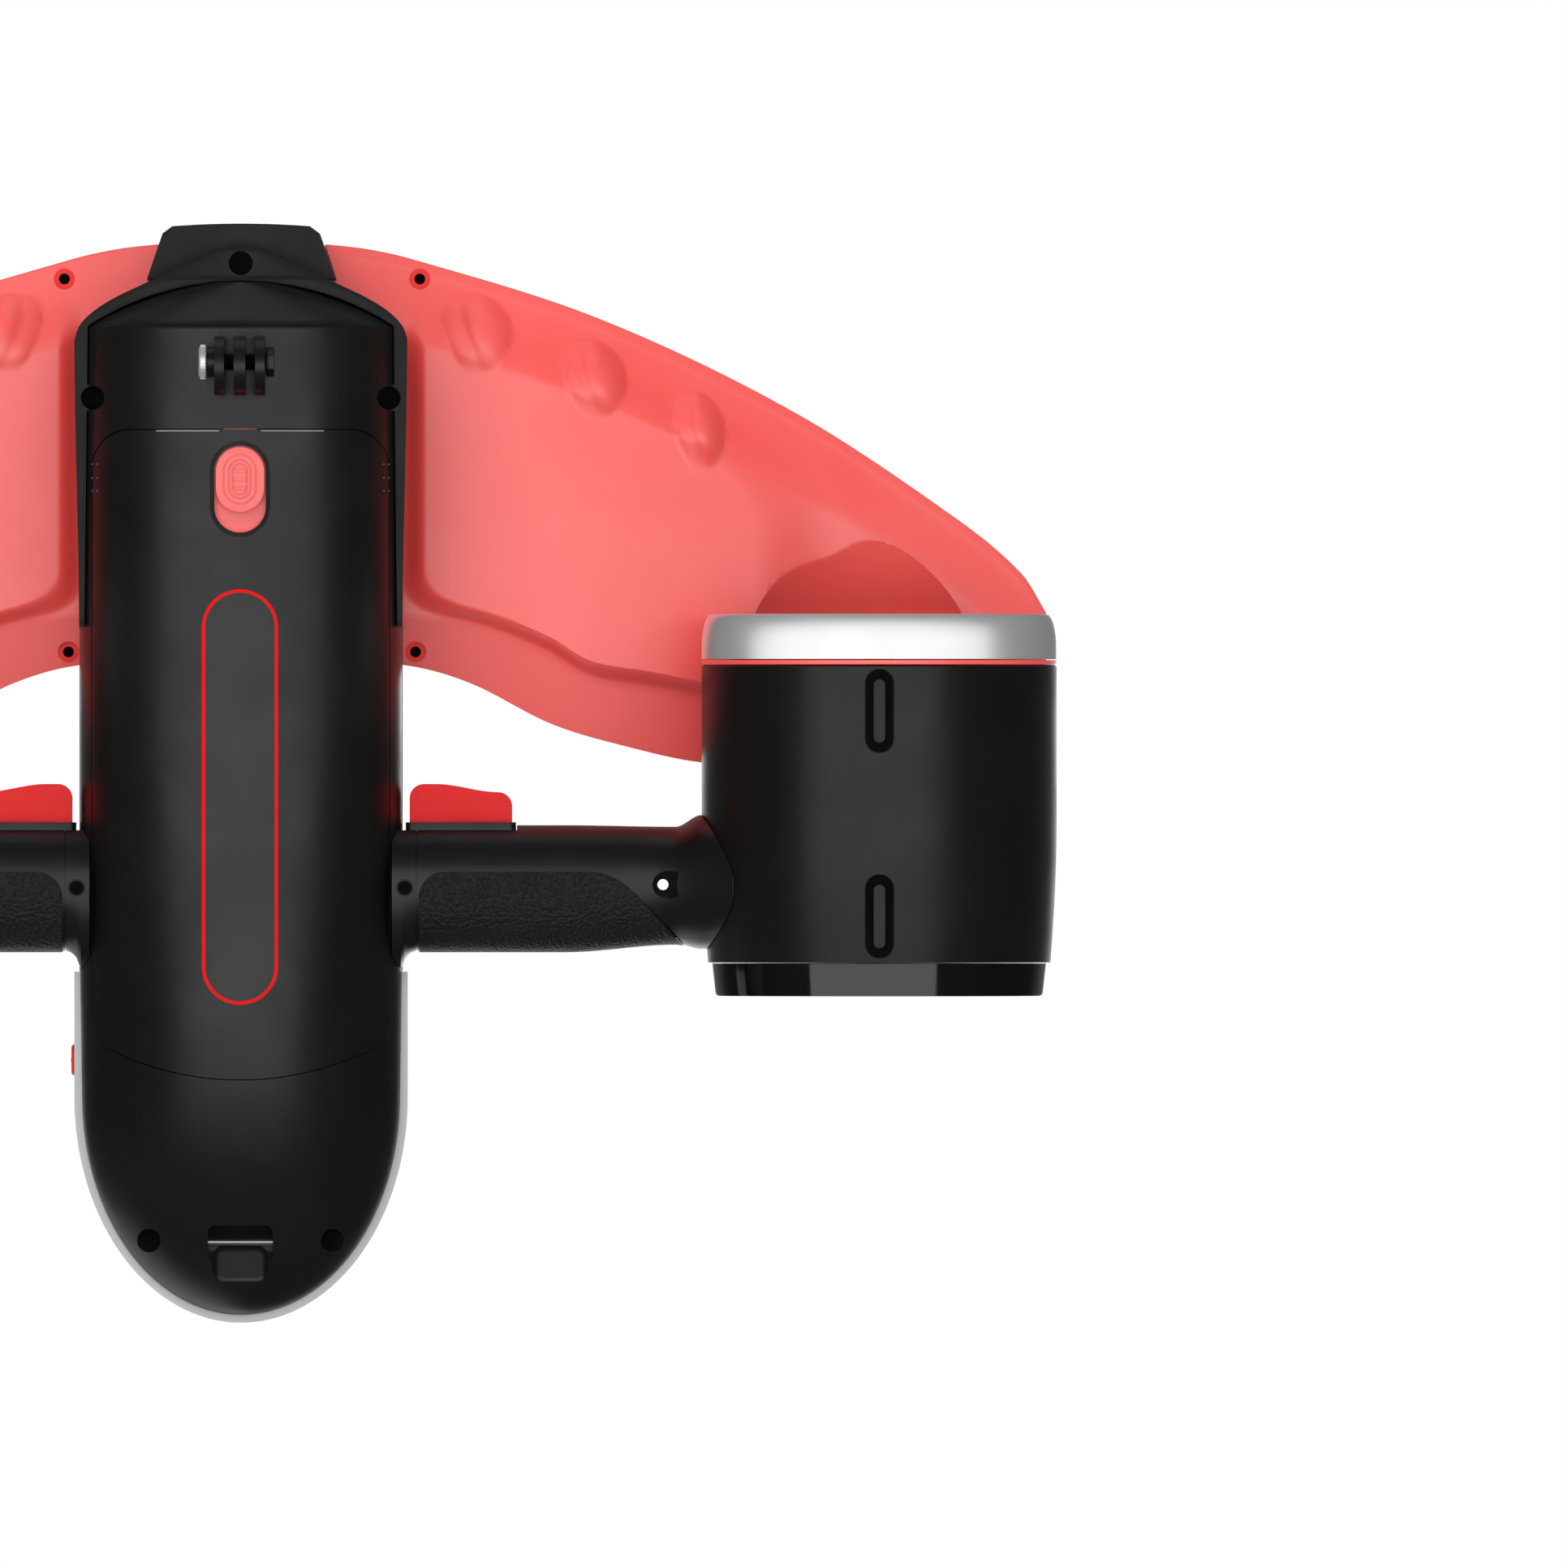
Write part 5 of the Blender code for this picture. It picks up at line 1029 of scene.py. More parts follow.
@dataclass(frozen=True)
class SubAssembly:
    """Sizes that several sub-assemblies keep to, in metres, and how their pieces are placed."""

    gap: float = 0.0003
    axis_x: float = 0.19675
    axis_z: float = 0.0565
    duct_radius: float = 0.05475
    duct_y: float = -0.0333
    duct_straight: float = 0.0455
    duct_end: float = 0.0584
    duct_taper: float = 0.00195
    duct_wall: float = 0.0032
    intake_y: float = -0.0489
    lip_radius: float = 0.051
    deck_z: float = 0.0568
    deck_height: float = 0.0312
    part_z: float = 0.0565
    belly_z: float = 0.0185
    bay_z: float = 0.05
    body_half_width: float = 0.0498
    battery_front: float = -0.1059
    battery_rear: float = 0.0946
    battery_half_width: float = 0.046

    def duct_outer(self, y: float) -> float:
        """The duct's outer radius at one station."""
        share = part_way(y, self.duct_y + self.duct_straight, self.duct_end)
        return self.duct_radius - self.duct_taper * share ** 2

    def duct_stations(self, count: int = 14) -> list[float]:
        """Stations along the duct, closer together where it tapers."""
        return [self.duct_y] + spread(self.duct_y + self.duct_straight, self.duct_end, count)

    @staticmethod
    def place(name: str, form: Form, finish: Finish, node: str = "", body: str = Body.FRAME,
              sharp: float = SHARP_EDGE) -> Object:
        """Make a piece of a form.

        Args:
            name: The piece's name.
            form: Its shape, in the scooter's own frame.
            finish: Its finish.
            node: The CAD node that it takes the place of, if any.
            body: The body that it rides on.
            sharp: Edges sharper than this stay sharp, in degrees.

        Returns:
            The piece.
        """
        mesh = form.shaded(sharp)
        mesh.materials.clear()
        mesh.materials.append(finish.material())
        piece = linked(name, mesh)
        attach(piece, str(body))
        if node:
            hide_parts(node)
        LOG.info("%s: %d faces on %s", name, len(mesh.polygons), body)
        return piece


@dataclass(frozen=True)
class Sided(SubAssembly):
    """A sub-assembly that each side has; its forms are made for the left."""

    side: Side = Side.LEFT

    def put(self, name: str, form: Form, finish: Finish, node: str = "", body: Body = Body.FRAME,
            sharp: float = SHARP_EDGE) -> None:
        """Place a piece on this side, whose tag its name, its node and its moving body end with.

        Args:
            name: The piece's name, before the tag.
            form: Its form on the left.
            finish: Its finish.
            node: The node that it replaces, if any, before the tag.
            body: The body that it rides on.
            sharp: Edges sharper than this stay sharp, in degrees.
        """
        tag = self.side.tag
        self.place(f"{name}_{tag}", form.on(self.side), finish, node and f"{node}_{tag}",
                   body.of(self.side), sharp)


@dataclass(frozen=True)
class Wing(SubAssembly):
    """The moulded coral wing that carries both thrusters."""

    half_span: float = 0.2484
    flange_z: float = 0.0883
    flange_tilt: float = 0.2
    scoop_radius: float = 0.0439
    scoop_reach: float = 0.0237
    edge: float = 0.0025
    edge_reach: float = 0.2
    crown: float = 0.033
    crown_fade: float = 0.45
    crown_lead: float = 0.6
    crown_fullness: float = 0.8
    duct_cover: float = 0.0085
    nose_rise: float = 0.0065
    nose_length: float = 0.026
    nose_round: float = 0.0009
    nose_round_reach: float = 0.003
    leading: Sequence[Flat] = ((0.0, -0.1648), (0.135, -0.1626), (0.214, -0.1586), (0.447, -0.1401),
                               (0.688, -0.1114), (0.889, -0.0786), (0.97, -0.0616), (1.0, -0.0496))
    trailing: Sequence[Flat] = ((0.0, -0.038), (0.207, -0.0331), (0.285, -0.0276), (0.386, -0.015),
                                (0.487, -0.0076), (0.567, -0.0034), (0.792, 0.002),
                                (0.93, -0.006), (1.0, -0.033))
    panel_rear: Sequence[Flat] = ((0.214, -0.054), (0.26, -0.0526), (0.322, -0.0484), (0.384, -0.042),
                                  (0.433, -0.0349), (0.508, -0.0315), (0.58, -0.028))
    panel_depth: float = 0.0068
    panel_front_depth: float = 0.0035
    panel_swell: float = 0.055
    panel_setback: float = 0.012
    panel_shoulder: float = 0.015
    panel_outer_shoulder: float = 0.028
    panel_outer_margin: float = 0.011
    panel_inner_x: float = 0.0492
    panel_inner_share: float = 0.45
    panel_inner_slope: float = 0.65
    panel_edge: float = 0.005
    panel_corner: float = 0.01
    knuckle_places: Sequence[Point] = ((0.3, 0.0092, 0.0048), (0.445, 0.0084, 0.007), (0.574, 0.0067, 0.0089))
    knuckle_height: float = 0.0062
    knuckle_length: float = 0.0248
    knuckle_reach: float = 0.0337
    knuckle_crest: float = 0.36
    knuckle_bluntness: float = 0.7
    lobe_offset: float = 0.42
    lobe_delay: float = 0.07
    lobe_height: float = 0.55
    boss_places: Sequence[Flat] = ((0.0549, -0.1526), (0.0536, -0.0374))
    boss_radius: float = 0.00325
    boss_depth: float = 0.0012
    screw_radius: float = 0.0017
    screw_depth: float = 0.0012
    screw_socket: float = 0.0009
    screw_proud: float = 0.0002
    # Thickness of the darker red ring that paints the shade in each counterbore.
    seat_thickness: float = 0.0006
    top_points: int = 60
    top_spacing: float = 1.6
    under_points: Sequence[int] = (70, 18, 26, 10)
    under_spacing: float = 1.3
    groove_reach: Flat = (-0.002, 0.008)
    station_counts: Sequence[int] = (10, 22, 120, 34, 18)

    def lift(self, x: float) -> float:
        """Height of the flange level, which climbs from the body to the ducts.

        Args:
            x: Distance from the middle plane.

        Returns:
            The height.
        """
        over_duct = self.axis_z + self.scoop_radius + self.nose_round
        return between(self.flange_z, over_duct,
                       ease(part_way(x, self.axis_x - 2 * self.duct_radius, self.axis_x)))

    def bump(self, across: float, share: float) -> float:
        """A knuckle's height, from 0 to 1: an egg, blunt and steep in front and drawn out behind.

        Args:
            across: Distance from the knuckle's middle, in half widths.
            share: Distance behind the knuckle's front, in lengths.

        Returns:
            The share of full height.
        """
        if not 0.0 < share < 1.0:
            return 0.0
        if share < self.knuckle_crest:
            profile = sin(share / self.knuckle_crest * QUARTER)
        else:
            profile = 1 - ease((share - self.knuckle_crest) / (1 - self.knuckle_crest))
        width = sin(pi * share ** self.knuckle_bluntness) ** self.knuckle_bluntness
        return profile * max(0.0, 1 - (across / width) ** 2)

    def knuckles(self, x: float, y: float, front: float) -> float:
        """Height of the knuckles behind the leading edge, each with a slim lobe on its inner side.

        Args:
            x: Distance from the middle plane.
            y: The place along Y.
            front: The leading edge's place along Y.

        Returns:
            The height.
        """
        height = 0.0
        for place, half_width, setback in self.knuckle_places:
            share = (y - front - setback) / self.knuckle_length
            across = (x - place * self.half_span) / half_width
            lobe = self.lobe_height * self.bump(across + self.lobe_offset, share - self.lobe_delay)
            height = max(height, self.bump(across, share), lobe)
        return height * self.knuckle_height

    def panel(self, x: float, y: float, front: float) -> float:
        """How far the raised panel and its knuckles stand below the flange level.

        Args:
            x: Distance from the middle.
            y: Place along the body.
            front: Where the leading edge is at x.

        Returns:
            The depth below the flange.
        """
        rear = along(self.panel_rear, x / self.half_span) + self.panel_edge
        behind = y - front - self.panel_setback
        inside = x - self.panel_inner_x
        outside = (self.axis_x - self.panel_outer_margin - x) / self.panel_outer_shoulder
        crisp = ease(soft_min(inside * self.panel_inner_slope, rear - y, self.panel_corner) / self.panel_edge)
        soft = ease(soft_min(behind / self.panel_shoulder, outside, 1.0))
        depth = self.panel_depth * between(self.panel_inner_share, 1.0, ease(inside / self.panel_swell))
        depth = between(self.panel_front_depth, depth, ease(behind / self.panel_swell))
        return crisp * (depth * soft + self.knuckles(x, y, front))

    def under(self, x: float, y: float, front: float) -> float:
        """Height of the underside, with a rounded leading edge.

        Args:
            x: Distance from the middle plane.
            y: The place along Y.
            front: The leading edge's place along Y.

        Returns:
            The height.
        """
        nose = self.nose_rise * (1 - ease((y - front) / self.nose_length))
        behind = max(0.0, y - along(self.panel_rear, x / self.half_span) - self.panel_edge)
        rounding = self.nose_round * sqrt(part_way(y, front, front + self.nose_round_reach))
        return self.lift(x) + nose + self.flange_tilt * behind - self.panel(x, y, front) - rounding

    def over(self, x: float, y: float, front: float, rear: float) -> float:
        """Height of the upper side: a crown that fades outwards, and a canopy over each duct.

        Args:
            x: Distance from the middle.
            y: Place along the body.
            front: Where the leading edge is at x.
            rear: Where the trailing edge is at x.

        Returns:
            The height.
        """
        share = part_way(y, front, rear)
        edge = self.lift(x) + self.nose_rise * (1 - share) + self.edge * share
        fade = 1 - self.crown_fade * ease(x / self.axis_x)
        crown = self.crown * fade * ellipse_end(x, self.axis_x, self.half_span)
        plain = edge + crown * max(0.0, sin(pi * share ** self.crown_lead)) ** self.crown_fullness
        room = (self.duct_radius + self.duct_cover) ** 2 - (x - self.axis_x) ** 2
        canopy = between(edge, self.axis_z + sqrt(max(0.0, room)), ease(part_way(y, front, self.intake_y)))
        least = self.under(x, y, front) + self.edge * ease(share / self.edge_reach)
        return max(least, -soft_min(-plain, -canopy, self.duct_cover))

    def ring(self, x: float) -> list[Point]:
        """The section at one station: over the top from the rear, then back along the underside.

        Args:
            x: The station.

        Returns:
            The section's points.
        """
        side = abs(x)
        place = side / self.half_span
        front, rear = along(self.leading, place), along(self.trailing, place)
        ring = []
        for share in spread(1.0, 0.0, self.top_points):
            y = between(front, rear, share ** self.top_spacing)
            ring.append((x, y, self.over(side, y, front, rear)))
        step = min(along(self.panel_rear, place), rear - 2 * self.panel_edge)
        knuckle_end = front + min(self.knuckle_reach, (step - front) / 2)
        corner = max(knuckle_end + self.panel_edge, step - self.panel_corner)
        counts = self.under_points
        under = [between(front, knuckle_end, share ** self.under_spacing)
                 for share in spread(0.0, 1.0, counts[0])[1:]]
        stops = (knuckle_end, corner, step + self.panel_edge, rear)
        for first, last, count in zip(stops, stops[1:], counts[1:]):
            under += spread(first, last, count)[1:]
        return ring + [(x, y, self.under(side, y, front)) for y in under]

    def stations(self) -> list[float]:
        """Stations from tip to tip, close together at the panel's step and the tips.

        Returns:
            The stations in order.
        """
        groove = [self.panel_inner_x + reach for reach in self.groove_reach]
        stops = (0.0, *groove, self.axis_x - self.panel_outer_margin, self.axis_x + self.duct_radius / 2)
        half = []
        for first, last, count in zip(stops, stops[1:], self.station_counts):
            half += spread(first, last, count)[1:]
        half += [between(stops[-1], self.half_span, sin(a))
                 for a in spread(0.0, QUARTER, self.station_counts[-1])[1:]]
        return [-x for x in reversed(half)] + [0.0] + half

    def scoop(self) -> Form:
        """The room for one thruster, with the bell ahead of its intake.

        Returns:
            The room on the left.
        """
        bell, face = self.intake_y - self.scoop_reach, self.intake_y - self.gap / 6
        profile = [(0.0, bell), (self.scoop_radius, bell)]
        for share in spread(0.0, 1.0, 20)[1:]:
            profile.append((between(self.scoop_radius, self.lip_radius, share), between(bell, face, share)))
        profile.append((self.duct_radius + self.gap, face))
        profile += [(self.duct_outer(y) + self.gap, y) for y in self.duct_stations()]
        profile.append((0.0, self.duct_end))
        return Form.turned(profile, 128).at(self.axis_x, 0.0, self.axis_z)

    def build(self, cap_room: Form) -> None:
        """Make the wing, its screws, and a darker red ring round each screw that paints the shade in its
        counterbore.

        Args:
            cap_room: The room that the nose cap takes.
        """
        tools, heads, rings = [cap_room], [], []
        for side in Side:
            tools.append(self.scoop().on(side))
            for x, y in self.boss_places:
                z = self.under(x, y, along(self.leading, x / self.half_span))
                across, head = side.value * x, z + self.boss_depth - self.screw_proud
                tools.append(Form.rod(self.boss_radius, z - CLEAR, z + self.boss_depth, 40).at(across, y))
                heads.append((across, y, head))
                outer, hole = (stadium(across, y, 2 * r, 2 * r, 24)
                               for r in (self.boss_radius, self.screw_radius))
                rings.append(Form.plate(outer, head - self.seat_thickness, head, hole))
        shell = Form.loft([self.ring(x) for x in self.stations()])
        self.place("wing_skin", shell.cut(*tools), CORAL, "wing", sharp=CRISP_EDGE)
        screws = Repeats.screws(heads, self.screw_radius, self.screw_depth, self.screw_socket)
        # Near-black screw heads: their own black, darkened further as painted shade of the holes.
        self.place("wing_screws", screws, SHADE_BLACK)
        # Darker red rings on the counterbore floors: painted shade round the screws.
        self.place("wing_seats", rings[0].add(*rings[1:]), BRIGHT)


@dataclass(frozen=True)
class Hull(SubAssembly):
    """The black body: belly shell, deck, grey tail, rim, nose cap and the small pieces on them."""

    rim_half_width: float = 0.0513
    rim_end: float = -0.04
    rim_stop: float = -0.045
    rim_start: float = 0.02
    rim_depth: float = 0.0115
    rim_hug: float = 0.966
    rim_round: float = 0.0012
    nose_y: float = -0.1624
    nose_tip: float = 0.00002
    nose_half_width: float = 0.006
    nose_slope: float = 2.1
    nose_rounding: float = 0.016
    gutter_y: float = -0.1514
    gutter_radius: float = 0.091
    gutter_depth: float = 0.02
    gutter_end: float = -0.1386
    gutter_crease: float = 0.003
    gutter_start: float = 0.12
    belly_full: float = -0.131
    front_half_width: float = 0.0485
    tail_seam: float = 0.061
    tail_half_width: float = 0.0514
    tail_centre: float = 0.1
    tail_y: float = 0.1695
    tail_close: float = 1.54
    tail_trim: float = 0.0024
    tail_rise: float = 0.08
    side_step: float = 0.0002
    belly_close: float = 1.545
    belly_power: float = 2.1
    peak_share: float = 0.5
    peak_span: Flat = (-0.013, 0.085)
    deck_power: float = 3.6
    deck_room: Flat = (-0.1, 0.045)
    wall: float = 0.006
    battery_corner: float = 0.012
    battery_bow: float = 0.093
    cap_front: float = -0.1694
    cap_back: float = -0.1524
    cap_front_half: float = 0.0212
    cap_back_half: float = 0.029
    cap_arch: float = 0.0008
    cap_height: float = 0.043
    cap_bevel: float = 0.003
    window_y: float = 0.082
    window_size: Flat = (0.04, 0.02)
    window_sink: float = 0.0008
    window_thickness: float = 0.0015
    button_place: Point = (-0.0514, 0.0885, 0.0663)
    button_radius: float = 0.00475
    button_length: float = 0.008
    button_room: float = 0.0018
    button_proud: float = 0.0012
    button_face: Sequence[Flat] = ((0.00475, 0.0), (0.00255, 0.0004), (0.0006, 0.0002), (0.0, 0.0007))
    pin_y: float = 0.1445
    pin_radius: float = 0.001
    pin_sink: float = 0.0035
    pin_end: float = 0.002
    scoop_half_width: float = 0.01
    scoop_radius: float = 0.0065
    scoop_setback: float = 0.001
    scoop_tail: float = 0.006
    scoop_corner: float = 0.0028
    ramp_share: float = 0.86
    ramp_reach: float = 0.0137
    ramp_corner: float = 0.0036
    ramp_fillet: float = 0.0026
    ramp_ring: float = 0.0005
    ramp_tilt: float = 0.12
    rim_screws: Sequence[Flat] = ((0.0, -0.1571), (0.0456, -0.1156), (-0.0456, -0.1156))
    tail_screws: Sequence[Flat] = ((0.0283, 0.1441), (-0.0283, 0.1441))
    screw_well: float = 0.0037
    screw_well_wall: float = 0.0006
    screw_well_depth: float = 0.006
    screw_proud: float = 0.0008
    screw_sizes: Point = (0.0035, 0.0016, 0.0014)

    @property
    def arc_end(self) -> float:
        """Where the round front of the belly meets its sides."""
        return self.gutter_y + self.gutter_radius - sqrt(self.gutter_radius ** 2 - self.front_half_width ** 2)

    @property
    def tail_end(self) -> float:
        """Where the belly ends, a little inside the grey tail."""
        return self.tail_y - self.tail_trim

    @property
    def pin_z(self) -> float:
        """Height of the lanyard pin, a little inside the tail's skin."""
        return self.part_z - self.lower_depth(self.pin_y) + self.pin_sink

    def upper_half_width(self, y: float) -> float:
        """Half the width of the deck: a bevelled prow, then sides that draw in slightly.

        Args:
            y: The station along the body.

        Returns:
            The half width.
        """
        run = self.nose_slope * max(0.0, y - self.nose_y)
        prow = sqrt(run ** 2 + 2 * run * self.nose_half_width)
        drawn = ease(part_way(y, self.arc_end, self.rim_end))
        return soft_min(prow, between(self.rim_half_width, self.body_half_width, drawn), self.nose_rounding)

    def lower_half_width(self, y: float) -> float:
        """Half the width of the belly shell at one station.

        Args:
            y: The station along the body.

        Returns:
            The half width.
        """
        inset = self.gutter_radius - min(y - self.gutter_y, self.gutter_radius)
        arc_width = sqrt(max(0.0, self.gutter_radius ** 2 - inset ** 2))
        middle = self.body_half_width - self.side_step
        side = between(self.front_half_width, middle, part_way(y, self.arc_end, self.rim_end))
        tail = self.tail_half_width - self.tail_trim
        side += (tail - middle) * part_way(y, self.tail_seam, self.tail_centre)
        return min(arc_width, side) * ellipse_end(y, self.tail_centre, self.tail_end)

    def lower_depth(self, y: float) -> float:
        """Depth of the belly below the parting plane at one station.

        Args:
            y: The station along the body.

        Returns:
            The depth.
        """
        full = self.part_z - self.belly_z
        rise = (full - self.gutter_depth) / (self.gutter_end - self.gutter_y)
        depth = soft_min(self.gutter_depth + rise * (y - self.gutter_y), full, self.gutter_crease)
        return depth * ellipse_end(y, self.tail_rise, self.tail_end)

    def peak(self, y: float) -> float:
        """How far the belly's section is drawn towards a parabola at one station."""
        return self.peak_share * part_way(y, *self.peak_span)

    def lower_section(self, y: float, count: int, grow: float = 0.0) -> list[Point]:
        """The belly's section at one station, grown by a margin.

        Args:
            y: The station along the body.
            count: How many points.
            grow: The margin.

        Returns:
            The section's points.
        """
        section = half_section(self.lower_half_width(y) + grow, -self.lower_depth(y) - grow,
                               self.belly_power, count, self.peak(y))
        return station(section, y, self.part_z)

    def upper_section(self, y: float, count: int, grow: float = 0.0) -> list[Point]:
        """The deck's section at one station, grown by a margin.

        Args:
            y: The station along the body.
            count: How many points.
            grow: The margin.

        Returns:
            The section's points.
        """
        section = half_section(self.upper_half_width(y) + grow, self.deck_height + grow, self.deck_power,
                               count)
        return station(section, y, self.deck_z)

    def belly_form(self) -> Form:
        """The whole belly, before the battery is parted from it.

        Returns:
            The solid belly.
        """
        places = [between(self.gutter_y, self.arc_end, share ** 2)
                  for share in spread(self.gutter_start, 1.0, 24)]
        places += spread(self.arc_end, self.belly_full, 48)[1:]
        places += spread(self.belly_full, self.tail_rise, 22)[1:]
        places += [between(self.tail_rise, self.tail_end, sin(a))
                   for a in spread(0.0, self.belly_close, 40)[1:]]
        return Form.loft([self.lower_section(y, 81) for y in places])

    def battery_outline(self, grow: float) -> Outline:
        """Plan of the battery: round front corners, straight sides and a bowed rear.

        Args:
            grow: The margin round it.

        Returns:
            The outline's points.
        """
        half, front, corner = self.battery_half_width + grow, self.battery_front - grow, self.battery_corner
        bow, centre = self.battery_bow + grow, self.battery_rear - self.battery_bow
        first = arc((half - corner, front + corner), (corner, corner), -QUARTER, 0.0, 14)
        rear = [(x, centre + sqrt(bow ** 2 - x ** 2)) for x in spread(half, -half, 41)]
        return first + rear + [(-x, y) for x, y in reversed(first)]

    @staticmethod
    def across(radius: float, half_length: float, y: float, z: float, steps: int = 48) -> Form:
        """A cylinder along X about one line."""
        return Form.rod(radius, -half_length, half_length, steps).turned_by(QUARTER, "Y").at(0.0, y, z)

    def skin_z(self, x: float, y: float) -> float:
        """Height of the belly's skin at one place.

        Args:
            x: Distance from the middle plane.
            y: The station along the body.

        Returns:
            The height.
        """
        share = min(1.0, abs(x) / self.lower_half_width(y))
        round_part = (1 - share ** self.belly_power) ** (1 / self.belly_power)
        return self.part_z - self.lower_depth(y) * (round_part + self.peak(y) * (1 - share ** 2 - round_part))

    def well(self, place: Flat, floor: float, grow: float = 0.0, low: float = -2 * CLEAR) -> Form:
        """A round well for a screw, up to its floor."""
        return Form.rod(self.screw_well + grow, low, floor).at(*place)

    def belly(self, form: Form, bay_cuts: Sequence[Form]) -> None:
        """Part the bay from the belly shell and let the wells into it.

        Args:
            form: The whole belly.
            bay_cuts: What the bay's fittings take out of its ceiling and front.
        """
        bay = Form.plate(self.battery_outline(0.0), -self.belly_z, self.bay_z)
        half, middle = self.scoop_half_width, self.pin_y + self.scoop_setback
        plan = rounded_box((-half, middle - self.scoop_radius), (half, self.pin_y + self.scoop_tail),
                           self.scoop_corner)
        hollow = self.across(self.scoop_radius, half, middle, self.pin_z - self.pin_sink, 64)
        hollow = hollow.limit(Form.plate(plan, -self.belly_z, self.part_z))
        bore = self.across(self.pin_radius + self.gap, half + self.pin_end, self.pin_y, self.pin_z)
        floors = [self.skin_z(*place) + self.screw_well_depth for place in self.tail_screws]
        wells = [self.well(place, floor) for place, floor in zip(self.tail_screws, floors)]
        rim_floor = self.part_z - self.rim_depth + self.screw_well_depth
        wells += [self.well(place, rim_floor) for place in self.rim_screws[1:]]
        shell = form.cut(bay, hollow, self.ramp(), bore, *bay_cuts, *wells)
        self.place("belly_shell", shell, BLACK, "lower_hull", sharp=CRISP_EDGE)
        self.screw_row("tail_screws", self.tail_screws, floors)
        pin = self.across(self.pin_radius, half + self.pin_end - self.gap, self.pin_y, self.pin_z)
        self.place("lanyard_bar", pin, STEEL, "lanyard_pin")

    def ramp(self) -> Form:
        """The smooth floor behind the lanyard pin, which runs out at the tail's skin.

        Returns:
            The ramp's form.
        """
        half, rear = self.ramp_share * self.scoop_half_width, self.pin_y + self.ramp_reach
        fillet = self.ramp_fillet
        steps = arc((fillet, -fillet), (-fillet, fillet), 0.0, QUARTER, 10)
        rings = []
        for inset, z in [(0.0, -3 * CLEAR)] + steps + [(fillet + self.ramp_ring, 0.0)]:
            outline = rounded_box((inset - half, inset - self.ramp_reach), (half - inset, -inset),
                                  self.ramp_corner - inset)
            rings.append([(x, y, z) for x, y in outline])
        return Form.loft(rings).turned_by(self.ramp_tilt, "X").at(0.0, rear, self.skin_z(0.0, rear))

    def screw_row(self, name: str, places: Sequence[Flat], floors: Sequence[float]) -> None:
        """Place socket-head screws at the bottom of their wells."""
        heads = [(x, y, floor - self.screw_proud) for (x, y), floor in zip(places, floors)]
        # Near-black screw heads: their own black, darkened further as painted shade of the wells.
        self.place(name, Repeats.screws(heads, *self.screw_sizes), SHADE_BLACK)

    def deck(self, cap_room: Form) -> None:
        """The deck shell, hollow over the bay.

        Args:
            cap_room: The room of the nose cap.
        """
        span = self.rim_half_width / self.nose_slope + self.nose_rounding
        prow = [self.nose_y + self.nose_tip + span * share ** 2 for share in spread(0.0, 1.0, 44)]
        shell = Form.loft([self.upper_section(y, 73)
                           for y in prow + spread(prow[-1], self.tail_seam, 24)[1:]])
        half, (front, rear) = self.body_half_width - self.wall, self.deck_room
        room = Form.box((-half, front, self.part_z - self.wall),
                        (half, rear, self.deck_z + self.deck_height - self.wall))
        self.place("deck_shell", shell.cut(room, cap_room), BLACK, "upper_hull", sharp=CRISP_EDGE)

    def tail(self) -> None:
        """The grey tail, its window and its button."""
        places = spread(self.tail_seam + self.gap, self.tail_centre, 16)
        places += [between(self.tail_centre, self.tail_y, sin(a))
                   for a in spread(0.0, self.tail_close, 44)[1:]]
        rings = []
        for y in places:
            share = ellipse_end(y, self.tail_centre, self.tail_y)
            section = half_section(self.tail_half_width * share, self.deck_height * share, self.deck_power,
                                   81)
            rings.append(station(section, y, self.deck_z))
        top = self.deck_z + self.deck_height
        sill = top - self.window_sink - self.window_thickness
        seat = Form.plate(self.window_outline(self.gap), sill - self.gap, top + self.wall)
        hole = Form.rod(self.button_radius + self.gap, -self.button_length,
                        self.button_length + self.button_room)
        hole = hole.turned_by(QUARTER, "Y").at(*self.button_place)
        self.place("tail_shell", Form.loft(rings).cut(seat, hole), GREY, "tail_cover", sharp=CRISP_EDGE)
        pane = Form.plate(self.window_outline(0.0), sill, top - self.window_sink).rounded(segments=3)
        self.place("window_pane", pane, GLASS, "display_window")
        radius, length = self.button_radius, self.button_length
        profile = [(radius - inset, sink - self.button_proud) for inset, sink in self.button_face]
        button = Form.turned(profile + [(radius, length), (0.0, length)], 64).turned_by(-QUARTER, "Z")
        self.place("button_cap", button.at(*self.button_place), BRIGHT, "power_button", Body.BUTTON)

    def window_outline(self, grow: float) -> Outline:
        """The display window's outline: a stadium across the tail."""
        width, length = self.window_size
        return [(y, self.window_y - x) for x, y in stadium(0.0, 0.0, length + 2 * grow, width + 2 * grow)]

    def cap_outline(self, grow: float) -> Outline:
        """Plan of the nose cap: a blunt front, bevelled corners and sides that splay.

        Args:
            grow: The margin round it.

        Returns:
            The outline's points.
        """
        half, front, bevel = self.cap_front_half, self.cap_front - grow, self.cap_bevel
        arch = [(share * half, front + self.cap_arch * share ** 2) for share in spread(0.0, 1.0, 12)[1:-1]]
        return mirrored(arch + [(half + grow, front + self.cap_arch), (half + bevel + grow, front + bevel),
                                (self.cap_back_half + grow, self.cap_back + grow)])

    def cap_room(self) -> Form:
        """The room that the nose cap takes, for the pieces round it."""
        top = self.deck_z + self.cap_height + self.gap
        return Form.plate(self.cap_outline(self.gap), self.deck_z - self.wall, top)

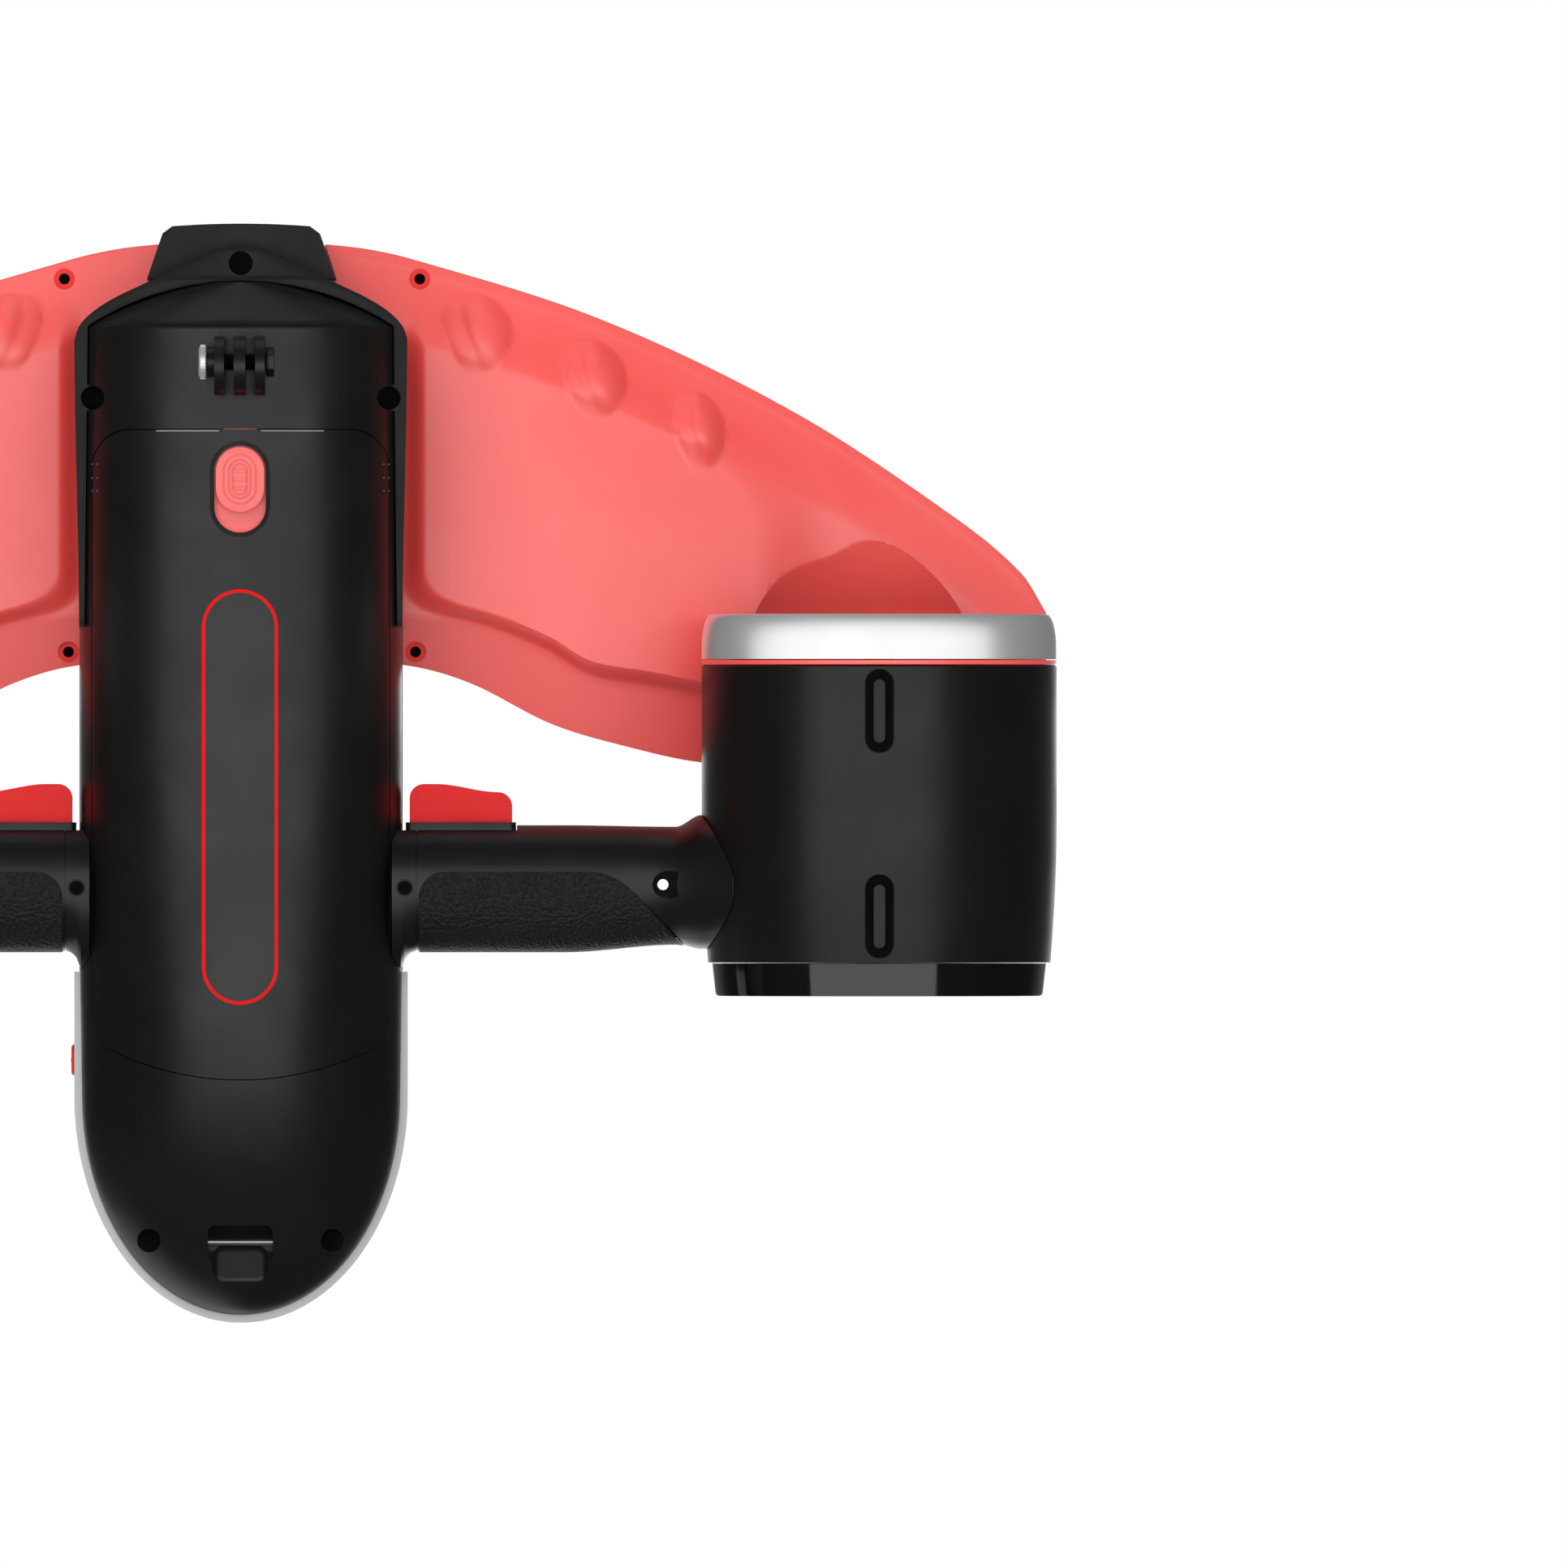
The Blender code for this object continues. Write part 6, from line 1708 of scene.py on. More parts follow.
    def rim(self) -> None:
        """The horseshoe rim round the front of the belly, with its screw wells."""
        places = spread(self.rim_stop, self.arc_end, 24)
        places += [between(self.nose_y, self.arc_end, share ** 2)
                   for share in spread(1.0, self.rim_start, 48)[1:]]
        outer = [(self.upper_half_width(y), y) for y in places]
        places = [between(self.gutter_y, self.arc_end, share ** 2) for share in spread(0.0, 1.0, 40)]
        places += spread(self.arc_end, self.rim_stop, 24)[1:]
        hollow = [(self.lower_half_width(y) * self.rim_hug + self.gap, y - self.gap) for y in places]
        outline = mirrored(outer) + [(-x, y) for x, y in reversed(hollow)] + hollow
        low = self.part_z - self.rim_depth
        floor = low + self.screw_well_depth
        body = Form.plate(outline, low, self.part_z).rounded(self.rim_round, 2, 50.0)
        body = body.add(*(self.well(place, self.part_z, self.screw_well_wall, low)
                          for place in self.rim_screws[1:]))
        wells = [self.well(place, floor, low=low - CLEAR) for place in self.rim_screws]
        self.place("front_rim", body.cut(*wells), TRIM, "front_bezel", sharp=CRISP_EDGE)
        self.screw_row("rim_screws", self.rim_screws, [floor] * len(self.rim_screws))

    def cap(self) -> None:
        """The bevelled cap on the nose."""
        body = Form.plate(self.cap_outline(0.0), self.deck_z, self.deck_z + self.cap_height)
        self.place("nose_cover", body.rounded(self.cap_bevel / 3, 1), TRIM, "nose_cap")


@dataclass(frozen=True)
class Battery(SubAssembly):
    """The drop-out battery with its latch, and the fittings in the bay above it."""

    hull: Hull = Hull()
    latch_front: float = -0.1016
    latch_width: float = 0.0175
    latch_length: float = 0.0285
    latch_depth: float = 0.008
    latch_floor: float = 0.0016
    latch_wall: float = 0.0007
    latch_room: float = 0.0005
    tray_wall: float = 0.0001
    tray_inset: float = 0.0009
    tray_lip: float = 0.0022
    pad_length: float = 0.02
    pad_sink: float = 0.0009
    pad_round: float = 0.0004
    groove_insets: Sequence[float] = (0.0021, 0.0037, 0.0049)
    groove_size: float = 0.0008
    bar_half: Flat = (0.0018, 0.0006)
    bar_heights: Flat = (-0.0003, 0.0004)
    bar_steps: Sequence[float] = (-0.0027, 0.0, 0.0027)
    tongue_width: float = 0.0105
    tongue_thickness: float = 0.002
    tongue_sink: float = 0.0036
    tongue_reach: float = 0.0014
    gasket_half_width: float = 0.039
    gasket_span: Flat = (-0.096, 0.08)
    gasket_width: float = 0.0026
    gasket_height: float = 0.0016
    gasket_corner: float = 0.01
    contact_size: Point = (0.03, 0.009, 0.004)
    contact_y: float = 0.065
    contact_slot: Point = (0.0008, 0.001, 0.0015)
    contact_slots: int = 6
    room_low: Point = (-0.02785, -0.0633, 0.0283)
    room_high: Flat = (0.02785, 0.0673)
    lid_half_width: float = 0.033
    lid_span: Flat = (-0.069, 0.073)
    lid_corner: float = 0.003
    lid_thickness: float = 0.002
    # Size of the pale strips that paint the highlight on the front seam's edge.
    strip_span: Flat = (0.0065, 0.0258)
    strip_width: float = 0.0004
    strip_heights: Flat = (-0.00012, 0.001)
    dot_rows: Sequence[float] = (-0.0951, -0.0909, -0.0869)
    dot_columns: Sequence[float] = (0.0456, 0.0441)
    dot_radius: float = 0.0003
    fine_edge: float = 0.0002

    @property
    def top_z(self) -> float:
        """Height of the battery's flat top."""
        return self.bay_z - self.gap

    @property
    def tongue_z(self) -> float:
        """Height of the latch tongue's underside."""
        return self.belly_z + self.tongue_sink

    def tongue_box(self, grow: float, span: Flat, heights: Flat) -> Form:
        """A block of the latch tongue's width, grown for its slots."""
        half = self.tongue_width / 2 + grow
        return Form.box((-half, span[0], heights[0]), (half, span[1], heights[1]))

    def tongue_slot(self) -> Form:
        """The passage for the tongue through the battery's front wall.

        Returns:
            The passage.
        """
        span = (self.battery_front - self.latch_width, self.latch_front + self.latch_width / 2)
        heights = (self.tongue_z - self.gap, self.tongue_z + self.tongue_thickness + self.gap)
        return self.tongue_box(self.gap, span, heights)

    def recess(self, grow: float, low: float, high: float) -> Form:
        """The latch recess, grown by a margin, from one height to another.

        Args:
            grow: The margin.
            low: The lower height.
            high: The upper height.

        Returns:
            The recess.
        """
        middle = self.latch_front + self.latch_length / 2
        outline = stadium(0.0, middle, self.latch_width + 2 * grow, self.latch_length + 2 * grow, 28)
        return Form.plate(outline, low, high)

    def gasket(self, grow: float, low: float, high: float) -> Form:
        """The gasket's ring, grown by a margin, from one height to another.

        Args:
            grow: The margin.
            low: The lower height.
            high: The upper height.

        Returns:
            The ring.
        """
        half, width = self.gasket_half_width + grow, self.gasket_width + 2 * grow
        corner = self.gasket_corner + grow
        front, rear = self.gasket_span[0] - grow, self.gasket_span[1] + grow
        hole = rounded_box((width - half, front + width), (half - width, rear - width), corner - width)
        return Form.plate(rounded_box((-half, front), (half, rear), corner), low, high, hole)

    def contact(self, grow: float, low: float) -> Form:
        """The contact block's shape, standing up into the ceiling of the bay.

        Args:
            grow: The margin round it.
            low: Where it starts.

        Returns:
            The block.
        """
        width, length, height = self.contact_size
        half, reach = width / 2 + grow, length / 2 + grow
        return Form.box((-half, self.contact_y - reach, low),
                        (half, self.contact_y + reach, self.bay_z + height + grow))

    def bay_cuts(self) -> list[Form]:
        """What the gasket, the contacts and the latch tongue take out of the belly shell.

        Returns:
            The forms to cut.
        """
        gap, reach = self.gap, self.tongue_reach
        groove = self.gasket(gap, self.bay_z - self.gasket_height, self.bay_z + self.gasket_height + gap)
        low, front, rear = self.tongue_z - gap, self.battery_front - gap, self.battery_front + reach
        notch = self.tongue_box(gap, (front - reach, rear), (low, low + self.tongue_thickness + 2 * gap))
        slit = self.tongue_box(gap, (front, rear), (-self.belly_z, self.tongue_z))
        return [groove, self.contact(gap, self.bay_z - self.contact_size[2]), notch, slit]

    def lid(self, grow: float, low: float, high: float) -> Form:
        """The lid's plate, grown by a margin, from one height to another."""
        half, (front, rear) = self.lid_half_width + grow, self.lid_span
        return Form.plate(rounded_box((-half, front - grow), (half, rear + grow), self.lid_corner), low, high)

    def case(self, form: Form) -> None:
        """The case, whose belly is flush with the hull.

        Args:
            form: The whole belly.
        """
        limit = Form.plate(self.hull.battery_outline(-self.gap), -self.belly_z, self.top_z)
        room = Form.box(self.room_low, (*self.room_high, self.part_z))
        sill = self.top_z - self.lid_thickness
        recess = self.recess(self.latch_room, -self.belly_z, self.belly_z + self.latch_depth)
        lid_room = self.lid(self.gap, sill - self.gap, self.part_z)
        case = form.limit(limit).cut(room, lid_room, recess, self.tongue_slot())
        self.place("battery_shell", case, PACK, "battery_case", Body.BATTERY, CRISP_EDGE)
        self.place("battery_cover", self.lid(0.0, sill, self.top_z).rounded(), BLACK, "battery_lid",
                   Body.BATTERY)

    def latch(self) -> None:
        """The red tray, and the slider with its rings and bars."""
        low, top = self.belly_z + self.pad_sink, self.belly_z + self.latch_depth - self.gap
        hollow = self.recess(-self.tray_inset - self.tray_wall, low - self.latch_depth,
                             top - self.latch_floor)
        tray = self.recess(-self.tray_inset, low + self.tray_lip, top).cut(hollow, self.tongue_slot())
        self.place("latch_well", tray, CORAL, "latch_tray", Body.BATTERY)
        side = 2 * self.gap + self.latch_wall
        front, width = self.latch_front + side, self.latch_width - 2 * side
        middle = front + self.pad_length / 2

        def pad_outline(inset: float) -> Outline:
            """The slider's outline, drawn in by a margin."""
            return stadium(0.0, middle, width - 2 * inset, self.pad_length - 2 * inset, 28)

        pad = Form.plate(pad_outline(0.0), low, top - self.latch_floor - self.gap).rounded(self.pad_round, 3)
        size = self.groove_size
        pad = pad.cut(*(Form.plate(pad_outline(inset), low - size, low + size, pad_outline(inset + size))
                        for inset in self.groove_insets))
        tongue = self.tongue_box(0.0, (self.battery_front - self.tongue_reach, front + self.pad_length / 3),
                                 (self.tongue_z, self.tongue_z + self.tongue_thickness))
        slider = pad.add(tongue.cut(self.recess(self.latch_room, -self.belly_z, top)))
        self.place("latch_pad", slider, CORAL, "latch_slider", Body.LATCH)
        (half, thick), (under, over) = self.bar_half, self.bar_heights
        rows = [Form.box((-half, middle + step - thick, low + under),
                         (half, middle + step + thick, low + over))
                for step in self.bar_steps]
        bars = rows[0].add(*rows[1:]).rounded(self.fine_edge)
        self.place("latch_bars", bars, CORAL, body=Body.LATCH)

    def trims(self) -> None:
        """Pale strips that paint the highlight on the front seam's edge, and the small dots beside the latch.
        """
        front = self.battery_front + self.strip_width
        rear, (under, over) = front + self.strip_width, self.strip_heights
        places = []
        for side in Side:
            rows = []
            for x in spread(*(side.value * end for end in self.strip_span), 30):
                z = self.hull.skin_z(x, front)
                rows.append([(x, rear, z + under), (x, front, z + under), (x, front, z + over),
                             (x, rear, z + over)])
            # Each pale strip is a painted highlight along the seam's edge.
            self.place(f"seam_strip_{side.tag}", Form.loft(rows), SEAM_HIGHLIGHT, body=Body.BATTERY)
            places += [(side.value * x, y, self.hull.skin_z(x, y)) for y in self.dot_rows
                       for x in self.dot_columns]
        dots = Repeats.made(Repeats.points(places), Repeats.domes(), DIM, Radius=self.dot_radius)
        self.place("seam_dots", dots, DIM, body=Body.BATTERY)

    def fittings(self) -> None:
        """The gasket and the contacts in the ceiling of the bay."""
        gasket = self.gasket(0.0, self.bay_z, self.bay_z + self.gasket_height)
        self.place("bay_seal", gasket.rounded(), RUBBER, "battery_gasket")
        (width, length, _), (half, under, over) = self.contact_size, self.contact_slot
        slots = [Form.box((x - half, self.contact_y - length / 3, self.bay_z - under),
                          (x + half, self.contact_y + length / 3, self.bay_z + over))
                 for x in spread(-width / 3, width / 3, self.contact_slots)]
        block = self.contact(0.0, self.bay_z).cut(*slots).rounded(self.fine_edge)
        self.place("contact_row", block, STEEL, "contact_block")


@dataclass(frozen=True)
class CameraMount(SubAssembly):
    """The three-finger mount with its thumb screw."""

    y: float = -0.1264
    screw_z: float = 0.0108
    root_z: float = 0.023
    finger_radius: float = 0.009
    finger_shift: float = 0.0012
    spans: Sequence[Flat] = ((-0.0078, -0.0048), (-0.0018, 0.0018), (0.0048, 0.0078))
    half_width: float = 0.0078
    collar_radius: float = 0.0046
    collar_length: float = 0.0022
    collar_root: float = 0.0015
    screw_radius: float = 0.0024
    bore_reach: float = 0.02
    knob_radius: float = 0.0053
    knob_length: float = 0.0023
    knob_dish: float = 0.0004
    knob_round: Flat = (0.0008, 0.0005)
    ridge: float = 0.0003
    ridge_half: float = 0.00022
    ridges: int = 36
    nut_radius: float = 0.0046
    nut_length: float = 0.0025

    def across(self, form: Form) -> Form:
        """A form about the Y axis laid along X on the screw's line."""
        return form.turned_by(-QUARTER, "Z").at(0.0, self.y, self.screw_z)

    def finger(self, first: float, last: float) -> Form:
        """One finger, round at its lower end.

        Args:
            first: Where it starts across the body.
            last: Where it ends.

        Returns:
            The finger.
        """
        middle, radius = self.y + self.finger_shift, self.finger_radius
        outline = [(middle + radius, self.root_z), (middle - radius, self.root_z)]
        outline += arc((middle, self.screw_z), (radius, radius), pi, ROUND, 40)
        turn = Matrix(((0, 0, 1, 0), (1, 0, 0, 0), (0, 1, 0, 0), (0, 0, 0, 1)))
        return Form.plate(outline, first, last).moved(turn).rounded()

    def build(self) -> None:
        """The mount, which grows out of the belly's skin, with its screw and its nut."""
        outer, first = -self.half_width, self.half_width + self.gap
        collar = Form.drum(self.collar_radius, outer - self.collar_length, outer + self.collar_root, 64)
        bore = self.across(Form.drum(self.screw_radius + self.gap, -self.bore_reach, self.bore_reach))
        body = self.across(collar).add(*(self.finger(*span) for span in self.spans)).cut(bore)
        self.place("mount_fingers", body, BLACK, "camera_mount")
        self.screw()
        hexagon = Form.drum(self.nut_radius, first, first + self.nut_length, 6).rounded()
        self.place("mount_hex_nut", self.across(hexagon).cut(bore), BLACK, "mount_nut")

    def screw(self) -> None:
        """The thumb screw: a stem and a head with ridges round it."""
        head = -self.half_width - self.collar_length - self.gap
        end, rim, ridge = head - self.knob_length, self.knob_radius - self.ridge, self.ridge
        dish, (inset, fall) = end + self.knob_dish, self.knob_round
        profile = [(0.0, dish), (self.screw_radius, dish), (rim - inset, end), (rim, end + fall),
                   (rim, head - ridge), (rim - ridge, head), (0.0, head)]
        self.place("screw_head", self.across(Form.turned(profile, 72)), CHROME, "mount_screw", Body.SCREW)
        stem = Form.drum(self.screw_radius, head, self.half_width + self.nut_length)
        # The stem is painted near-black as painted shade in the gaps between the fingers.
        self.place("screw_stem", self.across(stem), SHADE_BLACK, body=Body.SCREW)
        bar = Form.box((rim - ridge, end + fall, -self.ridge_half),
                       (self.knob_radius, head - ridge, self.ridge_half))
        knurl = Repeats.made(bar.mesh, Repeats.round_axis(), CHROME, Count=self.ridges)
        self.place("screw_ridges", self.across(knurl), CHROME, body=Body.SCREW)


@dataclass(frozen=True)
class Thruster(Sided):
    """One ducted thruster: tube, rings, feet, grille, propeller and motor housing."""

    tube_edge: float = 0.0006
    intake_length: float = 0.0138
    lip_face: float = 0.0518
    lip_run: float = 0.01
    throat: float = 0.0485
    accent_length: float = 0.00145
    accent_edge: float = 0.0002
    nozzle_length: float = 0.01
    nozzle_radii: Flat = (0.0522, 0.0511)
    nozzle_wall: float = 0.0034
    nozzle_edge: float = 0.0009
    nozzle_bevel: float = 0.3
    nozzle_draft: float = 0.0001
    foot_places: Sequence[tuple[str, float, float]] = (("front", -0.01905, 0.00295),
                                                       ("rear", 0.04415, 0.004775))
    foot_size: Flat = (0.0085, 0.0255)
    foot_rib: Flat = (0.0035, 0.0195)
    foot_round: float = 0.0012
    foot_seat: float = 0.0012
    grille_span: Flat = (-0.0449, -0.0409)
    grille_rim: float = 0.0025
    grille_ring: float = 0.027
    grille_hub: float = 0.009
    grille_edge: float = 0.0008
    spoke: float = 0.0024
    spoke_root: float = 0.001
    spoke_round: float = 0.0005
    spokes: int = 6
    hub_y: float = -0.023
    hub_radius: float = 0.013
    hub_length: float = 0.018
    spinner_length: float = 0.0125
    blades: int = 3
    blade_chords: Flat = (0.02, 0.024)
    blade_swell: float = 0.8
    blade_pitches: Flat = (radians(58.0), radians(28.0))
    blade_thickness: float = 0.003
    blade_thinning: float = 0.6
    blade_camber: float = 0.35
    blade_tip: float = 0.04995
    blade_root: float = 0.00975
    shaft_bore: float = 0.0033
    shaft_pocket: float = 0.003
    pod_y: float = -0.002
    pod_floor: float = 0.0343
    pod_radius: float = 0.017
    pod_bore: float = 0.0148
    pod_end: float = 0.0393
    pod_cone: float = 0.016
    sleeve_y: float = 0.0022
    sleeve_length: float = 0.01
    sleeve_wall: float = 0.0016
    vanes: int = 5
    vane_inset: Flat = (0.0011, 0.0005)
    vane_length: float = 0.02
    vane_thickness: float = 0.0026
    vane_round: float = 0.0009

    def piece(self, name: str, form: Form, finish: Finish, node: str = "", body: Body = Body.FRAME) -> None:
        """Place a form about the Y axis on this side's thruster axis."""
        self.put(name, form.at(self.axis_x, 0.0, self.axis_z), finish, node, body)

    def copies(self, name: str, form: Form, finish: Finish, count: int, body: Body = Body.FRAME) -> None:
        """Place evenly turned copies of a form round this side's thruster axis."""
        self.piece(name, Repeats.made(form.mesh, Repeats.round_axis(), finish, Count=count), finish,
                   body=body)

    @staticmethod
    def ring(outer: float, inner: float, first: float, last: float, edge: float = FINE_ROUNDING) -> Form:
        """A square ring with its edges broken.

        Args:
            outer: Its outer radius.
            inner: Its inner radius.
            first: Where it starts along Y.
            last: Where it ends.
            edge: How far the edges are broken.

        Returns:
            The ring about the Y axis.
        """
        return Form.turned([(outer - edge, first), (outer, first + edge),
                            (outer, last - edge), (outer - edge, last),
                            (inner + edge, last), (inner, last - edge),
                            (inner, first + edge), (inner + edge, first)])

    def tube(self) -> None:
        """The black tube with the seats for its feet, and the feet."""
        stations, edge = self.duct_stations(), self.tube_edge
        profile = [(self.duct_radius - edge, self.duct_y), (self.duct_radius, self.duct_y + edge)]
        profile += [(self.duct_outer(y), y) for y in stations[1:]]
        profile += [(self.duct_outer(y) - self.duct_wall, y) for y in reversed(stations)]
        tube = Form.turned(profile, 160).at(self.axis_x, 0.0, self.axis_z)
        seat_size = [size + 2 * self.gap for size in self.foot_size]
        seats = [Form.plate(stadium(self.axis_x, y, *seat_size), -self.foot_seat, seat)
                 for _, y, seat in self.foot_places]
        self.put("duct_tube", tube.cut(*seats), DUCT, "duct_shell", sharp=CRISP_EDGE)
        for end, y, seat in self.foot_places:
            top = seat - self.gap
            base = Form.plate(stadium(self.axis_x, y, *self.foot_size), top - self.foot_seat, top).rounded()
            rib = Form.plate(stadium(self.axis_x, y, *self.foot_rib), 0.0, top - self.foot_seat / 2)
            # The base pad is painted near-black as painted shade of the slot round the rib.
            self.put(f"foot_pad_{end}", base, SHADE_BLACK, f"foot_{end}")
            self.put(f"foot_rib_{end}", rib.rounded(self.foot_round, 5), DUCT)

    def rings(self) -> None:
        """The chrome lip, the red accent and the gloss outlet ring."""
        face, inner = self.intake_y, self.lip_radius - self.throat
        bore, end = self.duct_radius - self.duct_wall, face + self.intake_length
        outer = (self.duct_radius - self.lip_face, self.lip_run)
        profile = arc((self.lip_face, face + self.lip_run), outer, -QUARTER, 0.0, 16)
        profile += [(self.duct_radius, end), (bore, end), (self.throat, self.grille_span[1] + self.gap)]
        profile += arc((self.lip_radius, face + inner), (-inner, -inner), 0.0, QUARTER, 12)
        self.piece("intake_lip", Form.turned(profile, 160), CHROME, "intake_ring")
        first = end + self.gap
        accent = self.ring(self.duct_radius, bore, first, first + self.accent_length, self.accent_edge)
        self.piece("accent_line", accent, CORAL, "accent_ring")
        (front, rear), start, edge = self.nozzle_radii, self.duct_end + self.gap, self.nozzle_edge
        stop, inside, bevel = start + self.nozzle_length, rear - self.nozzle_wall, self.nozzle_bevel * edge
        profile = [(front, start), (rear + self.nozzle_draft, stop - edge), (rear - bevel, stop - bevel),
                   (rear - edge, stop), (inside + edge, stop), (inside + bevel, stop - bevel),
                   (inside, stop - edge), (front - self.nozzle_wall, start)]
        self.piece("outlet_ring", Form.turned(profile, 160), GLOSS, "nozzle_ring")

    def grille(self) -> None:
        """The guard in the intake: a rim, a middle ring, a hub and spokes."""
        (first, last), edge, hub = self.grille_span, self.grille_edge, self.grille_hub
        rim, half = self.throat - self.gap, self.spoke / 2
        guard = self.ring(rim, rim - self.grille_rim, first, last)
        middle = self.ring(self.grille_ring, self.grille_ring - self.grille_rim, first, last)
        boss = Form.turned([(0.0, first), (hub - edge, first), (hub, first + edge), (hub, last),
                            (0.0, last)], 72)
        self.piece("intake_guard", guard.add(middle, boss), BLACK, "intake_grille")
        inset = (last - first) / 8
        spoke = Form.box((hub - self.spoke_root, first + inset, -half),
                         (rim - self.grille_rim / 2, last - inset, half))
        self.copies("guard_spokes", spoke.rounded(self.spoke_round), BLACK, self.spokes)

    def blade(self) -> Form:
        """One propeller blade, lofted from its root in the hub to a tip that follows the duct.

        Returns:
            The blade about the Y axis.
        """
        middle = self.hub_y + self.hub_length / 2
        lens = [(u, v * (1 - self.blade_camber * u))
                for u, v in arc((0.0, 0.0), (0.5, 0.5), 0.0, ROUND, 33)[:-1]]
        rings = []
        for share in spread(0.0, 1.0, 28):
            radius = between(self.blade_root, self.blade_tip, share)
            chord = between(*self.blade_chords, sin(share * pi * self.blade_swell))
            pitch = between(*self.blade_pitches, share)
            thick = self.blade_thickness * (1 - self.blade_thinning * share)
            ring = []
            for u, v in lens:
                across = u * chord * cos(pitch) - v * thick * sin(pitch)
                axial = u * chord * sin(pitch) + v * thick * cos(pitch)
                ring.append((sqrt(radius ** 2 - across ** 2), middle + axial, across))
            rings.append(ring)
        return Form.loft(rings)

    def rotor(self) -> None:
        """The propeller and its spinner."""
        hub = self.ring(self.hub_radius, self.shaft_bore, self.hub_y, self.hub_y + self.hub_length)
        self.piece("propeller_hub", hub, DUCT, "propeller", Body.ROTOR)
        self.copies("propeller_blades", self.blade(), DUCT, self.blades, Body.ROTOR)
        base, length = self.hub_y - self.gap, self.spinner_length
        dome = arc((0.0, base), (self.hub_radius, -length), 0.0, QUARTER, 24)[:-1]
        spinner = Form.turned([(0.0, base)] + dome + [(0.0, base - length)], 96)
        self.piece("spinner_dome", spinner, DUCT, "spinner", Body.ROTOR)

    def pod(self) -> None:
        """The motor housing, held in the duct by vanes and a sleeve."""
        radius, floor, edge = self.pod_radius, self.pod_floor, self.tube_edge
        tip, pocket = radius / 3, floor + self.shaft_pocket
        profile = [(0.0, pocket), (self.shaft_bore, pocket), (self.shaft_bore, floor), (self.pod_bore, floor),
                   (self.pod_bore, self.pod_y), (radius - edge, self.pod_y), (radius, self.pod_y + edge)]
        profile += arc((tip, self.pod_end), (radius - tip, self.pod_cone), 0.0, QUARTER, 20)
        self.piece("motor_housing", Form.turned(profile + [(0.0, self.pod_end + self.pod_cone)], 96), BLACK,
                   "motor_pod")
        outer, y, half = self.duct_radius - self.duct_wall - self.gap, self.sleeve_y, self.vane_thickness / 2
        sleeve = self.ring(outer, outer - self.sleeve_wall, y, y + self.sleeve_length)
        self.piece("housing_sleeve", sleeve, BLACK)
        vane = Form.box((radius - self.vane_inset[0], y + self.vane_inset[1], -half),
                        (outer - self.sleeve_wall / 2, y + self.vane_length, half))
        self.copies("housing_vanes", vane.rounded(self.vane_round, 3), BLACK, self.vanes)

    def build(self) -> None:
        """Make every piece of the thruster."""
        for make in (self.tube, self.rings, self.grille, self.rotor, self.pod):
            make()


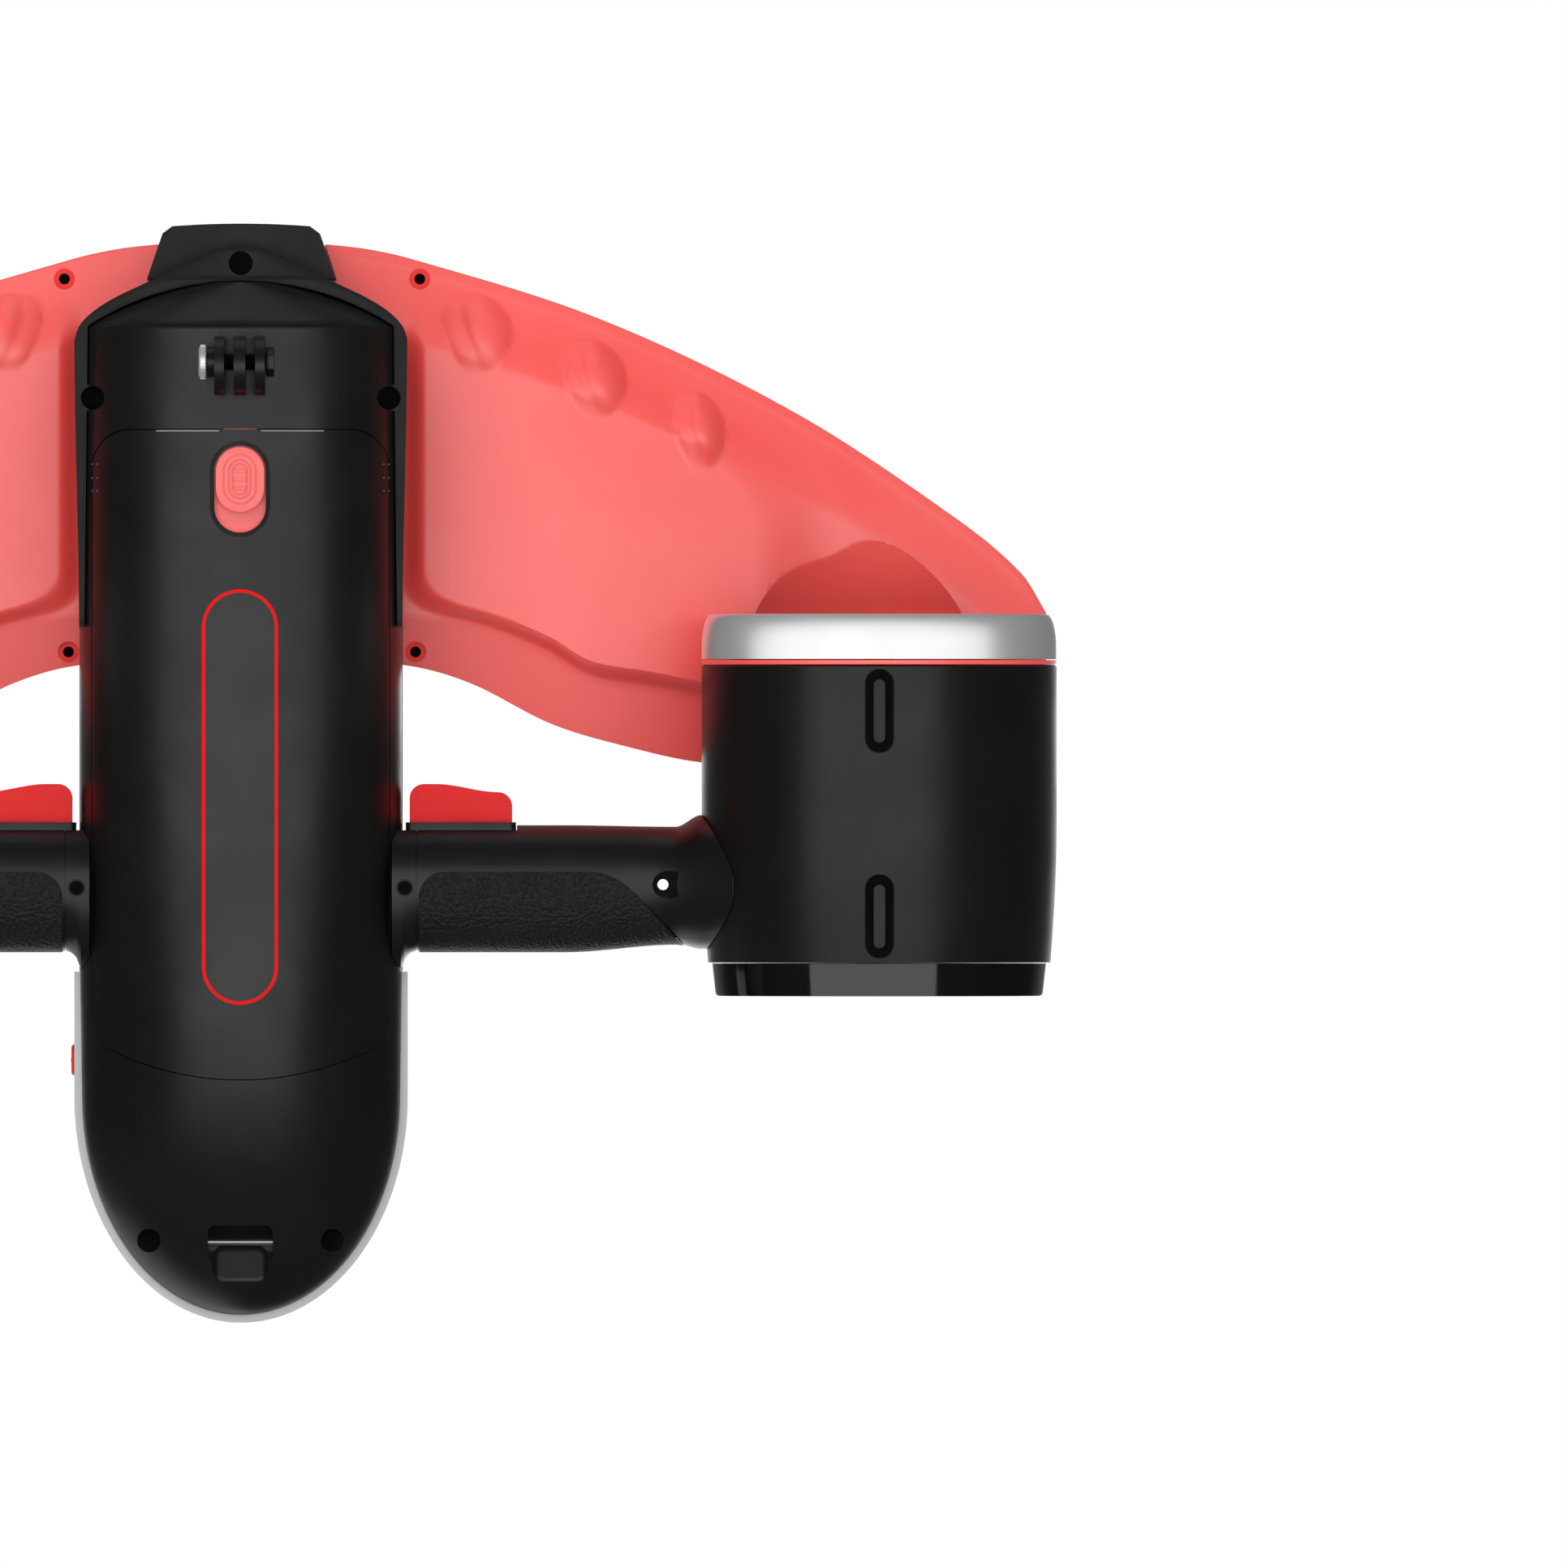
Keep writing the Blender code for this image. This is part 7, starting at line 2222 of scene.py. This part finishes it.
@dataclass(frozen=True)
class Handle(Sided):
    """One handle with its rubber grip, trigger and trigger frame."""

    hull: Hull = Hull()
    y: float = 0.0355
    half_thickness: float = 0.0194
    half_height: float = 0.017
    squareness: float = 2.4
    neck_start: float = 0.1
    neck_taper: float = 0.0014
    neck_shift: float = 0.00095
    flange_thickness: float = 0.0207
    flange_height: float = 0.031
    flare_reach: float = 0.008
    flare_power: float = 1.4
    root_flare: float = 0.0056
    root_reach: float = 0.0045
    root_overlap: float = 0.0005
    loop_hole: Flat = (0.1301, 0.0344)
    loop_radius: float = 0.0017
    loop_sink: float = 0.0031
    loop_margin: float = 0.003
    grip_thickness: float = 0.0018
    grip_gap: float = 0.0001
    grip_proud: float = 0.0004
    grip_x: Flat = (0.055, 0.1378)
    grip_front: float = 0.0306
    grip_corner: float = 0.008
    grip_rake: float = 0.0225
    grip_bend: float = 0.3
    grip_flare: float = 1.5
    grip_sharp: float = 34.0
    collar_x: float = 0.0541
    collar_groove: float = 0.0002
    collar_depths: Flat = (0.001, -0.0004)
    collar_screw: Flat = (0.05055, 0.0354)
    collar_well: float = 0.00275
    collar_well_depth: float = 0.0022
    collar_screw_depth: float = 0.0018
    collar_screw_sizes: Point = (0.0022, 0.0014, 0.0011)
    trigger_x: Flat = (0.052, 0.0836)
    trigger_y: Flat = (0.0034, 0.021)
    trigger_half_height: float = 0.0055
    trigger_dip: float = 0.0025
    trigger_dip_share: float = 0.83
    trigger_nose: float = 0.0044
    trigger_round: float = 0.0012
    trigger_stem: float = 0.005
    stem_inset: float = 0.006
    travel: float = 0.0045
    bezel_front: float = 0.0152
    bezel_depth: float = 0.0052
    bezel_side: float = 0.0009
    bezel_lip: float = 0.0022
    spring_length: float = 0.0114
    spring_wire: float = 0.0004
    spring_turns: int = 5
    spring_steps: int = 24

    def form(self, grow: float) -> Form:
        """The bar, oval in section and flared where it meets the duct.

        Args:
            grow: The margin added all round.

        Returns:
            The solid bar on the left.
        """
        flare = self.axis_x - self.duct_radius - self.flare_reach
        reach = self.axis_x - sqrt(self.duct_radius ** 2 - self.flange_height ** 2)
        side = self.hull.upper_half_width(self.y + self.half_thickness)
        web_end, power = side + self.root_reach, 2 / self.squareness
        places = [self.battery_half_width + 2 * self.gap] + spread(side - self.root_overlap, web_end, 9)
        places += spread(web_end, flare, 24)[1:] + spread(flare, reach, 22)[1:] + [reach + self.flare_reach]
        rings = []
        for x in places:
            neck, widening = ease(part_way(x, self.neck_start, flare)), ease((x - flare) / self.flare_reach)
            waist = self.half_thickness - self.neck_taper * neck
            thick = between(waist, self.flange_thickness, widening) + grow
            swell = part_way(x, flare - self.flare_reach, reach) ** self.flare_power
            tall = between(self.half_height, self.flange_height, swell) + grow
            middle = self.y - self.neck_shift * (neck + widening)
            web = thick + self.root_flare * (1 - sqrt(1 - (1 - part_way(x, side, web_end)) ** 2))
            ring = []
            for c, s in arc((0.0, 0.0), (1.0, 1.0), 0.0, ROUND, 89)[:-1]:
                ring.append((x, middle + copysign(abs(c) ** power, c) * (web if c > 0 else thick),
                             self.axis_z + copysign(abs(s) ** power, s) * tall))
            rings.append(ring)
        return Form.loft(rings)

    def grip_zone(self, grow: float) -> Form:
        """Plan of the rubber grip: round at its front inner corner and raked at its outer end.

        Args:
            grow: The margin round the plan.

        Returns:
            The plan, drawn through the bar's height.
        """
        edge, corner, bend = self.y + self.half_thickness, self.grip_corner, self.grip_bend
        inner, front = self.grip_x[0] - grow, self.grip_front - grow
        outer = self.grip_x[1] + self.grip_flare * grow
        outline = [(outer, edge + self.half_thickness), (inner, edge + self.half_thickness)]
        outline += arc((inner + corner, front + corner), (-corner, -corner), 0.0, QUARTER, 16)
        turn = outer - self.grip_rake
        for t in spread(0.0, 1.0, 9):
            outline.append((turn - corner * (1 - t) ** 2 + bend * self.grip_rake * t * t,
                            front + bend * (edge - front) * t * t))
        reach = 2 * self.flange_height
        return Form.plate(outline + [(outer, edge)], self.axis_z - reach, self.axis_z + reach)

    def body_room(self) -> Form:
        """The closed hull at the handle, grown by the gap.

        Returns:
            The room.
        """
        reach, rings = 2 * self.flange_thickness, []
        for y in spread(self.y - reach, self.y + reach, 24):
            over = self.hull.upper_section(y, 61, self.gap)
            rings.append(self.hull.lower_section(y, 61, self.gap) + over[::-1])
        return Form.loft(rings)

    def block(self, x: Flat, y: Flat, half_height: float) -> Form:
        """A box about the handle's middle height."""
        return Form.box((x[0], y[0], self.axis_z - half_height), (x[1], y[1], self.axis_z + half_height))

    def holes(self) -> list[Form]:
        """The loop's eye, with its two funnels, and the well of the collar's screw.

        Returns:
            The forms to cut.
        """
        low, high = self.axis_z - self.half_height, self.axis_z + self.half_height
        radius, sink, margin = self.loop_radius, self.loop_sink, self.loop_margin
        eye = (Form.rod(radius, low - CLEAR, high + CLEAR, 40),
               Form.rod(sink + margin, low - margin, low + sink - radius, tip=radius),
               Form.rod(radius, high - sink + radius, high + margin, tip=sink + margin))
        well = Form.rod(self.collar_well, low - CLEAR, low + self.collar_well_depth)
        return [form.at(*self.loop_hole) for form in eye] + [well.at(*self.collar_screw)]

    def bar(self, thruster_room: Form) -> None:
        """The handle itself, with its seats and holes.

        Args:
            thruster_room: The room of the left thruster, which the bar leaves free.
        """
        gap, front = self.gap, self.trigger_y[0] - self.half_thickness
        inner, outer = self.trigger_x[0] - gap, self.trigger_x[1] + gap
        tall, stop = self.trigger_half_height + gap, self.trigger_y[1]
        seat = self.grip_zone(self.grip_gap).cut(self.form(-self.grip_thickness))
        frame_room = self.block((self.body_half_width - self.hull.wall, outer + self.bezel_side + gap),
                                (front, self.bezel_front + self.bezel_depth + gap),
                                tall + self.bezel_lip + gap)
        pocket = self.block((inner, outer), (front, stop + self.travel + gap), tall)
        stem_end = stop + self.trigger_stem + self.spring_length + 2 * gap
        stem = self.block((inner + self.stem_inset, outer - self.stem_inset), (front, stem_end), tall)
        over, under = (self.form(depth) for depth in self.collar_depths)
        slice_x = (self.collar_x - self.collar_groove, self.collar_x + self.collar_groove)
        groove = over.cut(under).limit(self.block(slice_x, (self.y - 5 * CLEAR, self.y + 5 * CLEAR),
                                                  5 * CLEAR))
        bar = self.form(0.0).cut(self.body_room(), thruster_room, seat, frame_room, pocket, stem, groove,
                                 *self.holes())
        self.put("handle_bar", bar, BLACK, "handle", sharp=CRISP_EDGE)
        x, y = self.collar_screw
        head = (self.side.value * x, y, self.axis_z - self.half_height + self.collar_screw_depth)
        # Near-black screw head: its own black, darkened further as painted shade of its well.
        self.place(f"handle_screw_{self.side.tag}", Repeats.screws([head], *self.collar_screw_sizes), SHADE_BLACK)

    def grip(self) -> None:
        """The pebbled rubber that wraps the rear of the handle."""
        core = self.form(self.gap - self.grip_thickness)
        pad = self.form(self.grip_proud).limit(self.grip_zone(0.0)).cut(core)
        self.put("grip_rubber", pad, GRIP, "grip_pad", sharp=self.grip_sharp)

    def trigger(self) -> None:
        """The red trigger and the frame that it runs through."""
        (x0, x1), (y0, y1), nose, dip = self.trigger_x, self.trigger_y, self.trigger_nose, self.trigger_dip
        points = [(x1, y1)] + arc((x1 - nose, y0 + dip + nose), (nose, -nose), 0.0, QUARTER, 14)
        for share in spread(0.0, 1.0, 20)[1:-1]:
            points.append((between(x1 - nose, x0 + nose, share),
                           y0 + dip - dip * ease(share / self.trigger_dip_share)))
        points += arc((x0 + nose, y0 + nose), (-nose, -nose), QUARTER, 0.0, 14)
        stem0, stem1, end = x0 + self.stem_inset, x1 - self.stem_inset, y1 + self.trigger_stem
        points += [(x0, y1), (stem0, y1), (stem0, end), (stem1, end), (stem1, y1)]
        z, half = self.axis_z, self.trigger_half_height
        paddle = Form.plate(points, z - half, z + half).rounded(self.trigger_round, 5, 50.0)
        self.put("trigger_paddle", paddle, RED, "trigger", Body.TRIGGER)
        inner, outer = x0 - self.gap, x1 + self.gap
        low, high = z - half - self.gap, z + half + self.gap
        side, lip = self.bezel_side, self.bezel_lip
        rim = rounded_box((inner - side, low - lip), (outer + side, high + lip), lip)
        hole = [(inner, low), (outer, low), (outer, high), (inner, high)]
        surround = Form.plate(rim, -self.bezel_front - self.bezel_depth, -self.bezel_front, hole)
        surround = surround.turned_by(QUARTER, "X").rounded(segments=3, angle=60.0)
        self.put("trigger_surround", surround, BLACK, "trigger_bezel")

    def spring(self) -> None:
        """The coil behind the trigger."""
        tag = self.side.tag
        low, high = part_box(f"trigger_spring_{tag}")
        x, z = (low[0] + high[0]) / 2, (low[2] + high[2]) / 2
        wire, length, rings = self.spring_wire, high[1] - low[1], []
        loop = arc(((high[0] - low[0]) / 2 - wire, 0.0), (wire, wire), 0.0, ROUND, 11)[:-1]
        for turn in spread(0.0, self.spring_turns, self.spring_steps * self.spring_turns + 1):
            c, s = cos(ROUND * turn), sin(ROUND * turn)
            y = low[1] + wire + (length - 2 * wire) * turn / self.spring_turns
            rings.append([(x + c * out, y + rise, z + s * out) for out, rise in loop])
        coil = self.place(f"trigger_coil_{tag}", Form.loft(rings), STEEL, f"trigger_spring_{tag}")
        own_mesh(coil)

    def build(self, thruster_room: Form) -> None:
        """Make every piece of the handle.

        Args:
            thruster_room: The room of the left thruster, which the bar leaves free.
        """
        self.bar(thruster_room)
        self.grip()
        self.trigger()
        self.spring()


@dataclass(frozen=True)
class Inside:
    """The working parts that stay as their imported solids."""

    single: Sequence[tuple[str, Finish]] = (("battery_cells", CELL), ("control_board", BOARD))
    paired: Sequence[tuple[str, Finish]] = (
        ("prop_shaft", STEEL), ("front_bearing", STEEL), ("shaft_seal", RUBBER),
        ("motor_rotor", STEEL), ("motor_stator", COPPER))

    def dress(self) -> None:
        """Give each of them its finish."""
        pairs = [(f"{node}_{side.tag}", finish) for node, finish in self.paired for side in Side]
        for node, finish in [*self.single, *pairs]:
            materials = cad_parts[node].data.materials
            materials.clear()
            materials.append(finish.material())
            LOG.info("%s: kept, %s", node, finish.name)


@dataclass(frozen=True)
class Lamp:
    """One soft lamp: its place, its width and length, its power in watts, and whether surfaces mirror it."""

    name: str
    place: Point
    size: Flat
    power: float
    mirrored: bool = True

    def hang(self, turn: Sequence[float]) -> None:
        """Hang the lamp in its place.

        Args:
            turn: How it is turned.
        """
        data = bpy.data.lights.new(self.name, "AREA")
        data.shape = "RECTANGLE"
        data.size, data.size_y = self.size
        data.energy = self.power
        made = linked(self.name, data)
        made.location = self.place
        made.rotation_euler = turn
        made.visible_glossy = self.mirrored


@dataclass(frozen=True)
class Studio:
    """The plain pale floor, the soft lamps, the white surround and the camera."""

    floor_half: float = 6.0
    floor_drop: float = 0.0002
    floor_tones: Flat = (0.84, 0.87)
    floor_roughness: float = 0.8
    floor_grain: float = 30.0
    aim: Point = (0.1674, 0.0034, 0.04)
    distance: float = 18.784
    lens: float = 1400.0
    sensor: float = 36.0
    view_end: float = 100.0
    ambient: float = 0.96
    horizon: float = 0.03
    mirrored_sky: Sequence[tuple[float, float, float, float]] = ((1.0, 0.6, 1.0, 0.25),
                                                                 (-1.0, 0.0, 0.6, 0.055))
    strip: Lamp = Lamp("lamp_strip", (-0.05, -0.05, -1.6), (3.2, 0.9), 11.0)
    lamps: Sequence[Lamp] = (
        Lamp("lamp_side", (-0.5, -1.1, -1.5), (0.9, 0.9), 10.5, False),
        Lamp("lamp_below", (0.12, -0.1, -2.4), (0.8, 0.8), 8.0, False),
        Lamp("lamp_over", (0.3, 0.4, 2.0), (1.5, 1.5), 14.0),
        Lamp("lamp_rear", (-0.9, 1.4, 1.3), (1.8, 1.8), 7.0),
        Lamp("lamp_front", (0.0, -1.7, 0.25), (1.2, 1.2), 1.6))

    def floor(self) -> None:
        """A pale floor that shows from above and keeps the shadow."""
        bm = bmesh.new()
        bmesh.ops.create_grid(bm, x_segments=2, y_segments=2, size=self.floor_half)
        mesh = bpy.data.meshes.new("floor")
        bm.to_mesh(mesh)
        bm.free()
        mesh.materials.append(self.floor_material())
        plane = linked("floor", mesh)
        plane.location.z = -self.floor_drop
        plane.visible_shadow = plane.visible_diffuse = plane.visible_glossy = False

    def floor_material(self) -> Material:
        """Pale matt paint on the upper side, and nothing on the lower.

        Returns:
            The material.
        """
        made = bpy.data.materials.new("floor_paint")
        made.use_nodes = True
        tree, nodes = Tree(made.node_tree), made.node_tree.nodes
        coords = tree.node("ShaderNodeTexCoord").outputs["Object"]
        noise = tree.result("ShaderNodeTexNoise", {"Scale": self.floor_grain, "Vector": coords})
        tone = tree.mixed(*(grey(level) for level in self.floor_tones), noise)
        paint = nodes["Principled BSDF"]
        tree.feed(paint, {"Roughness": self.floor_roughness, "Base Color": tone})
        under = tree.node("ShaderNodeNewGeometry").outputs["Backfacing"]
        clear = tree.result("ShaderNodeBsdfTransparent")
        shown = tree.result("ShaderNodeMixShader", {0: under, 1: paint.outputs[0], 2: clear})
        tree.feed(nodes["Material Output"], {"Surface": shown})
        return made

    def lights(self) -> None:
        """Soft lamps that face the scooter, and a long strip below that faces straight up."""
        for lamp in self.lamps:
            lamp.hang((Vector(self.aim) - Vector(lamp.place)).to_track_quat("-Z", "Y").to_euler())
        self.strip.hang((pi, 0.0, 0.0))

    def surround(self) -> None:
        """A white surround, greyer where metal mirrors it, and a plain level of ambient light."""
        world = bpy.data.worlds.new("surround")
        bpy.context.scene.world = world
        world.use_nodes = True
        world.node_tree.nodes.clear()
        tree = Tree(world.node_tree)
        rays = tree.node("ShaderNodeLightPath").outputs
        split = tree.node("ShaderNodeSeparateXYZ", {0: tree.node("ShaderNodeTexCoord").outputs["Generated"]})
        levels = []
        for sign, first, last, top in self.mirrored_sky:
            height = tree.calc("MULTIPLY", split.outputs["Z"], sign)
            fed = {"From Min": first, "From Max": last, "To Min": self.horizon, "To Max": top,
                   "Value": height}
            levels.append(tree.result("ShaderNodeMapRange", fed, interpolation_type="SMOOTHSTEP"))
        shown, mirror, ambient = (
            tree.result("ShaderNodeBackground", {"Color": (1.0, 1.0, 1.0, 1.0), "Strength": strength})
            for strength in (1.0, tree.calc("MAXIMUM", *levels), self.ambient))
        seen_in = tree.calc("MAXIMUM", rays["Is Glossy Ray"], rays["Is Transmission Ray"])
        light = tree.result("ShaderNodeMixShader", {0: seen_in, 1: ambient, 2: mirror})
        every = tree.result("ShaderNodeMixShader", {0: rays["Is Camera Ray"], 1: light, 2: shown})
        tree.node("ShaderNodeOutputWorld", {"Surface": every})

    def camera(self) -> None:
        """A long lens that looks straight up at the underside."""
        data = bpy.data.cameras.new("camera")
        data.sensor_width = self.sensor
        data.lens = self.lens
        data.clip_end = self.view_end
        camera = linked("camera", data)
        camera.location = (*self.aim[:2], self.aim[2] - self.distance)
        camera.rotation_euler = (pi, 0.0, 0.0)
        bpy.context.scene.camera = camera

    def build(self) -> None:
        """Set the whole studio up."""
        bpy.context.scene.view_settings.view_transform = "Standard"
        self.camera()
        self.floor()
        self.lights()
        self.surround()


def main() -> None:
    """Set the studio up, then build the scooter's sub-assemblies in order."""
    logging.basicConfig(level=logging.INFO, format="%(name)s: %(message)s")
    hull, wing, battery = Hull(), Wing(), Battery()
    Studio().build()
    cap_room = hull.cap_room()
    wing.build(cap_room)
    form = hull.belly_form()
    hull.belly(form, battery.bay_cuts())
    hull.deck(cap_room)
    hull.tail()
    hull.rim()
    hull.cap()
    battery.case(form)
    battery.latch()
    battery.trims()
    battery.fittings()
    CameraMount().build()
    for side in Side:
        Thruster(side=side).build()
        Handle(side=side).build(wing.scoop())
    Inside().dress()


if __name__ == "__main__":
    main()
